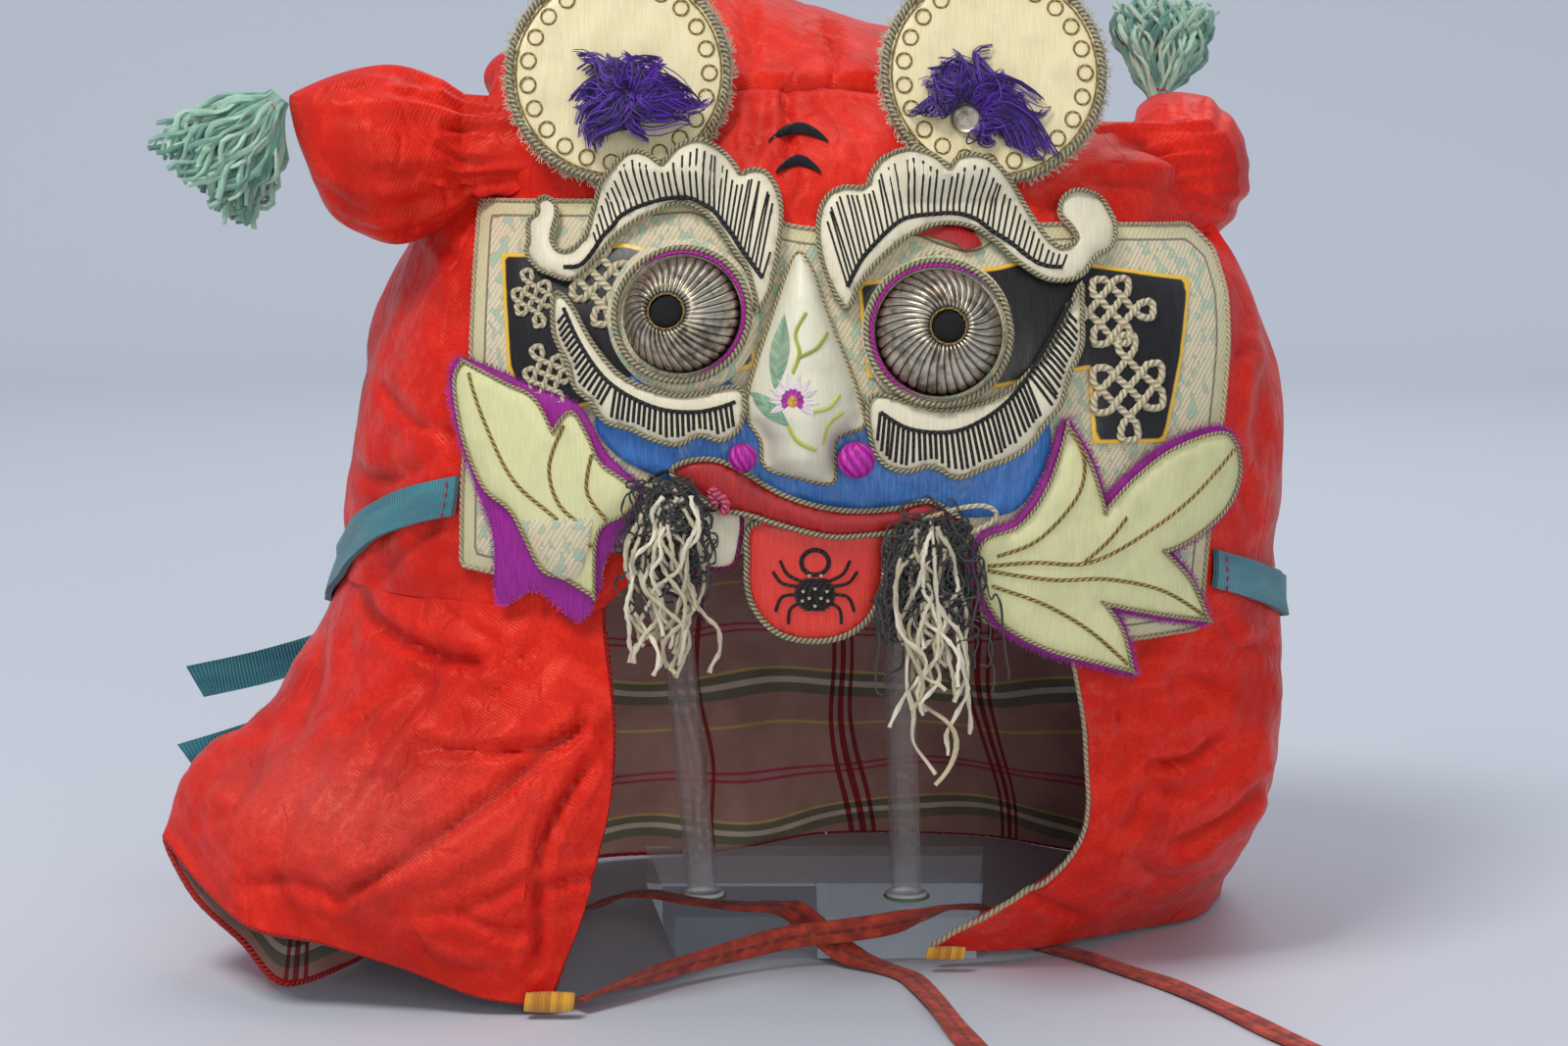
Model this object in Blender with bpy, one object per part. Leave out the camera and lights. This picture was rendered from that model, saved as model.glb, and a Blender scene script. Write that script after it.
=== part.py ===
"""A tiger hat of padded red silk, standing on a clear stand.

Sizes and places are in millimetres and are turned into metres when a mesh is made. +Z is up, the face
looks along -Y, and the origin is on the floor under the middle of the hat.
"""
import math

import bmesh
import bpy
import numpy as np
from mathutils import Vector
from mathutils.geometry import delaunay_2d_cdt

MM = 0.001
GAP = 0.3                      # clearance between pieces that touch

# Hood: level sections from the neck to the crown
# height, left, right, front, back, squareness
HOOD = (
    (60, -117, 112, -74, 76, 2.5),
    (92, -116, 112, -77, 80, 2.5),
    (110, -114, 112, -79, 83, 2.5),
    (133, -110, 112, -79, 86, 2.5),
    (152, -106, 107, -76, 87, 2.5),
    (168, -99, 98, -71, 84, 2.4),
    (180, -89, 86, -66, 79, 2.4),
    (190, -81, 75, -61, 73, 2.4),
    (203, -77, 61, -49, 62, 2.3),
    (213, -73, 44, -38, 48, 2.3),
    (222, -62, 12, -28, 32, 2.2),
    (229, -46, -12, -18, 16, 2.1),
    (233, -34, -22, -6, 4, 2.0),
)
NECK_Z = 92                    # seam between the hood and the cape
FACE_EDGE_Z = 106              # lower edge of the hood over the face opening
CROWN_Z = 234
HOOD_WALL = 4.5
CAPE_WALL = (3.2, 2.0)         # at the neck and at the hem
HOOD_LEVELS = (0, 0.15, 0.3, 0.44, 0.54, 0.62, 0.69, 0.78, 0.87, 0.95, 1)

# Cape: columns from the left front edge round the back to the right front edge
# turn at the neck, then points about 60 and 30 mm up, then the hem
CAPE = (
    (-19, -46, -77, 60, -51, -78, 31, -61, -78, 2.5),
    (-30, -66, -80, 60, -70, -85, 33, -77, -79, 5),
    (-42, -86, -76, 60, -92, -85, 36, -94, -78, 11.5),
    (-55, -104, -66, 60, -116, -76, 40, -112, -77, 17),
    (-68, -118, -50, 62, -134, -64, 45, -128, -75, 20),
    (-80, -126, -31, 64, -144, -50, 48, -141, -62, 26),
    (-90, -129, -14, 64, -147, -36, 48, -153, -46, 34),
    (-98, -129, 2, 62, -142, -24, 38, -146, -48, 20),
    (-106, -127, 14, 60, -134, -18, 30, -134, -53, 10),
    (-113, -123, 25, 58, -126, -4, 26, -124, -58, 1.4),
    (-121, -118, 36, 58, -118, 14, 28, -112, -40, 1),
    (-130, -112, 46, 58, -112, 32, 28, -105, -14, 1),
    (-140, -103, 57, 58, -103, 48, 28, -98, 16, 1),
    (-150, -88, 68, 58, -88, 64, 28, -83, 46, 1),
    (-162, -62, 80, 58, -61, 78, 28, -57, 68, 1),
    (-172, -30, 88, 58, -27, 84, 28, -25, 76, 1),
    (-180, 0, 91, 58, 0, 95, 28, 4, 97, 1),
    (-196, 40, 91, 60, 44, 95, 30, 46, 96, 1),
    (-208, 66, 84, 60, 68, 83, 30, 68, 81, 1),
    (-222, 89, 66, 60, 90, 63, 30, 90, 60, 1),
    (-238, 105, 42, 60, 106, 40, 30, 104, 38, 1),
    (-254, 112, 14, 60, 111, 14, 30, 101, 18, 1),
    (-268, 113, -12, 60, 110, -10, 30, 94, 3, 1),
    (-282, 109, -36, 60, 102, -31, 30, 80, -8, 1.5),
    (-300, 96, -47, 60, 86, -42, 30, 65, -23, 3),
    (-318, 78, -57, 60, 70, -50, 30, 48, -34, 3.2),
    (-335, 61, -63, 60, 59, -53, 30, 27, -41, 5),
)
CAPE_BACK_ROW = 16             # the column at the centre of the back
CAPE_LEVELS = (0, 0.16, 0.33, 0.5, 0.66, 0.83, 1)
FACE_TURNS = (18, 12, 6, 0, -6, -12)   # hood columns above the face opening

# Dents and swells of the hood: turn, height, spread in turn, spread in height, depth
SWELLS = (
    (-74, 210, 20, 7, 4.5),
    (-128, 150, 22, 26, 3.0),
    (-180, 165, 26, 22, 3.5),
    (-228, 148, 22, 26, 3.0),
    (-155, 118, 12, 14, -2.5),
    (-205, 120, 12, 14, -2.5),
    (-90, 97, 22, 7, -2.0),
    (-270, 97, 22, 7, -2.0),
    (-180, 97, 60, 6, -2.5),
)
# Folds of the cape: place along it in columns, share of the drop, spreads, depth
FOLDS = (
    (2.6, 0.62, 0.8, 0.30, 2.6),
    (4.4, 0.40, 0.7, 0.30, -2.0),
    (11.5, 0.60, 0.9, 0.40, 3.0),
    (13.8, 0.75, 0.8, 0.35, -3.0),
    (15.8, 0.65, 0.9, 0.35, 3.5),
    (17.6, 0.70, 0.7, 0.35, -2.5),
    (19.6, 0.60, 0.9, 0.35, 2.5),
    (22.2, 0.50, 0.8, 0.30, -2.4),
    (23.4, 0.55, 0.6, 0.22, 2.0),
)

# Outlines on the face: across and up, in millimetres, read as a smooth loop unless noted
PANEL = (
    (-77, 180.5), (-60, 181), (-40, 178), (-16, 170), (-5, 176), (4, 170), (30, 178), (57, 175.5),
    (85, 174.6), (91, 169), (93, 160), (92.5, 149), (90, 130), (87.5, 108), (86, 85), (69, 84), (49, 84),
    (36, 90), (34, 104), (-20, 106), (-47, 106), (-49, 97), (-66, 98.5), (-80, 100.5), (-79.5, 118),
    (-77.5, 146),
)
LEFT_PATCH = ((-70.5, 169), (-57, 169.5), (-43, 172), (-16, 166), (-14, 146), (-34, 142), (-52, 137),
              (-63.5, 133.5), (-68.5, 145))
RIGHT_PATCH = ((8, 164), (38.5, 167), (50, 169.5), (60, 167), (83, 163), (80, 146), (76, 128.5), (59.5, 129),
               (58.5, 145), (30, 140), (10, 144))
MUZZLE = ((-49, 133), (-43, 126), (-31.5, 121), (-21, 119), (-8, 117), (7, 114), (22, 114.5),
          (35, 113.5), (44, 116), (50, 128), (48, 136), (38, 136.5), (26, 134.5), (12, 137),
          (-4, 134), (-16, 137.5), (-29, 137), (-41, 136))
LEFT_BROW = (
    (-63, 181.5), (-62.5, 174.5), (-60.5, 168.5), (-56.5, 165), (-51, 165.5), (-46.5, 170),
    (-40, 178), (-31.5, 182), (-22, 178), (-15.4, 170.5), (-12.4, 164.8), (-10, 165), (-8.2, 171),
    (-8, 181), (-11, 185.5), (-16.5, 187.5), (-20, 191), (-26, 193), (-31.5, 191.2),
    (-36.5, 191), (-42, 189), (-46, 185.5), (-49, 182), (-53, 176.5), (-57, 175), (-58.5, 179),
    (-60, 183),
)
RIGHT_BROW = (
    (5, 164.5), (1.5, 168.5), (-0.5, 176), (1, 182), (5, 184.5), (10, 184.5), (14, 188.5), (20, 191),
    (25.5, 189.5), (31, 189.5), (37, 187.5), (42, 183), (46.5, 177.5), (51, 173), (54.5, 173.5),
    (53, 179.5), (56, 184), (61, 185), (65.5, 180), (65.5, 173.5), (61.5, 168), (55.5, 165.5),
    (47.5, 167), (39, 173), (27, 178.5), (15, 175), (9, 168.5),
)
LEFT_LID = (
    (-57, 160), (-53.5, 158), (-48.5, 150), (-41.5, 143), (-30, 139.8), (-17.5, 141.5), (-17, 134),
    (-21, 130.5), (-26, 131.5), (-30.5, 129.5), (-36, 130.5), (-40.5, 132.5), (-46, 134),
    (-49, 138), (-52.5, 141), (-54, 146), (-57, 152),
)
RIGHT_LID = (
    (56, 162), (53, 156.5), (46.5, 146.5), (38, 139.5), (26, 136.8), (11.5, 140), (10.8, 131),
    (13.5, 125.8), (18.5, 124), (24, 125), (29.5, 122.6), (36, 125), (40.5, 126.5), (45, 129.5),
    (48, 133.5), (51.5, 137.5), (53, 143), (56, 149.5), (56, 156),
)
NOSE = ((-5.3, 169.5), (-9.2, 160), (-15, 143), (-15.8, 135.5), (-13, 130.5), (-12, 125), (-4.5, 122.5),
        (2.6, 121.4), (3.2, 125.5), (3.6, 131), (9.2, 133.5), (8.8, 138), (6.5, 145), (1.5, 157), (-2, 166.5))
UPPER_LIP = (
    (-32, 124), (-26.5, 126.5), (-19.5, 125.5), (-8, 119), (4, 115.8), (15.5, 116), (24, 117.5),
    (32.5, 111), (26, 108.5), (21, 111.5), (12, 110.5), (2.5, 110), (-7, 112), (-15, 114.5),
    (-22, 116), (-28, 119.5),
)
TEETH = ((-17.6, 115), (-18, 106), (-20.5, 102.5), (-29.5, 103), (-40, 106.5), (-48, 108),
         (-47.5, 111), (-34, 113), (-25, 115))
TONGUE = ((-14.5, 112.5), (-16, 104.5), (-15.5, 96), (-11.5, 89.5), (-5.5, 86.5), (3, 86.5),
          (9.5, 90), (13.2, 96.5), (14, 104.5), (13.5, 111.5), (-0.5, 113))
RIGHT_LEAF = (
    (53, 133), (58, 125), (61.5, 114.5), (68, 121.5), (77, 127.5), (88.5, 129.5), (92, 121.5),
    (89, 113), (81.5, 107), (75, 104.5), (81, 97.5), (85.5, 87.5), (73, 90.5), (62, 93.5),
    (66, 87), (68.5, 77.5), (59.5, 80.5), (49, 84), (39, 90.5), (34.5, 100.5), (35, 108.5),
    (43, 112), (49, 120.5),
)
LEFT_LEAF = (
    (-77, 145.5), (-68, 141.5), (-61.5, 138.5), (-57.5, 131.5), (-53.5, 136), (-50, 131),
    (-47, 125), (-39.5, 119.5), (-42, 114.5), (-48, 110), (-49, 96), (-55.5, 100),
    (-60.5, 102), (-66.5, 113.5), (-72.5, 118.5), (-77, 129), (-79, 141),
)
LEFT_BACKING = (
    (-79.5, 146), (-70, 144), (-60, 140), (-52, 137), (-46, 127), (-38, 119), (-41, 112),
    (-47, 104), (-48.5, 97), (-53, 90), (-62, 96.5), (-70.5, 93), (-71.5, 108), (-75, 118),
    (-78.5, 128), (-81, 138),
)
BACKING_RIM = 1.4              # how far the right leaf's backing stands out beyond it

# Layers of the face: heights above the hood, under and over
LAYER_PANEL = (0.6, 1.3)
LAYER_PATCH = (1.7, 2.3)
LAYER_PAD = (2.8, 4.4)
LAYER_MUZZLE = (1.7, 3.2)
LAYER_BROW = (2.8, 4.2)
LAYER_LID = (3.7, 5.2)
LAYER_LIP = (3.7, 5.4)
LAYER_TEETH = (1.6, 2.4)
LAYER_TONGUE = (1.8, 3.3)
LAYER_BACKING = (2.8, 3.4)
LAYER_LEAF = (3.8, 5.0)
LAYER_NOSE = (3.6, 4.2)
LAYER_EAR_BACKING = (0.4, 1.2)
LAYER_EAR = (1.9, 3.8)
NOSE_RISE = 9
BROW_LIFT = 4.4                # how far a brow rises to pass over the foot of an ear
BROW_OVER = (24, 4, 180, 5)    # reach across, its fade, height where the rise starts, its fade
SAG = 0.12                     # how far a flat piece may leave the hood's curve
SHOULDER_Z = 148               # above this the hood turns over faster

# side, eye across, eye up, dome radius, pupil across, pupil up
EYES = (("left", -30, 158.2, 13.4, -2.4, -1.0), ("right", 25.4, 154.6, 14.0, 1.2, 0.4))
EYE_PAD_R = 16.4
EYE_RISE = 7.5
EYE_FLUTES = 28
EYE_HOLE_R = 3.9
NOSTRILS = (("left", -16.6, 127.2, 3.1), ("right", 7.6, 126.8, 4.0))

# side, ear centre across and up, depth of its foot; button across, up
EARS = (("left", -45, 210, -57.5, -43, 199.5), ("right", 39, 210, -57, 32.5, 199.5))
EAR_R = 24.5
EAR_FOOT_Z = 187
EAR_LEAN = math.tan(math.radians(20))

STRIPES = ((-4.8, 197.5, 6.6, 3.0), (-4.8, 190.5, 5.0, 2.6))   # middle across, up, half width, rise
STRIPE_W = 2.4

# Knobs: place along the pad, centre height, half height, centre depth, half depth
LEFT_KNOB = (
    (-81, 192, 10.5, -35, 9.5), (-87, 191.5, 17, -36, 14), (-96, 191.2, 20, -37, 17),
    (-104, 192, 19, -38, 16.5), (-112, 194, 15, -39, 13), (-118, 199.5, 7, -40, 6),
    (-120.5, 203.5, 1.5, -40, 1.5),
)
LEFT_KNOB_ROOT = (-34, 193, 9)         # depth, height and radius where it leaves the hood
# Right knob: depth along the pad, across, half width, centre height, half height
RIGHT_KNOB = (
    (-18, 88, 8.5, 185.5, 10.5), (-9, 88.5, 13, 186.5, 15), (4, 88.5, 15, 187, 17.5),
    (16, 88.5, 14, 188.5, 16.5), (26, 87.5, 10.5, 193, 12), (33, 86, 4.5, 199.5, 5),
    (35, 85.5, 1.2, 201.5, 1.2),
)
RIGHT_KNOB_ROOT = (-28, 185, 8)
KNOB_AROUND = 16
KNOB_OFF = 0.8                 # gap between a knob and the hood

# Tassels: root, direction, length, end radius, flatness, locks, colour name
TASSELS = (
    ("left_knob_tassel", (-122.9, -40, 204.6), (-0.68, -0.05, -0.73), 29, 16, 0.8, 7, "mint_yarn"),
    ("right_knob_tassel", (85.6, 36.2, 202.5), (0.1, 0.35, 0.93), 26, 13, 0.8, 6, "mint_yarn"),
    ("left_whisker_tassel", (-27.5, -85.5, 122), (-0.12, -0.1, -1), 33, 13.5, 0.42, 7, "black_yarn"),
    ("right_whisker_tassel", (22, -85.6, 114), (0.04, -0.1, -1), 37, 12.5, 0.45, 6, "black_yarn"),
)
# Ear tassels: turn of each lock from across to up in degrees, and its reach from the button
LEFT_LOCKS = ((8, 17), (32, 13), (62, 15), (92, 14), (122, 16), (150, 19), (178, 15), (206, 14),
              (234, 12), (262, 5.5), (292, 4.5), (334, 12))
RIGHT_LOCKS = ((-12, 21), (10, 24), (32, 22), (54, 20), (78, 19), (102, 18), (126, 17), (150, 16),
               (175, 8))
LAYER_LOCKS = (4.3, 5.6)
LOCKS_RISE = 2.6
BUTTON_CLEAR = 3.5
BUTTON_H = 2.6                 # height of an ear's button
LEFT_SPRAY_UP = 3.5            # the left spray sits this far above its button's middle

# Neck ribbon on the hood's outside: turn and height of its middle
RIBBON = (
    (-41, 116), (-49, 113), (-60, 107), (-74, 96), (-88, 87), (-104, 82), (-122, 80), (-142, 79), (-165, 78),
    (-190, 78), (-215, 78), (-235, 79), (-255, 81), (-272, 84), (-288, 89), (-300, 94), (-311, 98.5),
)
RIBBON_W = 9
RIBBON_T = 0.9
RIBBON_OFF = 1.5               # height of the ribbon above the cloth it lies on
KNOT_TURN = -138
# Ribbon ends: name, then points from the knot to the tip
RIBBON_ENDS = (
    ("ribbon_end_upper", ((-99, 67.3, 82.4), (-112, 70.5, 81.5), (-124, 72.5, 78.5), (-140, 71.5, 71),
                          (-154, 66, 61), (-166, 61, 52))),
    ("ribbon_end_lower", ((-97.6, 68.6, 75), (-110, 73.5, 69.5), (-123, 76, 60.5), (-137, 75, 49),
                          (-152, 70, 38), (-168, 64, 30))),
)

# Ties: across, depth, height, roll of the strip in degrees (0 lies flat, 90 stands on its edge)
TIE_W = 6.4
TIE_T = 1.2
LEFT_TIE = (
    (-55, -75.5, 2.8, 10), (-45, -67, 4.2, 40), (-31, -54, 5.2, 62), (-18, -45, 6.4, 70),
    (-6, -40, 8, 76), (8, -38.8, 9.4, 78), (19, -37, 10.8, 66), (28, -33.5, 12.4, 34),
    (32, -31, 12.6, 18), (37, -27.6, 12, 4), (42, -24.5, 10.6, 0), (47, -22, 6.2, 0), (52, -21.5, 2.2, 0),
    (58, -25.5, 1, 0), (64, -32, 1, 0), (72, -43, 1, 0), (82, -57, 1, 0), (92, -76, 1, 0),
    (101, -96, 1, 0), (112, -116, 1, 0), (121, -128, 1, 0),
)
RIGHT_TIE = (
    (-92, 15, 6.5, 20), (-84, 17, 3, 8), (-74, 16, 1.2, 0), (-64, 11, 1.2, 0), (-56, 4, 3.6, 0),
    (-49, -4, 8.4, 0), (-41, -13, 11.5, 0), (-30, -20.5, 11.5, 0), (-18, -25, 11.5, 0),
    (-11, -27, 11.9, -8), (-6, -30.6, 12, -30), (-1, -34, 9, -52), (4, -36.2, 5, -48),
    (9.5, -38.6, 2.4, -24), (16, -42.5, 1, 0), (21, -49, 1, 0), (24, -60, 1.2, 0), (27, -76, 1.8, 14), (31, -96, 1.2, 0), (35, -114, 1, 0),
    (38, -128, 1, 0),
)
TACKS = (("left_tie_tack", (-60.5, -80.6, 4.0), (5.5, 1.6, 2.6)),
         ("right_tie_tack", (30, -43.6, 5), (4.4, 1.1, 1.8)))

# Stand: slab corners at the front and the back, rods and top plate
SLAB_FRONT = (-34, 38, -30)
SLAB_BACK = (-44, 44, 42)
SLAB_H = 10
ROD_R = 3.8
# foot across, top across
RODS = (("left", -27.7, -45.5), ("right", 22, 15.5))
ROD_Y = -11
PLATE_Z = (204, 208)
PLATE = (-58, 24, -24, 6)      # left, right, front, back of the plate under the crown

COLOURS = {
    # base colour, roughness, metallic
    "red_silk": ((0.70, 0.06, 0.035), 0.45, 0.0),
    "red_satin": ((0.62, 0.03, 0.02), 0.4, 0.0),
    "brocade": ((0.55, 0.56, 0.40), 0.6, 0.0),
    "black_satin": ((0.012, 0.011, 0.012), 0.4, 0.0),
    "cream_silk": ((0.78, 0.71, 0.50), 0.5, 0.0),
    "blue_satin": ((0.045, 0.16, 0.42), 0.4, 0.0),
    "leaf_satin": ((0.63, 0.66, 0.35), 0.5, 0.0),
    "magenta_silk": ((0.40, 0.02, 0.33), 0.5, 0.0),
    "purple_floss": ((0.09, 0.01, 0.30), 0.5, 0.0),
    "mint_yarn": ((0.32, 0.52, 0.40), 0.8, 0.0),
    "black_yarn": ((0.03, 0.03, 0.03), 0.8, 0.0),
    "teal_ribbon": ((0.02, 0.15, 0.19), 0.6, 0.0),
    "tie_cloth": ((0.55, 0.09, 0.04), 0.8, 0.0),
    "yellow_thread": ((0.75, 0.38, 0.03), 0.7, 0.0),
    "silver": ((0.30, 0.28, 0.25), 0.35, 1.0),
    "fur": ((0.75, 0.72, 0.55), 0.9, 0.0),
    "clear_acrylic": ((0.90, 0.93, 0.92), 0.05, 0.0),
}


def spline(rows, at, closed=False):
    """Points on a smooth curve through rows, at places counted in rows."""
    rows = np.asarray(rows, float)
    at = np.atleast_1d(np.asarray(at, float))
    count = len(rows)
    if closed:
        first = np.floor(at).astype(int)
        pick = [rows[(first + k) % count] for k in (-1, 0, 1, 2)]
    else:
        first = np.clip(np.floor(at).astype(int), 0, count - 2)
        pick = [rows[np.clip(first + k, 0, count - 1)] for k in (-1, 0, 1, 2)]
    a, b, c, d = pick
    f = (at - first)[:, None]
    return 0.5 * (2 * b + (c - a) * f + (2 * a - 5 * b + 4 * c - d) * f**2 + (3 * b - a - 3 * c + d) * f**3)


HOOD_FINE = spline(HOOD, np.linspace(0, len(HOOD) - 1, 241))


def section(z):
    """Middle across, half width, middle depth, half depth and squareness of the hood at a height."""
    left, right, front, back, power = (np.interp(z, HOOD_FINE[:, 0], HOOD_FINE[:, k]) for k in range(1, 6))
    return (left + right) / 2, (right - left) / 2, (front + back) / 2, (back - front) / 2, power


def swell(turn, z):
    """Outward swell of the hood at a turn in degrees and a height."""
    total = np.zeros(np.broadcast(turn, z).shape)
    for at, height, spread, tall, depth in SWELLS:
        away = (turn - at + 180) % 360 - 180
        total = total + depth * np.exp(-((away / spread) ** 2) - ((z - height) / tall) ** 2)
    return total


def hood_skin(turn, z):
    """The hood's outer skin; turn is 0 at the front and falls through -90 on the left."""
    turn, z = np.broadcast_arrays(np.asarray(turn, float), np.asarray(z, float))
    mid_x, half_x, mid_y, half_y, power = section(z)
    grow = swell(turn, z)
    sin, cos = np.sin(np.radians(turn)), np.cos(np.radians(turn))
    x = mid_x + (half_x + grow) * np.sign(sin) * np.abs(sin) ** (2 / power)
    y = mid_y - (half_y + grow) * np.sign(cos) * np.abs(cos) ** (2 / power)
    return np.stack([x, y, z], -1)


def face_depth(x, z):
    """Depth of the hood's plain front at a place across and up."""
    mid_x, half_x, mid_y, half_y, power = section(z)
    inside = np.clip(1 - np.abs((x - mid_x) / half_x) ** power, 1e-6, None)
    return mid_y - half_y * inside ** (1 / power)


def face_point(x, z, height):
    """A point that stands a height above the hood's front."""
    step = 0.5
    x, z, height = np.broadcast_arrays(np.asarray(x, float), np.asarray(z, float), height)
    y = face_depth(x, z)
    along_x = (face_depth(x + step, z) - face_depth(x - step, z)) / (2 * step)
    along_z = (face_depth(x, z + step) - face_depth(x, z - step)) / (2 * step)
    normal = np.stack([along_x, -np.ones_like(y), along_z], -1)
    normal /= np.linalg.norm(normal, axis=-1, keepdims=True)
    return np.stack([x, y, z], -1) + normal * height[..., None]


def cape_skin(place, drop):
    """The cape's outer skin; place counts its columns and drop runs from 0 at the neck to 1 at the hem."""
    place, drop = np.broadcast_arrays(np.asarray(place, float), np.asarray(drop, float))
    row = spline(CAPE, place.ravel())
    turn = row[:, 0]
    knots = [hood_skin(turn, NECK_Z + 24.0), hood_skin(turn, float(NECK_Z))]
    knots += [row[:, 1 + 3 * k:4 + 3 * k] for k in range(3)]
    knots.append(2 * knots[-1] - knots[-2])
    at = drop.ravel() * 3
    first = np.clip(np.floor(at).astype(int), 0, 2)
    stack = np.stack(knots)
    each = np.arange(len(at))
    a, b, c, d = (stack[first + k, each] for k in range(4))
    f = (at - first)[:, None]
    points = 0.5 * (2 * b + (c - a) * f + (2 * a - 5 * b + 4 * c - d) * f**2 + (3 * b - a - 3 * c + d) * f**3)
    return points.reshape(*place.shape, 3)


def grid_normals(points):
    """Unit normals of a grid of points whose rows rise and whose columns turn left round the back."""
    along = np.gradient(points, axis=1)
    up = np.gradient(points, axis=0)
    normal = np.cross(up, along)
    return normal / np.maximum(np.linalg.norm(normal, axis=-1, keepdims=True), 1e-9)


def fold(place, drop):
    """Depth of the cape's folds."""
    total = np.zeros(np.broadcast(place, drop).shape)
    for at, share, wide, tall, depth in FOLDS:
        total = total + depth * np.exp(-(((place - at) / wide) ** 2) - ((drop - share) / tall) ** 2)
    return total


def finish(name):
    """The material of one colour name, made once."""
    if name in bpy.data.materials:
        return bpy.data.materials[name]
    colour, roughness, metallic = COLOURS[name]
    made = bpy.data.materials.new(name)
    made.use_nodes = True
    shader = made.node_tree.nodes["Principled BSDF"]
    shader.inputs["Base Color"].default_value = (*colour, 1)
    shader.inputs["Roughness"].default_value = roughness
    shader.inputs["Metallic"].default_value = metallic
    if name == "clear_acrylic":
        shader.inputs["Transmission Weight"].default_value = 1
    return made


def solid(name, points, faces, colour):
    """One closed object from points in millimetres, with its faces turned outwards."""
    mesh = bpy.data.meshes.new(name)
    mesh.from_pydata([tuple(p) for p in np.asarray(points, float) * MM], [], [list(f) for f in faces])
    shape = bmesh.new()
    shape.from_mesh(mesh)
    bmesh.ops.remove_doubles(shape, verts=shape.verts, dist=2e-6)
    bmesh.ops.recalc_face_normals(shape, faces=shape.faces)
    shape.to_mesh(mesh)
    shape.free()
    mesh.materials.append(finish(colour))
    mesh.shade_smooth()
    mesh.set_sharp_from_angle(angle=math.radians(40))
    made = bpy.data.objects.new(name, mesh)
    bpy.context.collection.objects.link(made)
    return made


def quads(index, turned=False):
    """The four-sided faces of a grid of point numbers."""
    a, b, c, d = index[:-1, :-1], index[:-1, 1:], index[1:, 1:], index[1:, :-1]
    order = (a, d, c, b) if turned else (a, b, c, d)
    return np.stack([k.ravel() for k in order], 1).tolist()


def wall(name, outer, inner, colour, pole=False):
    """A closed wall between two grids of points; with a pole the last row is a single place."""
    rows, cols = outer.shape[:2]
    out = np.arange(rows * cols).reshape(rows, cols)
    inn = out + rows * cols
    faces = quads(out) + quads(inn, turned=True)
    edges = [(out[0], inn[0]), (inn[:, 0], out[:, 0]), (out[:, -1], inn[:, -1])]
    if not pole:
        edges.append((inn[-1], out[-1]))
    for one, two in edges:
        faces += np.stack([one[1:], one[:-1], two[:-1], two[1:]], 1).tolist()
    points = np.concatenate([outer.reshape(-1, 3), inner.reshape(-1, 3)])
    faces = [f for f in (drop_repeats(points, f) for f in faces) if len(f) > 2]
    return solid(name, points, faces, colour)


def drop_repeats(points, face):
    """A face without corners that share a place with the corner before."""
    kept = []
    for corner in face:
        if not any(np.abs(points[corner] - points[k]).max() < 1e-4 for k in kept):
            kept.append(corner)
    return kept


def tube(name, rings, colour):
    """A closed body through rings of points, capped at both ends with a fan."""
    rings = np.asarray(rings, float)
    count, around = rings.shape[:2]
    index = np.arange(count * around).reshape(count, around)
    wrapped = np.concatenate([index, index[:, :1]], axis=1)
    points = np.concatenate([rings.reshape(-1, 3), rings[0].mean(0)[None], rings[-1].mean(0)[None]])
    faces = quads(wrapped)
    first, last = len(points) - 2, len(points) - 1
    for k in range(around):
        nxt = (k + 1) % around
        faces.append([index[0, nxt], index[0, k], first])
        faces.append([index[-1, k], index[-1, nxt], last])
    return solid(name, points, faces, colour)


def loop(outline, spans=3, closed=True):
    """A smooth loop through an outline's points."""
    at = np.arange(len(outline) * spans) / spans
    return spline(outline, at, closed=closed)


def grown(points, by):
    """A closed outline moved outwards; it runs clockwise or anticlockwise."""
    ahead = np.roll(points, -1, 0) - np.roll(points, 1, 0)
    normal = np.stack([ahead[:, 1], -ahead[:, 0]], 1)
    normal /= np.maximum(np.linalg.norm(normal, axis=1, keepdims=True), 1e-9)
    nxt = np.roll(points, -1, 0)
    area = (points[:, 0] * nxt[:, 1] - nxt[:, 0] * points[:, 1]).sum()
    return points + normal * (by if area > 0 else -by)


def fitted(outline, place):
    """An outline with points added where a straight edge would leave the surface."""
    points = [np.asarray(p, float) for p in outline]
    for _ in range(3):
        closer = []
        for one, two in zip(points, points[1:] + points[:1]):
            middle = (one + two) / 2
            ends = [place(*p, 0.0) for p in (one, two)]
            closer.append(one)
            if np.linalg.norm((ends[0] + ends[1]) / 2 - place(*middle, 0.0)) > SAG:
                closer.append(middle)
        points = closer
    return np.array(points)


def filled(outline, spacing):
    """Points and triangles of a flat outline; inner points lie closer together where the hood turns."""
    low, high = outline.min(0), outline.max(0)
    inner = []
    rows = np.arange(low[1] + spacing / 2, min(high[1], SHOULDER_Z), spacing)
    rows = np.append(rows, np.arange(max(low[1] + spacing / 2, SHOULDER_Z), high[1], spacing * 0.6))
    for row, z in enumerate(rows):
        middle, half = section(z)[:2]
        shares = np.sin(np.radians(np.arange(-90 + 3.5 * (row % 2), 91, 7)))
        for x in middle + half * np.sign(shares) * np.abs(shares) ** 0.8:
            if within(outline, x, z, 2) and (not inner or np.hypot(inner[-1][0] - x, inner[-1][1] - z) > 6):
                inner.append((x, z))
    every = [Vector(p) for p in outline] + [Vector(p) for p in inner]
    count = len(outline)
    edges = [(k, (k + 1) % count) for k in range(count)]
    flat, _, faces, *_ = delaunay_2d_cdt(every, edges, [list(range(count))], 1, 1e-4)
    return np.array([tuple(p) for p in flat]), [list(f) for f in faces]


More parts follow.
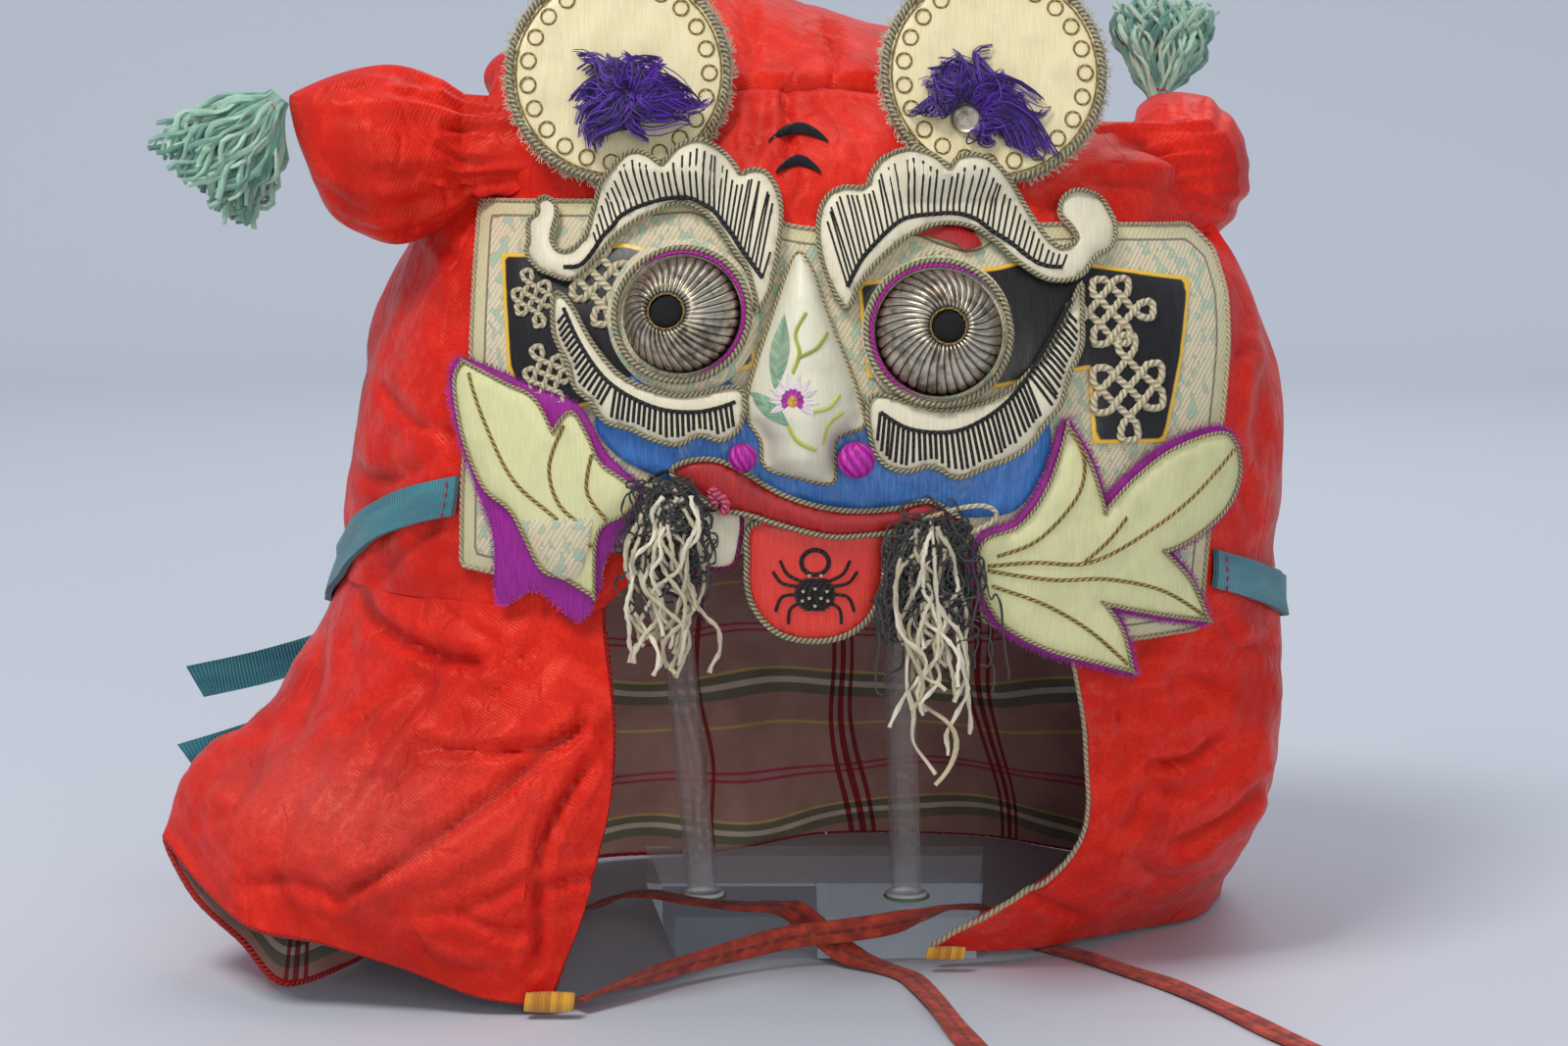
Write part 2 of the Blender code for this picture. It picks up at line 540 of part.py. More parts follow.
def within(outline, x, z, margin):
    """Whether a place is inside an outline and at least a margin from it."""
    nxt = np.roll(outline, -1, 0)
    crosses = (outline[:, 1] > z) != (nxt[:, 1] > z)
    rise = np.where(nxt[:, 1] == outline[:, 1], 1e-9, nxt[:, 1] - outline[:, 1])
    at = outline[:, 0] + (z - outline[:, 1]) * (nxt[:, 0] - outline[:, 0]) / rise
    if (crosses & (at > x)).sum() % 2 == 0:
        return False
    span = nxt - outline
    along = ((x - outline[:, 0]) * span[:, 0] + (z - outline[:, 1]) * span[:, 1])
    share = np.clip(along / np.maximum((span**2).sum(1), 1e-9), 0, 1)
    near = outline + span * share[:, None]
    return np.hypot(near[:, 0] - x, near[:, 1] - z).min() > margin


def patch(name, outline, layer, colour, spacing=9, rise=None, lift=None, place=None):
    """A piece of cloth: a flat outline laid on the hood, or on a surface of its own, between two heights."""
    place = place or face_point
    flat, faces = filled(fitted(outline, place), spacing)
    x, z = flat[:, 0], flat[:, 1]
    extra = lift(x, z) if lift else np.zeros(len(x))
    crown = rise(x, z) if rise else np.zeros(len(x))
    under = place(x, z, layer[0] + extra)
    over = place(x, z, layer[1] + extra + crown)
    count = len(flat)
    sides = {}
    for face in faces:
        for one, two in zip(face, face[1:] + face[:1]):
            if (two, one) in sides:
                del sides[two, one]
            else:
                sides[one, two] = True
    shell = [f[::-1] for f in faces] + [[k + count for k in f] for f in faces]
    shell += [[one, two, two + count, one + count] for one, two in sides]
    return solid(name, np.concatenate([under, over]), shell, colour)


def face_frame(x, z, height):
    """A place on the face with its directions outwards, across and up."""
    place = face_point(x, z, height)
    out = face_point(x, z, height + 1.0) - place
    across = np.cross((0, 0, 1.0), -out)
    across /= np.linalg.norm(across)
    if across[0] < 0:
        across = -across
    up = np.cross(out, across)
    up = up if up[2] > 0 else -up
    return place, out, across, up


def hood():
    """The padded hood in two halves that meet at the centre seam; returns the cape's columns."""
    steps = np.arange(0, len(CAPE) - 1, 0.8)
    steps = np.unique(np.append(steps, (CAPE_BACK_ROW, len(CAPE) - 1)))
    face = np.array(FACE_TURNS, float)
    turns = np.concatenate([face[face <= 0], spline(CAPE, steps)[:, 0], face[face >= 0] - 360])
    base = np.where(np.abs((turns + 180) % 360 - 180) < 18.5, FACE_EDGE_Z, NECK_Z + GAP / 2)
    z = base + (HOOD[-1][0] - base) * np.array(HOOD_LEVELS)[:, None]
    outer = hood_skin(turns, z)
    ringed = np.concatenate([outer[:, -3:-1], outer, outer[:, 1:3]], axis=1)
    inner = outer - grid_normals(ringed)[:, 2:-2] * HOOD_WALL
    crown = section(HOOD[-1][0])
    top = np.broadcast_to((crown[0], crown[2], CROWN_Z), (1, len(turns), 3))
    outer = np.concatenate([outer, top])
    inner = np.concatenate([inner, top - (0, 0, HOOD_WALL)])
    back = int(np.argmin(np.abs(turns + 180)))
    for name, side, pick in (("hood_left", -1, slice(0, back + 1)), ("hood_right", 1, slice(back, None))):
        grids = [grid[:, pick].copy() for grid in (outer, inner)]
        for grid in grids:
            grid[:, (0, -1), 0] += side * GAP / 2
            grid[-1, 1:-1, 0] += side * GAP / 2
        wall(name, *grids, "red_silk", pole=True)
    return steps


def cape(steps):
    """The cape in two halves: a front flap, a side and half of the back each."""
    levels = np.array(CAPE_LEVELS)[::-1, None]
    outer = cape_skin(steps, levels)
    normals = grid_normals(outer)
    outer = outer + normals * fold(steps, levels)[..., None]
    thick = CAPE_WALL[0] + (CAPE_WALL[1] - CAPE_WALL[0]) * levels
    inner = outer - normals * thick[..., None]
    back = int(np.argmin(np.abs(steps - CAPE_BACK_ROW)))
    for name, side, pick, seam in (("cape_left", -1, slice(0, back + 1), -1), ("cape_right", 1, slice(back, None), 0)):
        grids = [grid[:, pick].copy() for grid in (outer, inner)]
        for grid in grids:
            grid[-1, :, 2] = NECK_Z - GAP / 2
            grid[:, seam, 0] += side * GAP / 2
            np.clip(grid[..., 2], 0.8, None, out=grid[..., 2])
        wall(name, *grids, "red_silk")


def brow_lift(x, z):
    """Extra height of a brow where it passes over the foot of an ear."""
    total = np.zeros(len(x))
    for _, ear_x, *_ in EARS:
        near = np.clip((BROW_OVER[0] - np.abs(x - ear_x)) / BROW_OVER[1], 0, 1)
        total += near * BROW_LIFT * np.clip((z - BROW_OVER[2]) / BROW_OVER[3], 0, 1)
    return total


def nose_rise(x, z):
    """Crown of the nose: high along its middle, highest near its foot."""
    middle = -3.6
    half = np.interp(z, (121.5, 126, 131, 136, 143, 173), (6, 7.2, 8, 12, 11, 1.5))
    across = np.clip(1 - ((x - middle) / half) ** 2, 0, None)
    along = np.interp(z, (121.5, 127, 136, 160, 173), (0.15, 0.85, 1, 0.55, 0.1))
    return NOSE_RISE * across * along


def flat_pieces():
    """The pieces of cloth sewn on the face, from the panel outwards."""
    patch("face_panel", loop(PANEL, 1), LAYER_PANEL, "brocade", 16)
    patch("left_black_patch", loop(LEFT_PATCH, 1), LAYER_PATCH, "black_satin", 16)
    patch("right_black_patch", loop(RIGHT_PATCH, 1), LAYER_PATCH, "black_satin", 16)
    patch("muzzle", loop(MUZZLE, 1), LAYER_MUZZLE, "blue_satin", 11)
    patch("left_brow", loop(LEFT_BROW, 2), LAYER_BROW, "cream_silk", 8, lift=brow_lift)
    patch("right_brow", loop(RIGHT_BROW, 2), LAYER_BROW, "cream_silk", 8, lift=brow_lift)
    patch("left_lower_lid", loop(LEFT_LID, 2), LAYER_LID, "cream_silk", 8)
    patch("right_lower_lid", loop(RIGHT_LID, 2), LAYER_LID, "cream_silk", 8)
    patch("nose", loop(NOSE, 2), LAYER_NOSE, "cream_silk", 5, rise=nose_rise)
    patch("upper_lip", loop(UPPER_LIP, 2), LAYER_LIP, "red_satin", 8)
    patch("teeth", loop(TEETH, 2), LAYER_TEETH, "cream_silk", 9)
    patch("tongue", loop(TONGUE, 2), LAYER_TONGUE, "red_satin", 9)
    patch("left_leaf", loop(LEFT_LEAF, 1), LAYER_LEAF, "leaf_satin", 14)
    patch("left_leaf_backing", loop(LEFT_BACKING, 1), LAYER_BACKING, "magenta_silk", 12)
    patch("right_leaf", loop(RIGHT_LEAF, 1), LAYER_LEAF, "leaf_satin", 14)
    patch("right_leaf_backing", grown(loop(RIGHT_LEAF, 1), BACKING_RIM), LAYER_BACKING, "magenta_silk", 12)
    for name, (x, z, half, rise) in zip(("forehead_stripe_upper", "forehead_stripe_lower"), STRIPES):
        along = np.linspace(-1, 1, 9)
        arc = np.stack([x + along * half, z - rise * along**2], 1)
        taper = (STRIPE_W / 2 * (1 - 0.75 * along**2))[:, None] * (0, 1)
        patch(name, np.concatenate([arc + taper, (arc - taper)[::-1]]), (GAP, 1.1), "black_satin", 9)


def ring_points(place, across, up, radius, around, phase=0.0):
    """A ring of points round a place."""
    turn = np.arange(around) / around * 2 * math.pi + phase
    return place + radius * (np.cos(turn)[:, None] * across + np.sin(turn)[:, None] * up)


def eye(side, x, z, radius, pupil_x, pupil_z):
    """A pad, a fluted metal dome with a hole for the pupil, and a cord round it."""
    pad = [(x + EYE_PAD_R * math.cos(t), z + EYE_PAD_R * math.sin(t)) for t in np.arange(28) / 28 * 2 * math.pi]
    patch(f"{side}_eye_pad", np.array(pad), LAYER_PAD, "brocade", 9)
    place, out, across, up = face_frame(x, z, LAYER_PAD[1] + 0.9)
    around = EYE_FLUTES * 2
    turn = np.arange(around) / around * 2 * math.pi
    hole = place + pupil_x * across + pupil_z * up
    rings = []
    for share in (0.0, 0.5, 1.0):
        reach = EYE_HOLE_R + (radius - EYE_HOLE_R) * share
        middle = hole + (place - hole) * share
        swirl = turn + 0.5 * share
        flute = 0.45 * np.cos(EYE_FLUTES * turn) * math.sin(math.pi * min(0.9, share + 0.12))
        height = EYE_RISE * (1 - share**2.2) + flute
        ring = middle + reach * (np.cos(swirl)[:, None] * across + np.sin(swirl)[:, None] * up)
        rings.append(ring + height[:, None] * out)
    foot = place + radius * (np.cos(turn + 0.5)[:, None] * across + np.sin(turn + 0.5)[:, None] * up) - 0.5 * out
    well = hole + EYE_HOLE_R * (np.cos(turn)[:, None] * across + np.sin(turn)[:, None] * up) - 0.5 * out
    rings = np.array([well, *rings, foot, well])
    index = np.arange(len(rings) * around).reshape(len(rings), around)
    faces = quads(np.concatenate([index, index[:, :1]], axis=1))
    solid(f"{side}_eye", rings.reshape(-1, 3), faces, "silver")
    inner = EYE_HOLE_R - GAP
    pupil = [ring_points(hole + h * out, across, up, inner, 16) for h in (-0.4, EYE_RISE - 1.4)]
    tube(f"{side}_pupil", pupil, "black_satin")
    torus(f"{side}_eye_rim", place - 0.05 * out, out, across, up, radius + 1.2, 0.85, 20, "magenta_silk")


def torus(name, place, out, across, up, major, minor, around, colour, sides=4):
    """A ring of cord."""
    turn = np.arange(around) / around * 2 * math.pi
    spoke = np.cos(turn)[:, None] * across + np.sin(turn)[:, None] * up
    rings = []
    for tilt in (np.arange(sides) + 0.5) / sides * 2 * math.pi:
        rings.append(place + spoke * (major + minor * math.cos(tilt)) + out * minor * math.sin(tilt))
    index = np.arange(sides * around).reshape(sides, around)
    wrapped = np.concatenate([index, index[:, :1]], axis=1)
    wrapped = np.concatenate([wrapped, wrapped[:1]])
    solid(name, np.array(rings).reshape(-1, 3), quads(wrapped), colour)


def ball(name, place, radius, out, across, up, flat, colour):
    """A small round pad."""
    rings = []
    for tilt in np.linspace(-0.4, 0.4, 5) * math.pi:
        rings.append(ring_points(place + out * radius * flat * math.sin(tilt), across, up,
                                 radius * math.cos(tilt), 10))
    tube(name, rings, colour)


def locks_rise(outline, crown):
    """Crown of a spray of locks: nothing at its edge, full further in."""
    nxt = np.roll(outline, -1, 0)
    span = nxt - outline

    def rise(x, z):
        away = np.stack([x, z], -1)[:, None] - outline
        share = np.clip((away * span).sum(-1) / np.maximum((span**2).sum(-1), 1e-9), 0, 1)
        near = np.linalg.norm(away - span * share[..., None], axis=-1).min(1)
        return crown * np.clip(near / 4, 0, 1)

    return rise


def ear(side, x, z, foot_y, button_x, button_z):
    """A silk disc with a fuzzy backing, a button and a spray of floss locks."""

    def place(across, up, height):
        lean = foot_y + (np.asarray(up, float) - EAR_FOOT_Z) * EAR_LEAN
        low = np.minimum(up, HOOD[-3][0])
        y = np.minimum(lean, face_depth(across, low)) - height * 1.12
        return np.stack(np.broadcast_arrays(np.asarray(across, float), y, np.asarray(up, float)), -1)

    turn = np.arange(26) / 26 * 2 * math.pi
    for part_name, grow, layer, colour in (("ear", 0, LAYER_EAR, "cream_silk"),
                                           ("ear_backing", 1.2, LAYER_EAR_BACKING, "fur")):
        radius = EAR_R + grow
        disc = np.stack([x + radius * np.cos(turn), z + radius * 0.97 * np.sin(turn)], 1)
        patch(f"{side}_{part_name}", disc, layer, colour, 16, place=place)
    up = np.array((0, EAR_LEAN, 1.0))
    up /= np.linalg.norm(up)
    across = np.array((1.0, 0, 0))
    out = np.cross(across, up)
    out = out if out[1] < 0 else -out
    foot = place(button_x, button_z, LAYER_EAR[1]) + out * 0.8
    cap = [ring_points(foot + out * h, across, up, r, 10) for h, r in ((0, 2.9), (0.9, 2.9), (1.6, 1.6))]
    tube(f"{side}_ear_button", cap, "silver")
    locks = LEFT_LOCKS if side == "left" else RIGHT_LOCKS
    spray = []
    for k, (at, reach) in enumerate(locks):
        after = locks[(k + 1) % len(locks)]
        spray.append((math.radians(at), reach))
        if k + 1 < len(locks) or side == "left":
            notch = math.radians((at + after[0] + (360 if k + 1 == len(locks) else 0)) / 2)
            spray.append((notch, min(reach, after[1]) * 0.72))
    points = [(button_x + r * math.cos(t), button_z + r * math.sin(t)) for t, r in spray]
    if side == "left":
        points = [(px, pz + LEFT_SPRAY_UP) for px, pz in points]
        layer = [h + BUTTON_H for h in LAYER_LOCKS]
    else:
        back = math.radians(locks[-1][0]), math.radians(locks[0][0])
        arc = np.linspace(back[0], back[1], 7)
        points += [(button_x + BUTTON_CLEAR * math.cos(t), button_z + BUTTON_CLEAR * math.sin(t)) for t in arc]
        layer = LAYER_LOCKS
    points = np.array(points)
    patch(f"{side}_ear_tassel", points, layer, "purple_floss", 7, rise=locks_rise(points, LOCKS_RISE), place=place)


def tassel(name, root, lean, length, wide, flat, locks, colour, out=None):
    """A bundle of locks: a small head that opens into a fluted brush with a ragged end."""
    root = np.array(root, float)
    along = np.array(lean, float)
    along /= np.linalg.norm(along)
    out = np.array((0, -1.0, 0)) if out is None else np.array(out, float)
    out -= along * (out @ along)
    out /= np.linalg.norm(out)
    across = np.cross(along, out)
    around = locks * 2
    turn = np.arange(around) / around * 2 * math.pi
    ragged = 1 + 0.12 * np.cos(locks * turn) + 0.10 * np.sin(2 * turn + 0.7)
    rings = []
    for share, open_share in ((0.02, 0.16), (0.07, 0.24), (0.12, 0.17), (0.3, 0.55), (0.55, 0.85),
                              (0.8, 1.0), (0.97, 0.9)):
        flute = 1 + 0.2 * share * np.cos(locks * turn)
        reach = wide * open_share * flute
        stretch = length * (1 + (ragged - 1) * share)
        ring = root + np.outer(stretch * share, along)
        ring += np.outer(reach * np.cos(turn), across) + np.outer(reach * flat * np.sin(turn), out)
        rings.append(ring)
    rings.append(rings[-1] * 0.45 + rings[-1].mean(0) * 0.55 - along * length * 0.12)
    tube(name, rings, colour)


def side_skin(side, y, z):
    """Place across of the hood's left or right side at a depth and a height."""
    mid_x, half_x, mid_y, half_y, power = section(z)
    toward = np.clip((mid_y - y) / half_y, -1, 1)
    turn = side * np.degrees(np.arccos(np.sign(toward) * np.abs(toward) ** (power / 2)))
    grow = np.clip(swell(turn, z), 0, None)
    inside = np.clip(1 - np.abs((y - mid_y) / (half_y + grow)) ** power, 0, None)
    return mid_x + side * (half_x + grow) * inside ** (1 / power)


def clear_of_hood(side, ring):
    """A ring of points drawn in towards its middle, or moved sideways, until it is outside the hood."""

    def room(points):
        skin = side_skin(side, points[:, 1], points[:, 2])
        return side * (points[:, 0] - skin) - KNOB_OFF - GAP

    middle = ring.mean(0)
    if room(middle[None])[0] > 0:
        for share in np.linspace(1, 0.04, 25):
            drawn = middle + (ring - middle) * share
            late = room(ring) < 0
            ring = np.where((late & (room(drawn) >= 0))[:, None], drawn, ring)
        return ring
    ring = ring.copy()
    ring[:, 0] -= side * np.clip(room(ring), None, 0)
    return ring


def knob_root(side, depth, height, radius):
    """Rings of points on the hood's side, from a small one to the knob's neck."""
    turn = np.arange(KNOB_AROUND) / KNOB_AROUND * 2 * math.pi
    rings = []
    for reach in (1.0, radius * 0.55, radius):
        y, z = depth + side * -reach * np.cos(turn), height + reach * np.sin(turn)
        rings.append(np.stack([side_skin(side, y, z) + side * KNOB_OFF, y, z], 1))
    return rings


def knobs():
    """The two padded horns: bags that open from a gathered neck."""
    turn = np.arange(KNOB_AROUND) / KNOB_AROUND * 2 * math.pi
    rings = knob_root(-1, *LEFT_KNOB_ROOT)
    for x, mid_z, half_z, mid_y, half_y in LEFT_KNOB:
        ring = np.stack([np.full(KNOB_AROUND, float(x)), mid_y + half_y * np.cos(turn),
                         mid_z + half_z * np.sin(turn)], 1)
        rings.append(clear_of_hood(-1, ring))
    tube("left_knob", rings, "red_silk")
    rings = knob_root(1, *RIGHT_KNOB_ROOT)
    for y, mid_x, half_x, mid_z, half_z in RIGHT_KNOB:
        ring = np.stack([mid_x + half_x * np.cos(turn), np.full(KNOB_AROUND, float(y)),
                         mid_z + half_z * np.sin(turn)], 1)
        rings.append(clear_of_hood(1, ring))
    tube("right_knob", rings, "red_silk")


def ribbon():
    """The ribbon round the neck, its knot at the back left and its two free ends."""
    at = np.linspace(0, len(RIBBON) - 1, 34)
    path = spline(RIBBON, at)
    rows = np.linspace(-0.5, 0.5, 3)[:, None] * RIBBON_W
    places = np.interp(-path[:, 0], [-r[0] for r in CAPE], np.arange(len(CAPE)))
    heights = path[:, 1] + rows
    upper = hood_skin(np.broadcast_to(path[:, 0], heights.shape), np.maximum(heights, NECK_Z))
    drop = np.clip((NECK_Z - heights) / (NECK_Z - 59) / 3, 0, None)
    lower = cape_skin(np.broadcast_to(places, heights.shape), drop)
    skin = np.where((heights >= NECK_Z)[..., None], upper, lower)
    skin[..., 2] = heights
    normals = grid_normals(skin)
    wall("neck_ribbon", skin + normals * (RIBBON_T + RIBBON_OFF), skin + normals * RIBBON_OFF, "teal_ribbon")
    middle = int(np.argmin(np.abs(path[:, 0] - KNOT_TURN)))
    place = skin[1, middle]
    out = normals[1, middle]
    up = np.array((0, 0, 1.0))
    across = np.cross(out, up)
    across /= np.linalg.norm(across)
    ball("ribbon_knot", place + out * (RIBBON_T + RIBBON_OFF + GAP + 3.4), 6.5, out, across, up, 0.52, "teal_ribbon")
    for name, route in RIBBON_ENDS:
        strip(name, [(*p, 90) for p in route], RIBBON_W, RIBBON_T, 11, "teal_ribbon")


def strip(name, route, width, thick, count, colour):
    """A flat strip along a route of places, each with its roll in degrees."""
    row = spline(route, np.linspace(0, len(route) - 1, count))
    centre = row[:, :3]
    ahead = np.gradient(centre, axis=0)
    ahead /= np.linalg.norm(ahead, axis=1, keepdims=True)
    level = np.cross(ahead, (0, 0, 1.0))
    level /= np.linalg.norm(level, axis=1, keepdims=True)
    above = np.cross(level, ahead)
    roll = np.radians(row[:, 3])[:, None]
    wide = level * np.cos(roll) + above * np.sin(roll)
    deep = np.cross(wide, ahead)
    corners = ((-1, -1), (1, -1), (1, 1), (-1, 1))
    rings = np.stack([centre + wide * a * width / 2 + deep * b * thick / 2 for a, b in corners], 1)
    return tube(name, rings, colour)


def box_piece(name, place, halves, colour):
    """A small block with its edges taken off."""
    bpy.ops.mesh.primitive_cube_add(size=2, location=np.array(place) * MM)
    made = bpy.context.object
    made.name = name
    made.scale = np.array(halves) * MM
    bpy.ops.object.transform_apply(location=False, rotation=False, scale=True)
    edges = made.modifiers.new("edges", "BEVEL")
    edges.width = 0.6 * MM
    edges.segments = 1
    made.data.materials.append(finish(colour))
    return made


def stand():
    """A clear slab with two rods and a plate under the crown."""
    left, right, front = SLAB_FRONT
    back_left, back_right, back = SLAB_BACK
    plan = np.array([(left, front), (right, front), (back_right, back), (back_left, back)], float)
    rings = [np.column_stack([plan, np.full(4, h)]) for h in (0.0, float(SLAB_H))]
    tube("stand_base", rings, "clear_acrylic")
    turn = np.arange(16) / 16 * 2 * math.pi
    disc = np.stack([np.cos(turn), np.sin(turn)], 1) * ROD_R
    for side, foot, top in RODS:
        ends = []
        for x, z in ((foot, SLAB_H + GAP), (top, PLATE_Z[0] - GAP)):
            ends.append(np.column_stack([disc + (x, ROD_Y), np.full(16, z)]))
        tube(f"stand_rod_{side}", ends, "clear_acrylic")
    left, right, front, back = PLATE
    plan = np.array([(left, front), (right, front), (right, back), (left, back)], float)
    rings = [np.column_stack([plan, np.full(4, float(h))]) for h in PLATE_Z]
    tube("stand_top", rings, "clear_acrylic")


def main():
    for old in list(bpy.data.objects):
        bpy.data.objects.remove(old, do_unlink=True)
    cape(hood())
    flat_pieces()
    for each in EYES:
        eye(*each)
    for side, x, z, radius in NOSTRILS:
        place, out, across, up = face_frame(x, z, LAYER_MUZZLE[1] + 2 * GAP + radius)
        ball(f"{side}_nostril", place, radius, out, across, up, 1.0, "magenta_silk")
    for each in EARS:
        ear(*each)
    for each in TASSELS:
        tassel(*each)
    knobs()
    ribbon()
    strip("left_tie", LEFT_TIE, TIE_W, TIE_T, 31, "tie_cloth")
    strip("right_tie", RIGHT_TIE, TIE_W, TIE_T, 38, "tie_cloth")
    for each in TACKS:
        box_piece(*each, "yellow_thread")
    stand()


main()
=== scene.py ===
"""Looks of the tiger hat: padded red silk with an embroidered face, standing on a clear stand.

Shapes are worked out in millimetres and become metres when a mesh is made. +Z is up and the face looks
along -Y. A surface is an array of points over two parameters, or a profile carried along a path.
"""

import logging
import math
from dataclasses import dataclass, replace
from enum import StrEnum
from typing import Callable, Optional, Sequence

import bmesh
import bpy
import numpy as np
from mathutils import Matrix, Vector
from mathutils.geometry import delaunay_2d_cdt


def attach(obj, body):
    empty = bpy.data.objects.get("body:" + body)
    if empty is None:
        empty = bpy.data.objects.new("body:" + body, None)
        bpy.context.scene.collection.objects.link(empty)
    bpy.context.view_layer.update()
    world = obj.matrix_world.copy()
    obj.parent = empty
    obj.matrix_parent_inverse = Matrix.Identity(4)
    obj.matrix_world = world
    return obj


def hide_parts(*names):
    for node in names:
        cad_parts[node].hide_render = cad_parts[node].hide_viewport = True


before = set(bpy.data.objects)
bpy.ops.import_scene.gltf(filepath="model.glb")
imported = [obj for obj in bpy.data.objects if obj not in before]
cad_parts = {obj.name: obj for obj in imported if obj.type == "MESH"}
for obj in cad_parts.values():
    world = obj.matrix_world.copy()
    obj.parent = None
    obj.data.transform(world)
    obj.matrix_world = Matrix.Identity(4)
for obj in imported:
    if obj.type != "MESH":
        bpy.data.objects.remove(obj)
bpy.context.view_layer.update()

log = logging.getLogger("tiger_hat")
Array = np.ndarray
Socket = bpy.types.NodeSocket
Colour = tuple[float, float, float]
MM = 0.001
FULL = 2 * math.pi
FRONT = np.array((0, -1.0, 0))
UP = np.array((0, 0, 1.0))
# Camera: focal length and sensor, place, tilt, and the middle of its picture of 1600 by 1067
LENS = 75.0
SENSOR = 36.0
EYE = (-8.0, -790.0, 212.0)
PITCH = math.radians(82)
CENTRE = (800, 533.5)
FOCUS = LENS / SENSOR * 2 * CENTRE[0]


class Side(StrEnum):
    """The viewer's side of the hat."""

    LEFT = "left"
    RIGHT = "right"


def rgb(red: float, green: float, blue: float) -> Colour:
    """Linear colour of an sRGB colour given from 0 to 255."""
    shares = (red / 255, green / 255, blue / 255)
    return tuple(((c + 0.055) / 1.055) ** 2.4 if c > 0.04 else c / 12.92 for c in shares)


def dimmed(colour: Colour, by: float) -> Colour:
    """A colour made darker by a factor."""
    return tuple(c * by for c in colour)


# Hood: height, left, right, front, back, squareness
HOOD = (
    (60, -117, 112, -74, 76, 2.5), (92, -116, 112, -77, 80, 2.5), (110, -114, 112, -79, 83, 2.5),
    (133, -110, 112, -79, 86, 2.5), (152, -106, 107, -76, 87, 2.5), (168, -99, 98, -71, 84, 2.4),
    (180, -89, 86, -66, 79, 2.4), (190, -81, 75, -61, 73, 2.4), (203, -77, 61, -49, 62, 2.3),
    (213, -73, 44, -38, 48, 2.3), (222, -62, 12, -28, 32, 2.2), (229, -46, -12, -18, 16, 2.1),
    (233, -34, -22, -6, 4, 2.0),
)
NECK_Z = 92
CROWN_Z = 234
FACE_Y = -79
# Lower edge of the hood: turns and heights, higher over the face opening
HOOD_FOOT = ((-360, -342, -335, -19, -12, 0), (106, 106, NECK_Z, NECK_Z, 106, 106))
# Dents and swells: turn, height, spread in turn, spread in height, depth
SWELLS = (
    (-74, 210, 20, 7, 4.5), (-128, 150, 22, 26, 3.0), (-180, 165, 26, 22, 3.5), (-228, 148, 22, 26, 3.0),
    (-155, 118, 12, 14, -2.5), (-205, 120, 12, 14, -2.5), (-90, 97, 22, 7, -2.0), (-270, 97, 22, 7, -2.0),
    (-180, 97, 60, 6, -2.5),
)
# Cape: turn at the neck, then points about 60 and 30 mm up, then the hem
CAPE = (
    (-19, -46, -77, 60, -51, -78, 31, -61, -78, 2.5), (-30, -66, -80, 60, -70, -85, 33, -77, -79, 5),
    (-42, -86, -76, 60, -92, -85, 36, -94, -78, 11.5), (-55, -104, -66, 60, -116, -76, 40, -112, -77, 17),
    (-68, -118, -50, 62, -134, -64, 45, -128, -75, 20), (-80, -126, -31, 64, -144, -50, 48, -141, -62, 26),
    (-90, -129, -14, 64, -147, -36, 48, -153, -46, 34), (-98, -129, 2, 62, -142, -24, 38, -146, -48, 20),
    (-106, -127, 14, 60, -134, -18, 30, -134, -53, 10), (-113, -123, 25, 58, -126, -4, 26, -124, -58, 1.4),
    (-121, -118, 36, 58, -118, 14, 28, -112, -40, 1), (-130, -112, 46, 58, -112, 32, 28, -105, -14, 1),
    (-140, -103, 57, 58, -103, 48, 28, -98, 16, 1), (-150, -88, 68, 58, -88, 64, 28, -83, 46, 1),
    (-162, -62, 80, 58, -61, 78, 28, -57, 68, 1), (-172, -30, 88, 58, -27, 84, 28, -25, 76, 1),
    (-180, 0, 91, 58, 0, 95, 28, 4, 97, 1), (-196, 40, 91, 60, 44, 95, 30, 46, 96, 1),
    (-208, 66, 84, 60, 68, 83, 30, 68, 81, 1), (-222, 89, 66, 60, 90, 63, 30, 90, 60, 1),
    (-238, 105, 42, 60, 106, 40, 30, 104, 38, 1), (-254, 112, 14, 60, 111, 14, 30, 101, 18, 1),
    (-268, 113, -12, 60, 110, -10, 30, 94, 3, 1), (-282, 109, -36, 60, 102, -31, 30, 80, -8, 1.5),
    (-300, 96, -47, 60, 86, -42, 30, 65, -23, 3), (-318, 78, -57, 60, 70, -50, 30, 48, -34, 3.2),
    (-335, 61, -63, 60, 59, -53, 30, 27, -41, 5),
)
CAPE_BACK_ROW = 16
CAPE_UPPER_Z = 59   # about the height of the cape's upper points
# Folds of the cape: place along it in columns, share of the drop, spreads, depth
FOLDS = (
    (2.6, 0.62, 0.8, 0.30, 2.6), (4.4, 0.40, 0.7, 0.30, -2.0), (11.5, 0.60, 0.9, 0.40, 3.0),
    (13.8, 0.75, 0.8, 0.35, -3.0), (15.8, 0.65, 0.9, 0.35, 3.5), (17.6, 0.70, 0.7, 0.35, -2.5),
    (19.6, 0.60, 0.9, 0.35, 2.5), (22.2, 0.50, 0.8, 0.30, -2.4), (23.4, 0.55, 0.6, 0.22, 2.0),
)

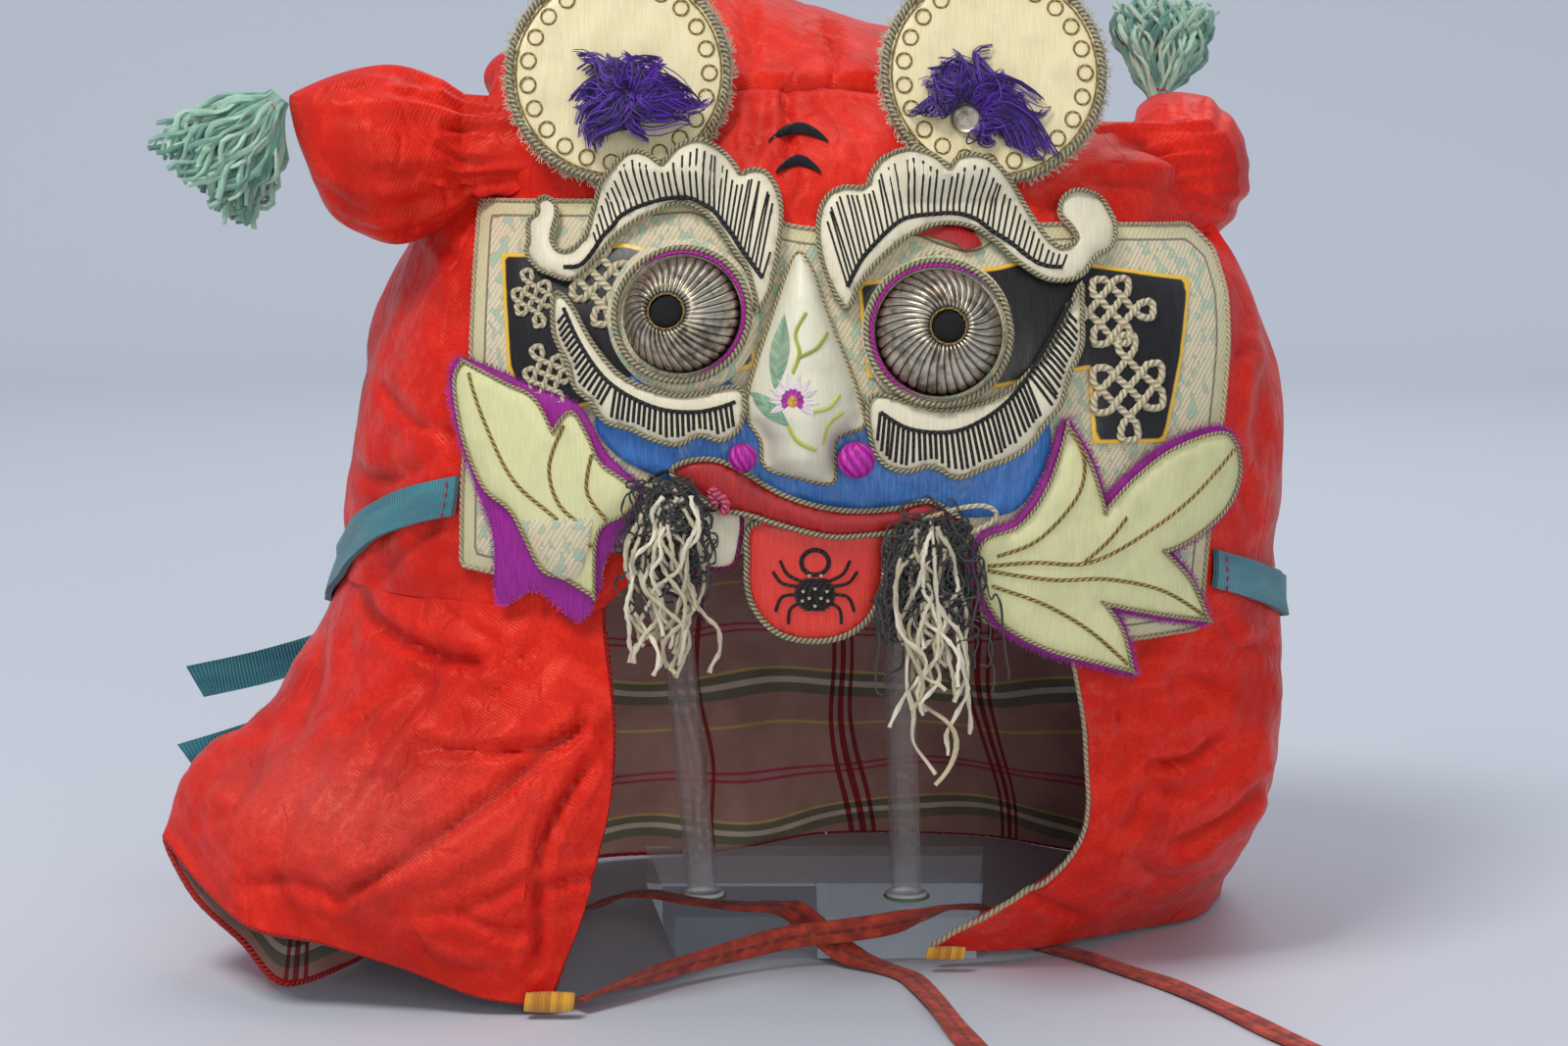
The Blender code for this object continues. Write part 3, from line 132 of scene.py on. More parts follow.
# Creases of the silk drawn in the picture: width, depth, then the places they run through
FLAP_CREASES = (
    (8, -1.7, (598, 722), (590, 742), (560, 758), (500, 768), (440, 762)),
    (9, -2.0, (592, 745), (545, 778), (500, 815), (450, 850), (400, 885), (345, 915)),
    (9, -1.4, (430, 760), (400, 800), (375, 840), (362, 872)), (8, -1.3, (345, 745), (380, 722), (420, 690)),
    (7, -1.0, (345, 790), (365, 785), (395, 800)),
    (8, -2.0, (600, 780), (575, 820), (555, 862), (548, 905), (552, 950), (545, 985)),
    (7, -1.4, (605, 895), (570, 900), (548, 915)), (8, -1.2, (535, 900), (490, 922), (440, 935)),
    (7, -1.1, (470, 935), (520, 950), (548, 945)),
    (10, -2.4, (370, 598), (380, 626), (405, 648), (450, 668), (500, 675)),
    (9, -1.5, (445, 610), (480, 640), (520, 668)), (8, -1.5, (535, 660), (520, 690), (490, 715)),
    (8, -1.3, (560, 590), (550, 640), (535, 665)), (9, -1.4, (370, 555), (400, 585), (450, 600), (500, 600)),
    (7, -1.0, (585, 600), (560, 625)), (9, -1.1, (345, 920), (300, 900), (250, 905)),
    (9, -1.2, (330, 640), (320, 700), (300, 750)), (10, -1.1, (265, 750), (245, 815), (205, 840)),
    (10, -1.2, (445, 680), (400, 745), (345, 820), (320, 860)), (9, -1.0, (480, 690), (470, 730), (440, 762)),
    (9, -1.0, (300, 830), (280, 880), (290, 930)), (8, -1.0, (420, 960), (450, 985), (500, 990)),
    (16, 1.2, (390, 845), (450, 800), (520, 745), (570, 700)), (16, 1.0, (400, 610), (460, 640), (540, 640)),
    (14, 1.0, (430, 900), (500, 860), (545, 810)),
    (7, -1.7, (1245, 755), (1215, 775), (1178, 782)), (7, -1.2, (1175, 782), (1178, 800), (1205, 815)),
    (8, -1.6, (1297, 800), (1265, 830), (1235, 848), (1200, 866)),
    (8, -1.1, (1140, 850), (1160, 830), (1170, 800)),
    (9, -1.1, (1160, 880), (1190, 900), (1230, 890)), (9, -1.2, (1130, 700), (1145, 740), (1150, 780)),
    (8, -1.0, (1105, 700), (1125, 760), (1120, 800)), (8, -1.0, (1250, 640), (1270, 660), (1290, 655)),
    (9, -1.4, (1190, 650), (1165, 665), (1160, 700), (1170, 720)),
    (9, -1.2, (1190, 700), (1215, 690), (1250, 700)),
    (8, -1.1, (1225, 600), (1240, 620), (1255, 640)), (8, -1.2, (1040, 910), (1080, 925), (1110, 940)),
    (14, 1.0, (1150, 760), (1200, 740), (1270, 720)), (14, 0.9, (1180, 850), (1240, 810), (1290, 770)),
)
HOOD_CREASES = (
    (8, -1.4, (455, 250), (470, 270), (475, 320), (480, 345)), (9, -1.4, (415, 245), (400, 290), (385, 330)),
    (9, -1.3, (380, 380), (410, 420), (430, 435), (465, 440)), (9, -1.6, (350, 450), (380, 490), (420, 480)),
    (8, -1.5, (455, 420), (462, 460), (470, 490)), (7, -1.2, (455, 445), (440, 470), (425, 480)),
    (9, -1.0, (380, 320), (375, 360), (365, 400)), (9, -1.5, (445, 520), (440, 540), (400, 575), (375, 600)),
    (6, -1.3, (495, 140), (520, 125), (545, 130)), (7, -1.4, (488, 165), (520, 165), (555, 180)),
    (7, -1.2, (485, 190), (530, 195), (600, 200)), (7, -1.3, (492, 120), (505, 95), (515, 75)),
    (8, -1.0, (560, 150), (570, 170), (565, 200)), (7, -0.9, (580, 165), (600, 185)),
    (5.5, -1.5, (740, 85), (800, 86), (850, 87), (905, 85)), (5.5, -1.2, (848, 15), (850, 50), (848, 85)),
    (6, -1.1, (803, 88), (803, 130), (808, 160)), (9, -1.3, (775, 105), (775, 140), (762, 165)),
    (7, -1.0, (748, 150), (752, 185), (745, 215)), (9, -1.0, (760, 15), (765, 50), (755, 80)),
    (9, -0.9, (840, 110), (870, 140), (880, 180)), (12, 0.8, (745, 70), (800, 68), (900, 68)),
    (7, -1.4, (1107, 190), (1140, 200), (1170, 207), (1195, 207)),
    (8, -1.2, (1120, 160), (1150, 172), (1175, 185)),
    (8, -1.2, (1100, 150), (1125, 135), (1150, 115)), (7, -1.2, (1178, 210), (1182, 235)),
    (8, -0.9, (1090, 205), (1070, 215), (1050, 235)), (7, -1.3, (1240, 350), (1255, 358), (1275, 360)),
    (8, -1.0, (1262, 300), (1265, 340), (1262, 380)), (8, -1.1, (1255, 460), (1270, 500), (1275, 530)),
    (8, -1.0, (1290, 380), (1285, 430), (1290, 480)),
)
KNOB_CREASES = (
    (5.5, -2.6, (1153, 104), (1156, 130), (1165, 152), (1178, 172)),
    (5.5, -1.7, (1190, 140), (1186, 160), (1178, 172)), (5.5, -1.4, (1209, 158), (1203, 175), (1190, 182)),
    (5.5, -1.5, (1185, 192), (1200, 188), (1215, 195), (1230, 212)),
    (5.5, -1.2, (1195, 207), (1210, 202), (1222, 217)), (5.5, -1.2, (1200, 192), (1213, 179), (1222, 168)),
    (6, -1.2, (1230, 215), (1243, 232), (1250, 250)), (7, -1.0, (1220, 140), (1235, 165), (1242, 195)),
    (6, -1.6, (445, 178), (470, 181), (505, 180)), (7, -1.5, (465, 187), (488, 213), (470, 228), (440, 236)),
    (5, -1.5, (499, 142), (478, 132), (455, 130)), (5, -1.5, (490, 170), (473, 165), (450, 152)),
    (5, -1.4, (485, 190), (462, 196), (435, 190)), (7, -1.0, (350, 95), (395, 78), (440, 85)),
    (7, -0.9, (330, 190), (360, 215), (400, 226)),
)

# Outlines on the face: across and up, as smooth loops unless a piece is said to be crisp
PANEL = (
    (-77, 180.5), (-60, 181), (-40, 181.5), (-28, 182.5), (-16, 178.5), (-5, 176), (4, 175), (14, 178),
    (22, 177.5), (28, 175), (33, 173.6), (37, 176), (57, 176), (85, 174.6), (91, 169), (93, 160), (92.5, 149),
    (90, 130), (87.5, 108), (86, 85), (69, 84), (49, 84), (36, 90), (34, 104), (-20, 106), (-47, 106),
    (-49, 97), (-66, 98.5), (-80, 100.5), (-79.5, 118), (-77.5, 146),
)


def cubic(a: Array, b: Array, c: Array, d: Array, f: Array) -> Array:
    """The place a share f from b to c, where the slope at each is half the step between its neighbours."""
    return 0.5 * (2 * b + (c - a) * f + (2 * a - 5 * b + 4 * c - d) * f**2 + (3 * b - a - 3 * c + d) * f**3)


def spline(rows: Sequence, at: Array, closed: bool = False) -> Array:
    """Points on a smooth curve that passes through rows.

    Args:
        rows: the points to pass through.
        at: places counted in rows.
        closed: whether the curve returns to its first row.
    Returns:
        One point for each place.
    """
    rows = np.asarray(rows, float)
    at = np.atleast_1d(np.asarray(at, float))
    count = len(rows)
    first = np.floor(at).astype(int)
    if closed:
        near = [rows[(first + k) % count] for k in (-1, 0, 1, 2)]
    else:
        first = np.clip(first, 0, count - 2)
        near = [rows[np.clip(first + k, 0, count - 1)] for k in (-1, 0, 1, 2)]
    return cubic(*near, (at - first)[:, None])


def run(rows: Sequence, count: int) -> Array:
    """So many points on the smooth curve from the first row to the last."""
    return spline(rows, np.linspace(0, len(rows) - 1, count))


HOOD_FINE = run(HOOD, 241)


def lengths(path: Array) -> Array:
    """Distance along a path at each of its points."""
    return np.concatenate([[0], np.cumsum(np.linalg.norm(np.diff(path, axis=0), axis=1))])


def joined(*parts: Array) -> Array:
    """Arrays brought to one shape and put side by side along a last axis."""
    return np.stack(np.broadcast_arrays(*parts), -1)


def turns(count: int) -> Array:
    """So many equal steps of one full turn."""
    return np.arange(count) / count * FULL


def circle(count: int) -> Array:
    """Points of a circle of radius one, across and up."""
    return joined(np.cos(turns(count)), np.sin(turns(count)))


def unit(vectors: Array) -> Array:
    """Vectors scaled to a length of one."""
    return vectors / np.maximum(np.linalg.norm(vectors, axis=-1, keepdims=True), 1e-9)


def wheel(turn: Array, across: Array, up: Array) -> Array:
    """Directions at turns, in the plane of two others."""
    return np.cos(turn)[..., None] * across + np.sin(turn)[..., None] * up


def even(path: Array, step: float, closed: bool = False) -> Array:
    """Points spaced evenly along a path.

    Args:
        path: the path's points.
        step: wanted spacing in millimetres.
        closed: whether the path returns to its start.
    Returns:
        The new points; a closed path doesn't repeat its first.
    """
    path = np.asarray(path, float)
    path = np.vstack([path, path[:1]]) if closed else path
    along = lengths(path)
    at = np.linspace(0, along[-1], max(int(round(along[-1] / step)), 3) + 1)
    fine = np.stack([np.interp(at, along, path[:, k]) for k in range(path.shape[1])], 1)
    return fine[:-1] if closed else fine


def loop(outline: Sequence, step: float = 1.2) -> Array:
    """An outline's smooth closed loop with even spacing."""
    return even(spline(outline, np.arange(len(outline) * 16) / 16, closed=True), step, closed=True)


def curve(points: Sequence, step: float = 1.0) -> Array:
    """A smooth open line through points with even spacing."""
    return even(run(points, len(points) * 16), step)


def section(z: Array) -> tuple:
    """Middle across, half width, middle depth, half depth and squareness of the hood at a height."""
    left, right, front, back, power = (np.interp(z, HOOD_FINE[:, 0], HOOD_FINE[:, k]) for k in range(1, 6))
    return (left + right) / 2, (right - left) / 2, (front + back) / 2, (back - front) / 2, power


def hood_skin(turn: Array, z: Array) -> Array:
    """The hood's outer skin: a rounded box in plan, as a power of the turn's sine and cosine.

    Args:
        turn: degrees, 0 at the front and falling through -90 on the left.
        z: height.
    Returns:
        Points, one for each pair.
    """
    turn, z = np.broadcast_arrays(np.asarray(turn, float), np.asarray(z, float))
    mid_x, half_x, mid_y, half_y, power = section(z)
    grow = np.zeros(turn.shape)
    for at, height, spread, tall, depth in SWELLS:
        away = (turn - at + 180) % 360 - 180
        grow = grow + depth * np.exp(-((away / spread) ** 2) - ((z - height) / tall) ** 2)
    sin, cos = np.sin(np.radians(turn)), np.cos(np.radians(turn))
    x = mid_x + (half_x + grow) * np.sign(sin) * np.abs(sin) ** (2 / power)
    y = mid_y - (half_y + grow) * np.sign(cos) * np.abs(cos) ** (2 / power)
    return joined(x, y, z)


def face_depth(x: Array, z: Array) -> Array:
    """Depth of the hood's plain front at a place across and up."""
    mid_x, half_x, mid_y, half_y, power = section(z)
    inside = np.clip(1 - np.abs((x - mid_x) / half_x) ** power, 1e-6, None)
    return mid_y - half_y * inside ** (1 / power)


def face_point(x: Array, z: Array, height: Array) -> Array:
    """A point that stands a height above the hood's front, along the front's own normal."""
    step = 0.5
    x, z, height = np.broadcast_arrays(np.asarray(x, float), np.asarray(z, float), height)
    along_x = (face_depth(x + step, z) - face_depth(x - step, z)) / (2 * step)
    along_z = (face_depth(x, z + step) - face_depth(x, z - step)) / (2 * step)
    normal = unit(joined(along_x, -1.0, along_z))
    return joined(x, face_depth(x, z), z) + normal * height[..., None]


def seen(points: Sequence, height: Callable) -> Array:
    """Places on the face of points drawn in the camera's picture, 1600 wide and 1067 high.

    A place starts where the line of sight meets a plane, and is moved until its point at the wanted height
    lies on that line.

    Args:
        points: places in the picture, from its top left.
        height: gives the height above the face from across and up.
    Returns:
        Places across and up.
    """
    over, down = (np.asarray(points, float) - CENTRE).T / FOCUS
    sin, cos = math.sin(PITCH), math.cos(PITCH)
    ray = joined(over, sin - down * cos, -cos - down * sin)
    at = np.array(EYE) + ray * ((FACE_Y - EYE[1]) / ray[:, 1:2])
    for _ in range(12):
        now = face_point(at[:, 0], at[:, 2], height(at[:, 0], at[:, 2]))
        at = at + np.array(EYE) + ray * ((now[:, 1:2] - EYE[1]) / ray[:, 1:2]) - now
    return at[:, (0, 2)]


def drawn_depth(points: Array, normal: Array, table: Sequence) -> Array:
    """Depth of creases drawn in the camera's picture, where the surface faces the camera.

    Each crease is a bell across its run, with a low ridge on both sides.

    Args:
        points: places in space.
        normal: the surface's directions there.
        table: widths, depths and runs in the picture.
    Returns:
        Depths.
    """
    ray = points - np.array(EYE)
    ahead = ray[..., 1] * math.sin(PITCH) - ray[..., 2] * math.cos(PITCH)
    down = -ray[..., 1] * math.cos(PITCH) - ray[..., 2] * math.sin(PITCH)
    spot = joined(ray[..., 0], down) / ahead[..., None] * FOCUS + CENTRE
    total = np.zeros(spot.shape[:-1])
    for wide, depth, *route in table:
        line = curve(route, 12.0)
        gap = np.min([segment_gap(spot, a, b) for a, b in zip(line[:-1], line[1:])], axis=0)
        ends = np.minimum(np.linalg.norm(spot - line[0], axis=-1), np.linalg.norm(spot - line[-1], axis=-1))
        total += depth * np.clip(ends / wide / 2 + 0.3, 0, 1) * (
            np.exp(-((gap / wide / 0.8) ** 2)) - 0.35 * np.exp(-(((gap / wide - 1.8) / 0.9) ** 2)))
    return total * np.clip(-(normal * unit(ray)).sum(-1) * 4, 0, 1)


def cape_skin(place: Array, drop: Array) -> Array:
    """The cape's outer skin with its large folds.

    A smooth curve falls from the hood through two points of each column to the hem.

    Args:
        place: place along the cape, counted in its columns.
        drop: 0 at the neck to 1 at the hem.
    Returns:
        Points, one for each pair.
    """
    place, drop = np.broadcast_arrays(np.asarray(place, float), np.asarray(drop, float))
    row = spline(CAPE, place.ravel())
    turn = row[:, 0]
    knots = [hood_skin(turn, NECK_Z + 24.0), hood_skin(turn, float(NECK_Z))]
    knots += [row[:, 1 + 3 * k:4 + 3 * k] for k in range(3)]
    knots.append(2 * knots[-1] - knots[-2])
    at = drop.ravel() * 3
    first = np.clip(np.floor(at).astype(int), 0, 2)
    stack = np.stack(knots)
    each = np.arange(len(at))
    points = cubic(*(stack[first + k, each] for k in range(4)), (at - first)[:, None])
    return points.reshape(*place.shape, 3)


def bump_field(table: Sequence, place: Array, share: Array) -> Array:
    """A sum of soft round bumps, each given by its two places, its two spreads and its depth."""
    total = np.zeros(np.broadcast(place, share).shape)
    for at, where, wide, tall, depth in table:
        total = total + depth * np.exp(-(((place - at) / wide) ** 2) - ((share - where) / tall) ** 2)
    return total


def grid_normals(points: Array) -> Array:
    """Unit normals of a grid whose rows rise and whose columns turn left round the back."""
    return unit(np.cross(np.gradient(points, axis=0), np.gradient(points, axis=1)))


def segment_gap(points: Array, start: Array, end: Array) -> Array:
    """Distance from points to a straight segment; the points' last axis holds their places."""
    span = end - start
    share = np.clip(((points - start) @ span) / max(span @ span, 1e-9), 0, 1)
    return np.linalg.norm(points - start - share[..., None] * span, axis=-1)


def creased(points: Array, creases: Sequence) -> Array:
    """Depth of creases at points: each a segment with a width and a depth, as a bell across it."""
    total = np.zeros(points.shape[:-1])
    for start, end, wide, depth in creases:
        gap = segment_gap(points, np.array(start, float), np.array(end, float))
        total += depth * np.exp(-((gap / wide) ** 2))
    return total


def rumple(points: Array, size: float, seed: int) -> Array:
    """A soft uneven field from -1 to 1: eight sine waves in fixed directions, summed."""
    dice = np.random.default_rng(seed)
    total = np.zeros(points.shape[:-1])
    for _ in range(8):
        way = unit(dice.normal(size=3)) * FULL / (size * dice.uniform(0.7, 1.6))
        total += np.sin(points @ way + dice.uniform(0, FULL))
    return total / 4


def folds(points: Array, way: tuple, pitch: float, seed: int) -> Array:
    """Long soft folds across a direction: a sine whose phase and strength wander."""
    phase = points @ (unit(np.array(way)) * FULL / pitch) + 2.2 * rumple(points, 44.0, seed)
    return np.sin(phase) * (0.5 + 0.5 * rumple(points, 38.0, seed + 1))


def crumple(points: Array, size: float, seed: int) -> Array:
    """A field of soft mounds between sharp valleys, from -1 to 1: the size of a rumple, less its mean."""
    return 2.5 * np.abs(rumple(points, size, seed)) - 1


def gap_to_loop(outline: Array, x: Array, z: Array) -> tuple[Array, Array, Array]:
    """Distance from places to a closed outline, whether they are inside, and the place along it.

    Args:
        outline: the loop's points, across and up.
        x: places across.
        z: places up.
    Returns:
        Distance, inside or not, and distance along the loop to the nearest point.
    """
    nxt = np.roll(outline, -1, 0)
    span = nxt - outline
    px, pz = x[:, None], z[:, None]
    crosses = (outline[:, 1] > pz) != (nxt[:, 1] > pz)
    rise = np.where(span[:, 1] == 0, 1e-9, span[:, 1])
    cut = outline[:, 0] + (pz - outline[:, 1]) * span[:, 0] / rise
    inside = (crosses & (cut > px)).sum(1) % 2 == 1
    long = np.maximum((span**2).sum(1), 1e-9)
    share = np.clip(((px - outline[:, 0]) * span[:, 0] + (pz - outline[:, 1]) * span[:, 1]) / long, 0, 1)
    away = np.hypot(outline[:, 0] + span[:, 0] * share - px, outline[:, 1] + span[:, 1] * share - pz)
    near = away.argmin(1)
    along = np.concatenate([[0], np.cumsum(np.sqrt(long))])
    each = np.arange(len(x))
    return away[each, near], inside, along[near] + share[each, near] * np.sqrt(long)[near]


class Graph:
    """Builds the nodes of one material."""

    def __init__(self, name: str) -> None:
        """Start a material with its Principled shader."""
        self.material = bpy.data.materials.new(name)
        self.material.use_nodes = True
        self.nodes = self.material.node_tree.nodes
        self.links = self.material.node_tree.links
        self.shader = self.nodes["Principled BSDF"]
        self.normal = None

    def put(self, socket: Socket, value: object) -> None:
        """Link a socket to another, or set its own value."""
        if isinstance(value, Socket):
            self.links.new(value, socket)
        elif isinstance(value, tuple) and len(value) == 3 and socket.type == "RGBA":
            socket.default_value = (*value, 1)
        else:
            socket.default_value = value

    def shade(self, **sockets: object) -> None:
        """Set or link sockets of the shader, named with low lines for spaces."""
        for name, value in sockets.items():
            self.put(self.shader.inputs[name.replace("_", " ")], value)

    def add(self, kind: str, inputs: dict, **settings: object) -> bpy.types.Node:
        """Add a node with its inputs and settings."""
        node = self.nodes.new("ShaderNode" + kind)
        for name, value in settings.items():
            setattr(node, name, value)
        for name, value in inputs.items():
            self.put(node.inputs[name], value)
        return node

    def lay(self, across: float = 1.0, along: float = 1.0, turn: float = 0.0) -> Socket:
        """The piece's own cloth map in millimetres, stretched and turned."""
        mapped = self.add("UVMap", {}, uv_map="lay").outputs[0]
        return self.add("Mapping", {"Vector": mapped, "Scale": (across, along, 1.0),
                                    "Rotation": (0.0, 0.0, math.radians(turn))}).outputs[0]

    def spot(self, stretch: tuple = (1.0, 1.0, 1.0)) -> Socket:
        """The object's own places in millimetres, stretched."""
        coords = self.add("TexCoord", {}).outputs["Object"]
        return self.add("Mapping", {"Vector": coords, "Scale": tuple(1000 * s for s in stretch)}).outputs[0]

    def attribute(self, name: str) -> Socket:
        """A number kept on the piece's points."""
        return self.add("Attribute", {}, attribute_name=name).outputs["Fac"]

    def noise(self, vector: Socket, size: float, detail: float = 2.0) -> Socket:
        """Smooth noise with features of a size in millimetres."""
        return self.add("TexNoise", {"Vector": vector, "Scale": 1 / size, "Detail": detail}).outputs[0]

    def calc(self, kind: str, *values: object) -> Socket:
        """One step of arithmetic."""
        node = self.nodes.new("ShaderNodeMath")
        node.operation = kind
        for socket, value in zip(node.inputs, values):
            self.put(socket, value)
        return node.outputs[0]

    def parts(self, vector: Socket) -> tuple:
        """The three numbers of a vector."""
        return tuple(self.add("SeparateXYZ", {"Vector": vector}).outputs)

    def ripple(self, value: Socket, pitch: float) -> Socket:
        """The cosine of a distance over a pitch, from -1 to 1."""
        return self.calc("COSINE", self.calc("MULTIPLY", value, FULL / pitch))

    def steps(self, value: Socket, low: float, high: float) -> Socket:
        """A value carried from low and high to 0 and 1, softened at both ends."""
        node = self.add("MapRange", {"Value": value, "From Min": low, "From Max": high})
        node.interpolation_type = "SMOOTHSTEP"
        return node.outputs[0]

    def blend(self, share: object, one: object, two: object, mode: str = "MIX") -> Socket:
        """A colour between two others."""
        node = self.nodes.new("ShaderNodeMix")
        node.data_type = "RGBA"
        node.blend_type = mode
        for place, value in ((0, share), (6, one), (7, two)):
            self.put(node.inputs[place], value)
        return node.outputs[2]

    def cover(self, base: object, mask: Socket, share: float, colour: object) -> Socket:
        """A base with another colour laid over it where a mask is 1, by a share."""
        return self.blend(self.calc("MULTIPLY", mask, share), base, colour)

    def bump(self, height: Socket, deep: float, strength: float = 1.0) -> None:
        """Raise the surface by a height of so many millimetres, on top of what is there."""
        inputs = {"Height": height, "Distance": deep * MM, "Strength": strength}
        if self.normal is not None:
            inputs["Normal"] = self.normal
        self.normal = self.add("Bump", inputs).outputs[0]
        self.put(self.shader.inputs["Normal"], self.normal)

    def weave(self, pitch: float, deep: float) -> Socket:
        """Raise crossing threads: the product of a ripple along and a ripple across."""
        along, across, _ = self.parts(self.lay())
        threads = self.calc("MULTIPLY", self.ripple(along, pitch), self.ripple(across, pitch))
        self.bump(threads, deep, 0.6)
        return threads


@dataclass(frozen=True)
class Finish:
    """A finish, made into a material once; slot is the record's name for it."""

    name: str
    slot: str
    colour: Colour
    second: Colour = (0.0, 0.0, 0.0)
    rough: float = 0.5

    def material(self) -> bpy.types.Material:
        """The finish's material."""
        made = bpy.data.materials.get(self.name)
        if made is None:
            graph = Graph(self.name)
            graph.shade(Roughness=self.rough)
            self.dress(graph)
            made = graph.material
        return made

    def dress(self, g: Graph) -> None:
        """Give the shader its pattern."""
        g.shade(Base_Color=self.colour)


@dataclass(frozen=True)
class DamaskSilk(Finish):
    """Silk with woven flowers that catch the light, worn and creased."""

    worn: Colour = (0.5, 0.1, 0.1)

    def dress(self, g: Graph) -> None:
        """Flowers are islands of noise; wear is broad noise over finer noise; the twill runs slanting."""
        flower = g.steps(g.noise(g.lay(1.0, 0.8), 7.0, 2.5), 0.47, 0.56)
        base, dark = g.blend(flower, self.colour, self.second), dimmed(self.colour, 0.6)
        base = g.cover(base, g.steps(g.noise(g.spot(), 24.0, 6.0), 0.54, 0.36), 0.6, dark)
        # Painted shade: the silk is darkened along its creases, by their depth.
        base = g.cover(base, g.steps(g.attribute("soil"), 0.4, 2.0), 0.7, dimmed(self.colour, 0.4))
        patches = g.calc("MULTIPLY", g.noise(g.spot(), 34.0, 3.0), g.noise(g.spot(), 3.0, 3.0))
        base = g.cover(base, g.steps(patches, 0.3, 0.44), 0.4, self.worn)
        base = g.cover(base, g.attribute("fade"), 0.4, self.worn)
        slant = g.calc("MULTIPLY", g.noise(g.lay(), 3.0, 2.0), 1.5)
        twill = g.ripple(g.calc("ADD", g.parts(g.lay(1.0, 1.0, 28.0))[0], slant), 0.8)
        base = g.cover(base, g.steps(twill, -0.2, -1.0), 0.16, dark)
        grain = g.noise(g.spot(), 0.9, 3.0)
        base = g.cover(base, g.steps(grain, 0.62, 0.36), 0.32, dark)
        rough = g.calc("ADD", g.calc("MULTIPLY", flower, -0.06), self.rough)
        g.shade(Base_Color=base, Sheen_Weight=0.03, Sheen_Roughness=0.4, Specular_IOR_Level=0.4,
                Specular_Tint=(1.0, 0.42, 0.3, 1.0), Roughness=rough)
        g.bump(g.noise(g.spot((1.0, 1.0, 0.55)), 11.0, 3.0), 1.5, 0.7)
        ridge = g.calc("ABSOLUTE", g.calc("SUBTRACT", g.noise(g.spot((1.0, 1.0, 0.45)), 15.0, 2.5), 0.5))
        g.bump(g.steps(ridge, 0.0, 0.05), 0.3, 0.8)
        g.bump(twill, 0.035, 0.7)
        g.bump(grain, 0.07, 0.6)


@dataclass(frozen=True)
class PlaidLining(Finish):
    """Cotton lining woven in checks: stripes along and across, each a row of steps."""

    pitch: float = 31.0

    def stripes(self, g: Graph, value: Socket, stops: tuple) -> Socket:
        """Colour of one direction's stripes: place within the repeat picks a step."""
        share = g.calc("FRACT", g.calc("MULTIPLY", value, 1 / self.pitch))
        ramp = g.nodes.new("ShaderNodeValToRGB")
        ramp.color_ramp.interpolation = "CONSTANT"
        g.put(ramp.inputs[0], share)
        elements = ramp.color_ramp.elements
        while len(elements) < len(stops):
            elements.new(0.5)
        for element, (place, colour) in zip(elements, stops):
            element.position = place
            element.color = (*colour, 1)
        return ramp.outputs[0]

    def dress(self, g: Graph) -> None:
        """Upright red stripes multiply level bands of green, cream and yellow; noise ages them."""
        along, across, _ = g.parts(g.lay())
        bend = g.calc("MULTIPLY", g.noise(g.lay(), 70.0, 1.0), 22.0)
        plain, white, red = self.colour, (1.0, 1.0, 1.0), rgb(206, 64, 100)
        yellow, green = rgb(226, 200, 128), rgb(134, 130, 108)
        columns = self.stripes(g, g.calc("ADD", across, bend), (
            (0.0, white), (0.3, red), (0.33, white), (0.36, red), (0.4, white), (0.43, red), (0.46, white)))
        rows = self.stripes(g, g.calc("ADD", along, bend), (
            (0.0, plain), (0.1, yellow), (0.12, plain), (0.3, green), (0.36, self.second), (0.4, green),
            (0.45, yellow), (0.47, plain), (0.72, red), (0.74, plain), (0.77, red), (0.79, plain)))
        checks = g.blend(1.0, rows, columns, "MULTIPLY")
        age = g.steps(g.noise(g.spot(), 16.0, 4.0), 0.3, 0.8)
        aged = g.blend(age, checks, rgb(150, 120, 110), "MULTIPLY")
        g.shade(Base_Color=g.blend(0.45, checks, aged), Sheen_Weight=0.15)
        g.bump(g.noise(g.spot(), 10.0, 4.0), 1.0, 0.7)
        g.weave(0.7, 0.08)


@dataclass(frozen=True)
class Satin(Finish):
    """Smooth embroidered or plain satin: fine threads one way, with an edge of another colour."""

    thread: float = 0.6
    turn: float = 0.0
    edge: Optional[Colour] = None
    edge_width: float = 1.2
    stain: float = 0.35
    slack: float = 0.0

    def dress(self, g: Graph) -> None:
        """Threads are noise stretched one way; stains are broad noise; the edge follows its distance."""
        threads = g.noise(g.lay(2.4 / self.thread, 0.16, self.turn), 1.0, 2.0)
        base = g.blend(g.steps(threads, 0.3, 0.75), self.second, self.colour)
        stains = g.steps(g.noise(g.spot(), 8.0, 4.0), 0.45, 0.75)
        base = g.cover(base, stains, self.stain, dimmed(self.colour, 0.62))
        if self.edge is not None:
            rim = g.steps(g.attribute("edge"), self.edge_width + 0.25, self.edge_width - 0.25)
            base = g.blend(rim, base, self.edge)
        g.shade(Base_Color=base, Sheen_Weight=0.2, Sheen_Roughness=0.35)
        g.bump(threads, 0.07, 0.6)
        g.bump(g.noise(g.lay(1.0, 0.5), 6.0, 3.0), 0.5 + self.slack, 0.6)


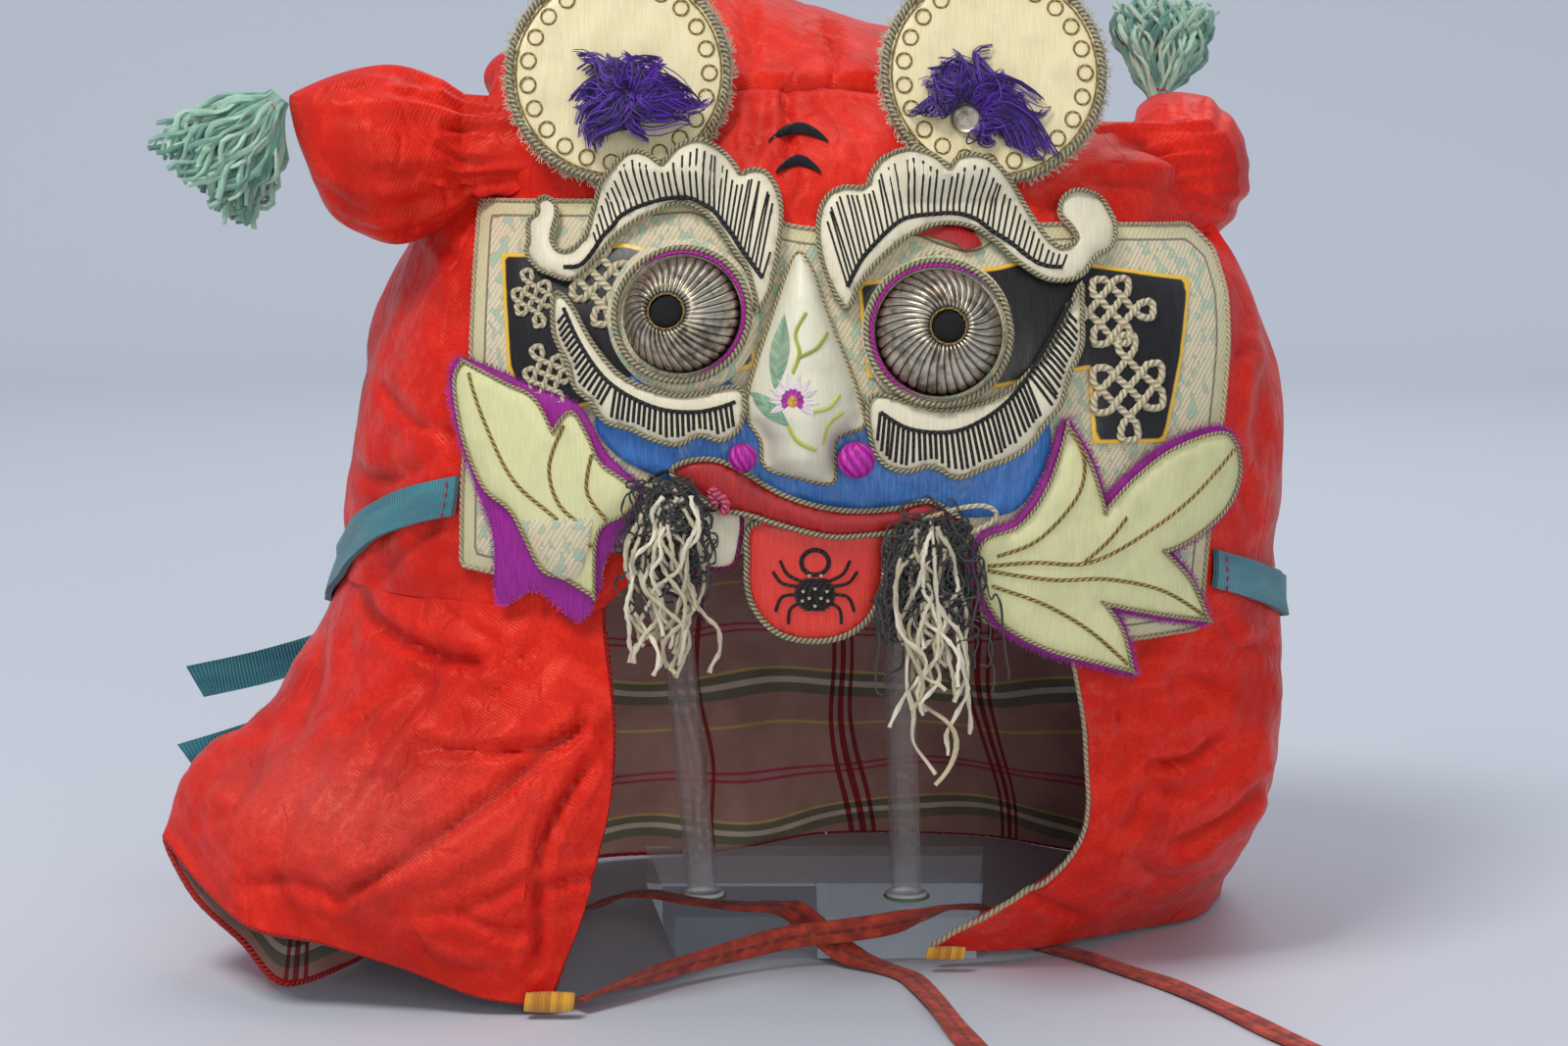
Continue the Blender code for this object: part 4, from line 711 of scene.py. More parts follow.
@dataclass(frozen=True)
class Brocade(Finish):
    """Pale brocade: a slanting cream weave with mint leaves, and a plain band beside its edge."""

    figure: Colour = (0.3, 0.45, 0.32)
    line: Colour = (0.45, 0.33, 0.12)
    border: float = 0.0

    def dress(self, g: Graph) -> None:
        """Leaves are islands of noise with thin outlines; the band and its dark line follow the edge."""
        along, across, _ = g.parts(g.lay())
        leaves = g.noise(g.lay(1.0, 0.7, 30.0), 2.3, 1.6)
        hatch = g.calc("MULTIPLY", g.ripple(g.calc("ADD", along, across), 1.15), g.ripple(across, 0.7))
        base = g.cover(self.second, g.steps(hatch, 0.2, 0.6), 0.55, self.line)
        base = g.cover(base, g.steps(leaves, 0.55, 0.58), 0.8, self.figure)
        rims = g.steps(g.calc("ABSOLUTE", g.calc("SUBTRACT", leaves, 0.56)), 0.018, 0.008)
        base = g.cover(base, rims, 0.3, self.line)
        if self.border:
            edge = g.attribute("edge")
            base = g.blend(g.steps(edge, self.border + 0.1, self.border), base, self.colour)
            mark = g.steps(g.calc("ABSOLUTE", g.calc("SUBTRACT", edge, self.border)), 0.34, 0.2)
            base = g.cover(base, mark, 0.75, rgb(96, 74, 58))
        g.shade(Base_Color=base, Sheen_Weight=0.12)
        g.bump(hatch, 0.09, 0.8)
        g.bump(rims, -0.12, 0.6)
        g.bump(g.noise(g.spot(), 6.0, 3.0), 0.7, 0.5)


@dataclass(frozen=True)
class Cord(Finish):
    """A twisted thread or cord: two plies whose grooves wind round it."""

    pitch: float = 2.4
    metal: float = 0.0

    def dress(self, g: Graph) -> None:
        """The ply groove is a cosine of the place round the cord less the place along it."""
        along, around, _ = g.parts(g.lay())
        phase = g.calc("SUBTRACT", g.calc("MULTIPLY", around, 0.2), g.calc("MULTIPLY", along, 1 / self.pitch))
        groove = g.calc("COSINE", g.calc("MULTIPLY", phase, FULL))
        base = g.blend(g.steps(groove, -0.9, 0.2), self.second, self.colour)
        base = g.cover(base, g.noise(g.spot(), 6.0, 3.0), 0.5, self.second)
        g.shade(Base_Color=base, Metallic=self.metal)
        g.bump(groove, 0.25, 0.9)
        g.bump(g.noise(g.lay(3.0, 3.0), 0.7, 2.0), 0.1, 0.6)


@dataclass(frozen=True)
class Floss(Finish):
    """Loose strands, each a shade of its own."""

    sheen: float = 0.3

    def dress(self, g: Graph) -> None:
        """Colour runs from dark to light by each strand's own tone, with noise along it."""
        uneven = g.calc("MULTIPLY", g.calc("SUBTRACT", g.noise(g.spot(), 4.0, 3.0), 0.5), 0.8)
        tone = g.calc("ADD", g.attribute("tone"), uneven)
        g.shade(Base_Color=g.blend(g.steps(tone, 0.0, 1.0), self.second, self.colour),
                Sheen_Weight=self.sheen, Sheen_Roughness=0.5)
        g.bump(g.noise(g.lay(2.0, 2.0), 0.8, 2.0), 0.15, 0.7)


@dataclass(frozen=True)
class Metal(Finish):
    """Stamped tarnished metal, darker in its grooves."""

    def dress(self, g: Graph) -> None:
        """Tarnish is noise in two sizes, and follows the grooves' own tone."""
        spots = g.calc("MULTIPLY", g.noise(g.spot(), 2.0, 4.0), g.noise(g.spot(), 9.0, 2.0))
        base = g.blend(g.steps(spots, 0.12, 0.3), rgb(128, 118, 100), self.colour)
        base = g.cover(base, g.steps(g.attribute("tone"), 0.5, 0.2), 0.95, self.second)
        g.shade(Base_Color=base, Metallic=1.0, Roughness=g.calc("ADD", g.calc("MULTIPLY", spots, -0.3), 0.4))
        g.bump(g.noise(g.spot(), 0.9, 3.0), 0.03, 0.5)


@dataclass(frozen=True)
class Ribbed(Finish):
    """Ribbon with fine ribs across it and a few pale stitches."""

    rib: float = 0.9

    def dress(self, g: Graph) -> None:
        """Ribs are ripples across the ribbon; fading is noise stretched along it."""
        ribs = g.ripple(g.parts(g.lay())[1], self.rib)
        fade = g.noise(g.lay(0.6, 0.1), 3.0, 4.0)
        base = g.blend(g.steps(fade, 0.3, 0.7), self.colour, self.second)
        base = g.cover(base, g.steps(ribs, 0.2, -0.9), 0.45, dimmed(self.colour, 0.4))
        g.shade(Base_Color=base, Sheen_Weight=0.2)
        g.bump(ribs, 0.16, 0.9)
        g.bump(g.noise(g.spot(), 5.0, 3.0), 0.5, 0.5)


@dataclass(frozen=True)
class TieCloth(Finish):
    """Folded cotton strip with a dark row of stitches along its middle."""

    def dress(self, g: Graph) -> None:
        """Stitches are dashes where the place across is near the middle."""
        along, across, _ = g.parts(g.lay())
        middle = g.steps(g.calc("ABSOLUTE", across), 0.75, 0.45)
        dashes = g.calc("MULTIPLY", middle, g.steps(g.ripple(along, 3.4), -0.5, -0.1))
        base = g.blend(g.steps(g.noise(g.spot(), 3.5, 4.0), 0.35, 0.7), self.second, self.colour)
        rows, columns = g.steps(g.ripple(along, 11.0), 0.5, 0.9), g.steps(g.ripple(across, 2.9), 0.7, 0.95)
        base = g.cover(base, g.calc("MAXIMUM", rows, columns), 0.4, rgb(110, 34, 26))
        g.shade(Base_Color=g.cover(base, dashes, 0.5, rgb(75, 20, 18)), Sheen_Weight=0.15)
        g.bump(middle, -0.3, 0.7)
        g.bump(g.noise(g.spot(), 1.6, 4.0), 0.3, 0.8)
        g.weave(0.8, 0.1)


@dataclass(frozen=True)
class Acrylic(Finish):
    """Clear acrylic with polished faces and faint handling marks."""

    def dress(self, g: Graph) -> None:
        """Marks are stretched noise in the roughness."""
        marks = g.steps(g.noise(g.spot((0.3, 1.0, 1.0)), 6.0, 5.0), 0.55, 0.8)
        g.shade(Base_Color=self.colour, Transmission_Weight=0.85, IOR=1.35, Alpha=0.42,
                Roughness=g.calc("ADD", g.calc("MULTIPLY", marks, 0.12), self.rough))
        g.bump(g.noise(g.spot(), 20.0, 2.0), 0.05, 0.3)


# Finishes: name, the record's slot, colour, second colour, roughness, then the kind's own values
RED = DamaskSilk("red_damask", "red_silk", rgb(224, 36, 24), rgb(234, 46, 30), 0.46, rgb(206, 86, 76))
LINING = PlaidLining("plaid_lining", "red_silk", rgb(198, 152, 140), rgb(232, 220, 200), 0.8, 44.0)
PIPING = Cord("red_piping", "red_satin", rgb(202, 32, 24), rgb(164, 20, 18), 0.5, 1.3)
PALE_PIPING = Cord("pale_piping", "brocade", rgb(206, 192, 160), rgb(170, 140, 112), 0.6, 1.5)
BROCADE = Brocade("pale_brocade", "brocade", rgb(208, 200, 156), rgb(220, 208, 172), 0.55, rgb(160, 188, 162),
                  rgb(150, 118, 96))
PANEL_CLOTH = replace(BROCADE, name="bordered_brocade", border=3.4)
BLACK = Satin("black_satin_cloth", "black_satin", rgb(34, 31, 32), rgb(12, 11, 12), 0.38, 0.5, 0.0,
              rgb(236, 186, 52), 0.8)
BLUE = Satin("blue_satin_cloth", "blue_satin", rgb(62, 124, 192), rgb(40, 96, 168), 0.34, 1.2, 90.0, None,
             1.2, 0.7, 1.6)
CREAM = Satin("cream_silk_cloth", "cream_silk", rgb(230, 222, 196), rgb(216, 204, 174), 0.5, 0.6, 0.0)
CREAM_NOSE = Satin("nose_silk", "cream_silk", rgb(228, 224, 200), rgb(218, 211, 184), 0.45, 0.6, 90.0)
LIP_RED = Satin("lip_satin", "red_satin", rgb(190, 20, 16), rgb(150, 10, 12), 0.5, 0.7, 20.0)
TONGUE_RED = Satin("tongue_satin", "red_satin", rgb(236, 62, 42), rgb(214, 44, 34), 0.45, 0.6, 90.0)
LEAF = Satin("leaf_silk", "leaf_satin", rgb(226, 222, 168), rgb(212, 208, 150), 0.5, 0.5, 35.0)
MAGENTA = Satin("magenta_cloth", "magenta_silk", rgb(172, 20, 156), rgb(128, 8, 118), 0.55, 0.7, 60.0)
SILVER_CORD = Cord("silver_cord", "silver", rgb(202, 192, 158), rgb(104, 94, 66), 0.45, 1.15, 0.25)
LEAF_CORD = Cord("leaf_cord", "silver", rgb(214, 204, 160), rgb(120, 92, 58), 0.5, 1.2, 0.15)
GOLD_CORD = Cord("gold_cord", "silver", rgb(206, 178, 104), rgb(104, 82, 42), 0.4, 1.6, 0.5)
BLACK_THREAD = Cord("black_thread", "black_satin", rgb(34, 30, 30), rgb(12, 10, 10), 0.6, 1.4)
CREAM_THREAD = Cord("cream_thread", "cream_silk", rgb(228, 216, 184), rgb(176, 158, 120), 0.6, 1.6)
TEAL = Ribbed("teal_ribbon_cloth", "teal_ribbon", rgb(34, 116, 132), rgb(62, 150, 160), 0.5)
TIE = TieCloth("tie_strip", "tie_cloth", rgb(204, 70, 40), rgb(150, 42, 24), 0.8)
YELLOW = Floss("yellow_thread_wrap", "yellow_thread", rgb(226, 172, 40), rgb(190, 122, 16), 0.6)
ACRYLIC = Acrylic("clear_acrylic_sheet", "clear_acrylic", (0.97, 0.98, 0.96), rough=0.04)
PINK_STITCH = Cord("pink_stitch", "magenta_silk", rgb(222, 96, 120), rgb(170, 50, 84), 0.6, 1.2)
FROST = Finish("frosted_foot", "clear_acrylic", rgb(228, 232, 228), rough=0.35)
GLUE = Finish("green_glue", "clear_acrylic", rgb(120, 150, 110), rough=0.3)
PURPLE = Floss("purple_floss_strands", "purple_floss", rgb(98, 34, 176), rgb(30, 6, 78), 0.42, 0.15)
MINT = Floss("mint_yarn_strands", "mint_yarn", rgb(172, 208, 184), rgb(84, 138, 122), 0.85, 0.5)
BLACK_YARN = Floss("black_yarn_strands", "black_yarn", rgb(48, 44, 42), rgb(14, 12, 12), 0.7)
CREAM_YARN = Floss("cream_yarn_strands", "cream_silk", rgb(232, 222, 196), rgb(184, 168, 134), 0.8)
MAGENTA_YARN = Floss("magenta_fray", "magenta_silk", rgb(196, 40, 176), rgb(120, 10, 112), 0.6)
FUR = Floss("pale_fur", "fur", rgb(222, 218, 194), rgb(186, 182, 152), 0.9)
NOSTRIL_THREAD = Cord("magenta_wrap", "magenta_silk", rgb(214, 36, 180), rgb(150, 14, 130), 0.4, 1.2)
EYE_METAL = Metal("tarnished_silver", "silver", rgb(206, 196, 178), rgb(30, 24, 20), 0.3)
VELVET = Satin("black_velvet", "black_satin", rgb(18, 17, 20), rgb(6, 6, 8), 0.95, 0.4)
EAR_SILK = Satin("ear_silk", "cream_silk", rgb(234, 222, 178), rgb(224, 208, 160), 0.42, 0.8, 75.0)
MAGENTA_CORD = Cord("magenta_edge", "magenta_silk", rgb(150, 30, 90), rgb(96, 12, 60), 0.6, 1.6)
WHITE_FLOSS = Floss("white_floss", "cream_silk", rgb(240, 234, 226), rgb(214, 190, 200), 0.4)
STEM = Floss("stem_green", "leaf_satin", rgb(186, 190, 70), rgb(150, 156, 48), 0.45)
SAGE = Floss("sage_floss", "mint_yarn", rgb(158, 196, 158), rgb(112, 158, 124), 0.45)


class Shape:
    """Points, faces and a cloth map gathered into one piece."""

    def __init__(self) -> None:
        """Start with nothing."""
        self.points: list[Array] = []
        self.faces: list[Array] = []
        self.maps: list[Array] = []
        self.kinds: list[Array] = []
        # The last number is painted shade: the depth of a crease, which darkens the silk.
        self.numbers: dict[str, list[Array]] = {"tone": [], "edge": [], "fade": [], "soil": []}
        self.count = 0

    def take(self, points: Array, **numbers: object) -> int:
        """Add points with their numbers, and return the number of the first."""
        first = self.count
        points = points.reshape(-1, 3)
        self.points.append(points)
        for name, kept in self.numbers.items():
            kept.append(np.broadcast_to(np.asarray(numbers.get(name, 0.5), float).ravel(), (len(points),)))
        self.count += len(points)
        return first

    def grid(self, points: Array, **numbers: object) -> Array:
        """Add a grid of points with their numbers, and return the number of each."""
        rows = points.shape[:-1]
        return self.take(points, **numbers) + np.arange(math.prod(rows)).reshape(rows)

    def face(self, faces: Array, maps: Array, kind: int = 0) -> None:
        """Add faces of one count of corners, each corner with its place on the cloth."""
        if len(faces):
            self.faces.append(faces)
            self.maps.append(maps)
            self.kinds.append(np.full(len(faces), kind))

    def quads(self, index: Array, lay: Array, kind: int = 0) -> None:
        """Add the four-sided faces of a grid of point numbers; lay holds each number's cloth place."""
        rows, cols = index.shape[-2] - 1, index.shape[-1] - 1
        corner = ((0, 0), (0, 1), (1, 1), (1, 0))
        pick = [(Ellipsis, slice(r, r + rows), slice(c, c + cols)) for r, c in corner]
        corners = np.stack([index[p].ravel() for p in pick], 1)
        lay = np.broadcast_to(lay, index.shape + (2,))
        self.face(corners, np.stack([lay[p + (slice(None),)].reshape(-1, 2) for p in pick], 1), kind)

    def tubes(self, paths: Array, radii: object, sides: int = 6, closed: bool = False, flat: float = 1.0,
              ply: float = 0.0, pitch: float = 2.4, tones: object = 0.5, kind: int = 0,
              out: Optional[Array] = None) -> "Shape":
        """Add round or flattened tubes along paths.

        A ring is carried along each path; its radius swells twice round as it winds, where a ply is given.

        Args:
            paths: points of one path or of many of the same length.
            radii: radius of all, of each, or of each point of each.
            sides: corners of a ring.
            closed: whether the paths are loops.
            flat: depth of a ring over its width.
            ply: share by which the two plies stand out.
            pitch: length of one turn of the plies.
            tones: each path's shade from 0 to 1.
            kind: which of the piece's finishes.
            out: direction of a ring's depth.
        Returns:
            This shape.
        """
        paths = np.asarray(paths, float)
        paths = paths[None] if paths.ndim == 2 else paths
        many, long = paths.shape[:2]
        ahead = unit(np.roll(paths, -1, 1) - np.roll(paths, 1, 1) if closed else np.gradient(paths, axis=1))
        if out is None:
            out = np.eye(3)[np.argmin(np.abs(ahead).mean((0, 1)))]
        side = unit(np.cross(ahead, out))
        top = np.cross(side, ahead)
        steps = np.linalg.norm(np.diff(paths, axis=1), axis=-1)
        along = np.concatenate([np.zeros((many, 1)), np.cumsum(steps, 1)], 1)
        turn = turns(sides)
        radii = np.asarray(radii, float)
        radii = radii[:, None] if radii.ndim == 1 and len(radii) == many else radii
        radius = np.broadcast_to(radii, (many, long))[..., None]
        radius = radius * (1 + ply * np.cos(2 * turn - FULL * along[..., None] / pitch))
        rings = paths[:, :, None] + radius[..., None] * (
            np.cos(turn)[:, None] * side[:, :, None] + flat * np.sin(turn)[:, None] * top[:, :, None])
        tones = np.broadcast_to(np.asarray(tones, float).reshape(-1, 1, 1), (many, long, sides))
        index = self.grid(rings, tone=tones)
        index = np.concatenate([index, index[..., :1]], -1)
        if closed:
            index = np.concatenate([index, index[:, :1]], 1)
            along = np.concatenate([along, along[:, -1:] + steps[:, :1]], 1)
        self.quads(index, joined(along[..., None], np.arange(sides + 1) / sides * 10), kind)
        if not closed:
            for end in (0, -1):
                self.cap(index[:, end, :-1], paths[:, end], tones[:, 0, 0], kind)
        return self

    def cap(self, rings: Array, middles: Array, tones: object = 0.5, kind: int = 0) -> None:
        """Close rings of point numbers with fans round their middles."""
        hub = self.take(middles, tone=tones) + np.arange(len(rings))[:, None]
        fans = np.stack([k.ravel() for k in np.broadcast_arrays(rings, np.roll(rings, -1, 1), hub)], 1)
        self.face(fans, np.zeros((len(fans), 3, 2)), kind)

    def sleeve(self, rings: Array, lay: Array, ends: Optional[tuple] = None, **numbers: object) -> "Shape":
        """Add a sleeve through rings of points and close its two ends.

        Args:
            rings: the rings, one after another.
            lay: places on the cloth; a ring's first is given again at its end.
            ends: the middles of the caps, if they aren't those of the rings.
            numbers: numbers kept on the points.
        Returns:
            This shape.
        """
        index = self.grid(rings, **numbers)
        self.quads(np.concatenate([index, index[:, :1]], 1), lay)
        for row, middle in zip((0, -1), ends or (rings[0].mean(0), rings[-1].mean(0))):
            self.cap(index[row][None], middle[None], numbers.get("tone", 0.5))
        return self

    def shell(self, outer: Array, inner: Array, lay: Array, kinds: tuple = (0, 1), pole: bool = False,
              **numbers: object) -> "Shape":
        """Add a closed wall between two grids of points.

        Args:
            outer: the outer skin.
            inner: the inner skin.
            lay: each point's place on the cloth.
            kinds: finishes of the two skins; the edges take the first.
            pole: whether the last row is a single place.
            numbers: numbers kept on the points.
        Returns:
            This shape.
        """
        out = self.grid(outer, **numbers)
        inn = self.grid(inner, **numbers)
        self.quads(out, lay, kinds[0])
        self.quads(inn, lay, kinds[1])
        sides = [np.s_[0], np.s_[:, 0], np.s_[:, -1]] + ([] if pole else [np.s_[-1]])
        for side in sides:
            self.quads(np.stack([out[side], inn[side]]), np.stack([lay[side], lay[side] + (0, 2)]), kinds[0])
        return self

    def build(self, name: str, *finishes: Finish, replaces: Sequence[str] = (),
              sharp: float = 50.0) -> bpy.types.Object:
        """Make the gathered points and faces into an object that rides on the hat.

        Args:
            name: the piece's name.
            finishes: its finishes, one for each kind of face.
            replaces: nodes that it stands for.
            sharp: edges steeper than this many degrees stay crisp.
        Returns:
            The object.
        """
        mesh = bpy.data.meshes.new(name)
        points = np.concatenate(self.points) * MM
        mesh.vertices.add(len(points))
        mesh.vertices.foreach_set("co", points.ravel())
        counts = np.concatenate([np.full(len(f), f.shape[1]) for f in self.faces])
        corners = np.concatenate([f.ravel() for f in self.faces])
        starts = np.cumsum(counts) - counts
        mesh.loops.add(len(corners))
        mesh.loops.foreach_set("vertex_index", corners.astype(np.int32))
        mesh.polygons.add(len(counts))
        mesh.polygons.foreach_set("loop_start", starts.astype(np.int32))
        mesh.polygons.foreach_set("material_index", np.concatenate(self.kinds).astype(np.int32))
        mesh.update(calc_edges=True)
        lay = mesh.uv_layers.new(name="lay")
        lay.data.foreach_set("uv", np.concatenate([m.reshape(-1, 2) for m in self.maps]).ravel())
        for key, kept in self.numbers.items():
            made = mesh.attributes.new(key, "FLOAT", "POINT")
            made.data.foreach_set("value", np.concatenate(kept))
        for finish in finishes:
            mesh.materials.append(finish.material())
        mesh.validate()
        solid = bmesh.new()
        solid.from_mesh(mesh)
        bmesh.ops.remove_doubles(solid, verts=solid.verts, dist=0.001 * MM)
        bmesh.ops.recalc_face_normals(solid, faces=solid.faces)
        solid.to_mesh(mesh)
        solid.free()
        mesh.shade_smooth()
        mesh.set_sharp_from_angle(angle=math.radians(sharp))
        made = bpy.data.objects.new(name, mesh)
        bpy.context.scene.collection.objects.link(made)
        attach(made, "root")
        if replaces:
            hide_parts(*replaces)
        log.info("%s: %d faces", name, len(counts))
        return made

    def build_for(self, node: str, suffix: str, *finishes: Finish, sharp: float = 50.0) -> bpy.types.Object:
        """Make the object that stands for a node and is named after it."""
        return self.build(f"{node}_{suffix}", *finishes, replaces=(node,), sharp=sharp)


def level(height: float) -> Callable:
    """A height that is the same at every place."""
    return lambda x, z: np.full(len(x), height)


def puff(height: float, reach: float = 1.0) -> Callable:
    """A crown that grows to a height away from a piece's edge."""
    return lambda x, z, edge: height * (1 - np.exp(-edge / reach))


def sewn(outline: Array, spacing: float, place: Callable, low: float, high: float,
         crown: Optional[Callable] = None, soft: float = 1.0) -> Shape:
    """A piece of cloth cut to an outline and laid on a surface.

    Inner points stand on a grid of triangles; the top rises from the edge as a quarter circle, then by crown.

    Args:
        outline: the cut, across and up.
        spacing: distance between inner points.
        place: gives a point from across, up and height.
        low: height of its underside.
        high: height of its top.
        crown: extra height from across, up and distance to the edge.
        soft: width of the rounded edge.
    Returns:
        The shape.
    """
    low_x, low_z = outline.min(0)
    high_x, high_z = outline.max(0)
    cols = np.arange(low_x, high_x + spacing, spacing)
    rows = np.arange(low_z, high_z + spacing, spacing * 0.87)
    x, z = np.meshgrid(cols, rows)
    x = x + (np.arange(len(rows)) % 2)[:, None] * spacing / 2
    x, z = x.ravel(), z.ravel()
    away, inside, _ = gap_to_loop(outline, x, z)
    kept = inside & (away > spacing * 0.55)
    every = np.vstack([outline, joined(x[kept], z[kept])])
    count = len(outline)
    edges = [(k, (k + 1) % count) for k in range(count)]
    flat, _, faces, *_ = delaunay_2d_cdt([Vector(p) for p in every], edges, [list(range(count))], 1, 1e-5)
    flat = np.array([tuple(p) for p in flat])
    faces = np.array([f for f in faces if len(f) == 3])
    x, z = flat.T
    edge = gap_to_loop(outline, x, z)[0]
    round_off = np.sqrt(np.clip(1 - (1 - np.clip(edge / soft, 0, 1)) ** 2, 0, 1))
    top = low + (high - low) * (0.35 + 0.65 * round_off)
    if crown is not None:
        top = top + crown(x, z, edge)
    corners = flat[faces]
    area = np.cross(corners[:, 1] - corners[:, 0], corners[:, 2] - corners[:, 0])
    faces = np.where((area > 0)[:, None], faces, faces[:, ::-1])
    shape = Shape()
    over = shape.take(place(x, z, top), edge=edge)
    under = shape.take(place(x, z, np.full(len(x), low)), edge=edge)
    shape.face(faces + over, flat[faces])
    shape.face(faces[:, ::-1] + under, flat[faces[:, ::-1]])
    pairs = np.concatenate([faces[:, (0, 1)], faces[:, (1, 2)], faces[:, (2, 0)]])
    code = pairs[:, 0] * len(flat) + pairs[:, 1]
    rim = pairs[~np.isin(code, pairs[:, 1] * len(flat) + pairs[:, 0])]
    skirt = np.stack([rim[:, 0] + under, rim[:, 1] + under, rim[:, 1] + over, rim[:, 0] + over], 1)
    shape.face(skirt, flat[rim[:, (0, 1, 1, 0)]])
    return shape


@dataclass
class Studio:
    """Camera, floor and soft light."""

    bowl: tuple = (1.5, 2.0, 1.6)   # flat reach of the floor, run of its curve, height of its wall, in metres

    def build(self) -> None:
        """Set the camera, the floor and the lights."""
        camera = bpy.data.objects.new("camera", bpy.data.cameras.new("camera"))
        camera.data.lens = LENS
        camera.data.sensor_width = SENSOR
        camera.location = Vector(EYE) * MM
        camera.rotation_euler = (PITCH, 0, 0)
        bpy.context.scene.collection.objects.link(camera)
        bpy.context.scene.camera = camera
        bpy.ops.mesh.primitive_grid_add(x_subdivisions=140, y_subdivisions=140, size=8.0)
        floor = bpy.context.object
        floor.name = "floor"
        spots = np.empty(len(floor.data.vertices) * 3)
        floor.data.vertices.foreach_get("co", spots)
        spots = spots.reshape(-1, 3)
        share = np.clip((np.hypot(spots[:, 0], spots[:, 1]) - self.bowl[0]) / self.bowl[1], 0, 1)
        spots[:, 2] = self.bowl[2] * share**2 * (3 - 2 * share)
        floor.data.vertices.foreach_set("co", spots.ravel())
        floor.data.shade_smooth()
        finish = Finish("pale_floor", "clear_acrylic", rgb(200, 205, 214), rough=0.7)
        floor.data.materials.append(finish.material())
        bpy.context.scene.view_settings.view_transform = "Standard"
        world = bpy.data.worlds.new("studio")
        world.use_nodes = True
        world.node_tree.nodes["Background"].inputs[0].default_value = (0.50, 0.54, 0.62, 1)
        world.node_tree.nodes["Background"].inputs[1].default_value = 0.62
        bpy.context.scene.world = world
        hat, wall = (0.0, 0.0, 0.12), (0.0, 3.0, 0.5)
        # name, place, aim, size, power in watts, colour
        for name, place, aim, size, power, colour in (
                ("key", (-0.6, -0.75, 1.5), hat, 0.5, 16, (1.0, 0.99, 0.97)),
                ("front", (0.30, -1.45, 0.45), hat, 0.7, 5.5, (1.0, 0.99, 0.97)),
                ("top", (0.2, 0.2, 1.7), hat, 1.0, 4, (0.97, 0.98, 1.0)),
                ("back", (0.5, 0.95, 1.2), hat, 0.8, 3, (1.0, 1.0, 1.0)),
                ("wall", (0.0, 0.9, 1.7), wall, 1.6, 11, (0.97, 0.98, 1.0))):
            lamp = bpy.data.lights.new(name, "AREA")
            lamp.size = size
            lamp.energy = power
            lamp.color = colour
            made = bpy.data.objects.new(name, lamp)
            made.location = place
            made.rotation_euler = (Vector(aim) - Vector(place)).to_track_quat("-Z", "Y").to_euler()
            bpy.context.scene.collection.objects.link(made)


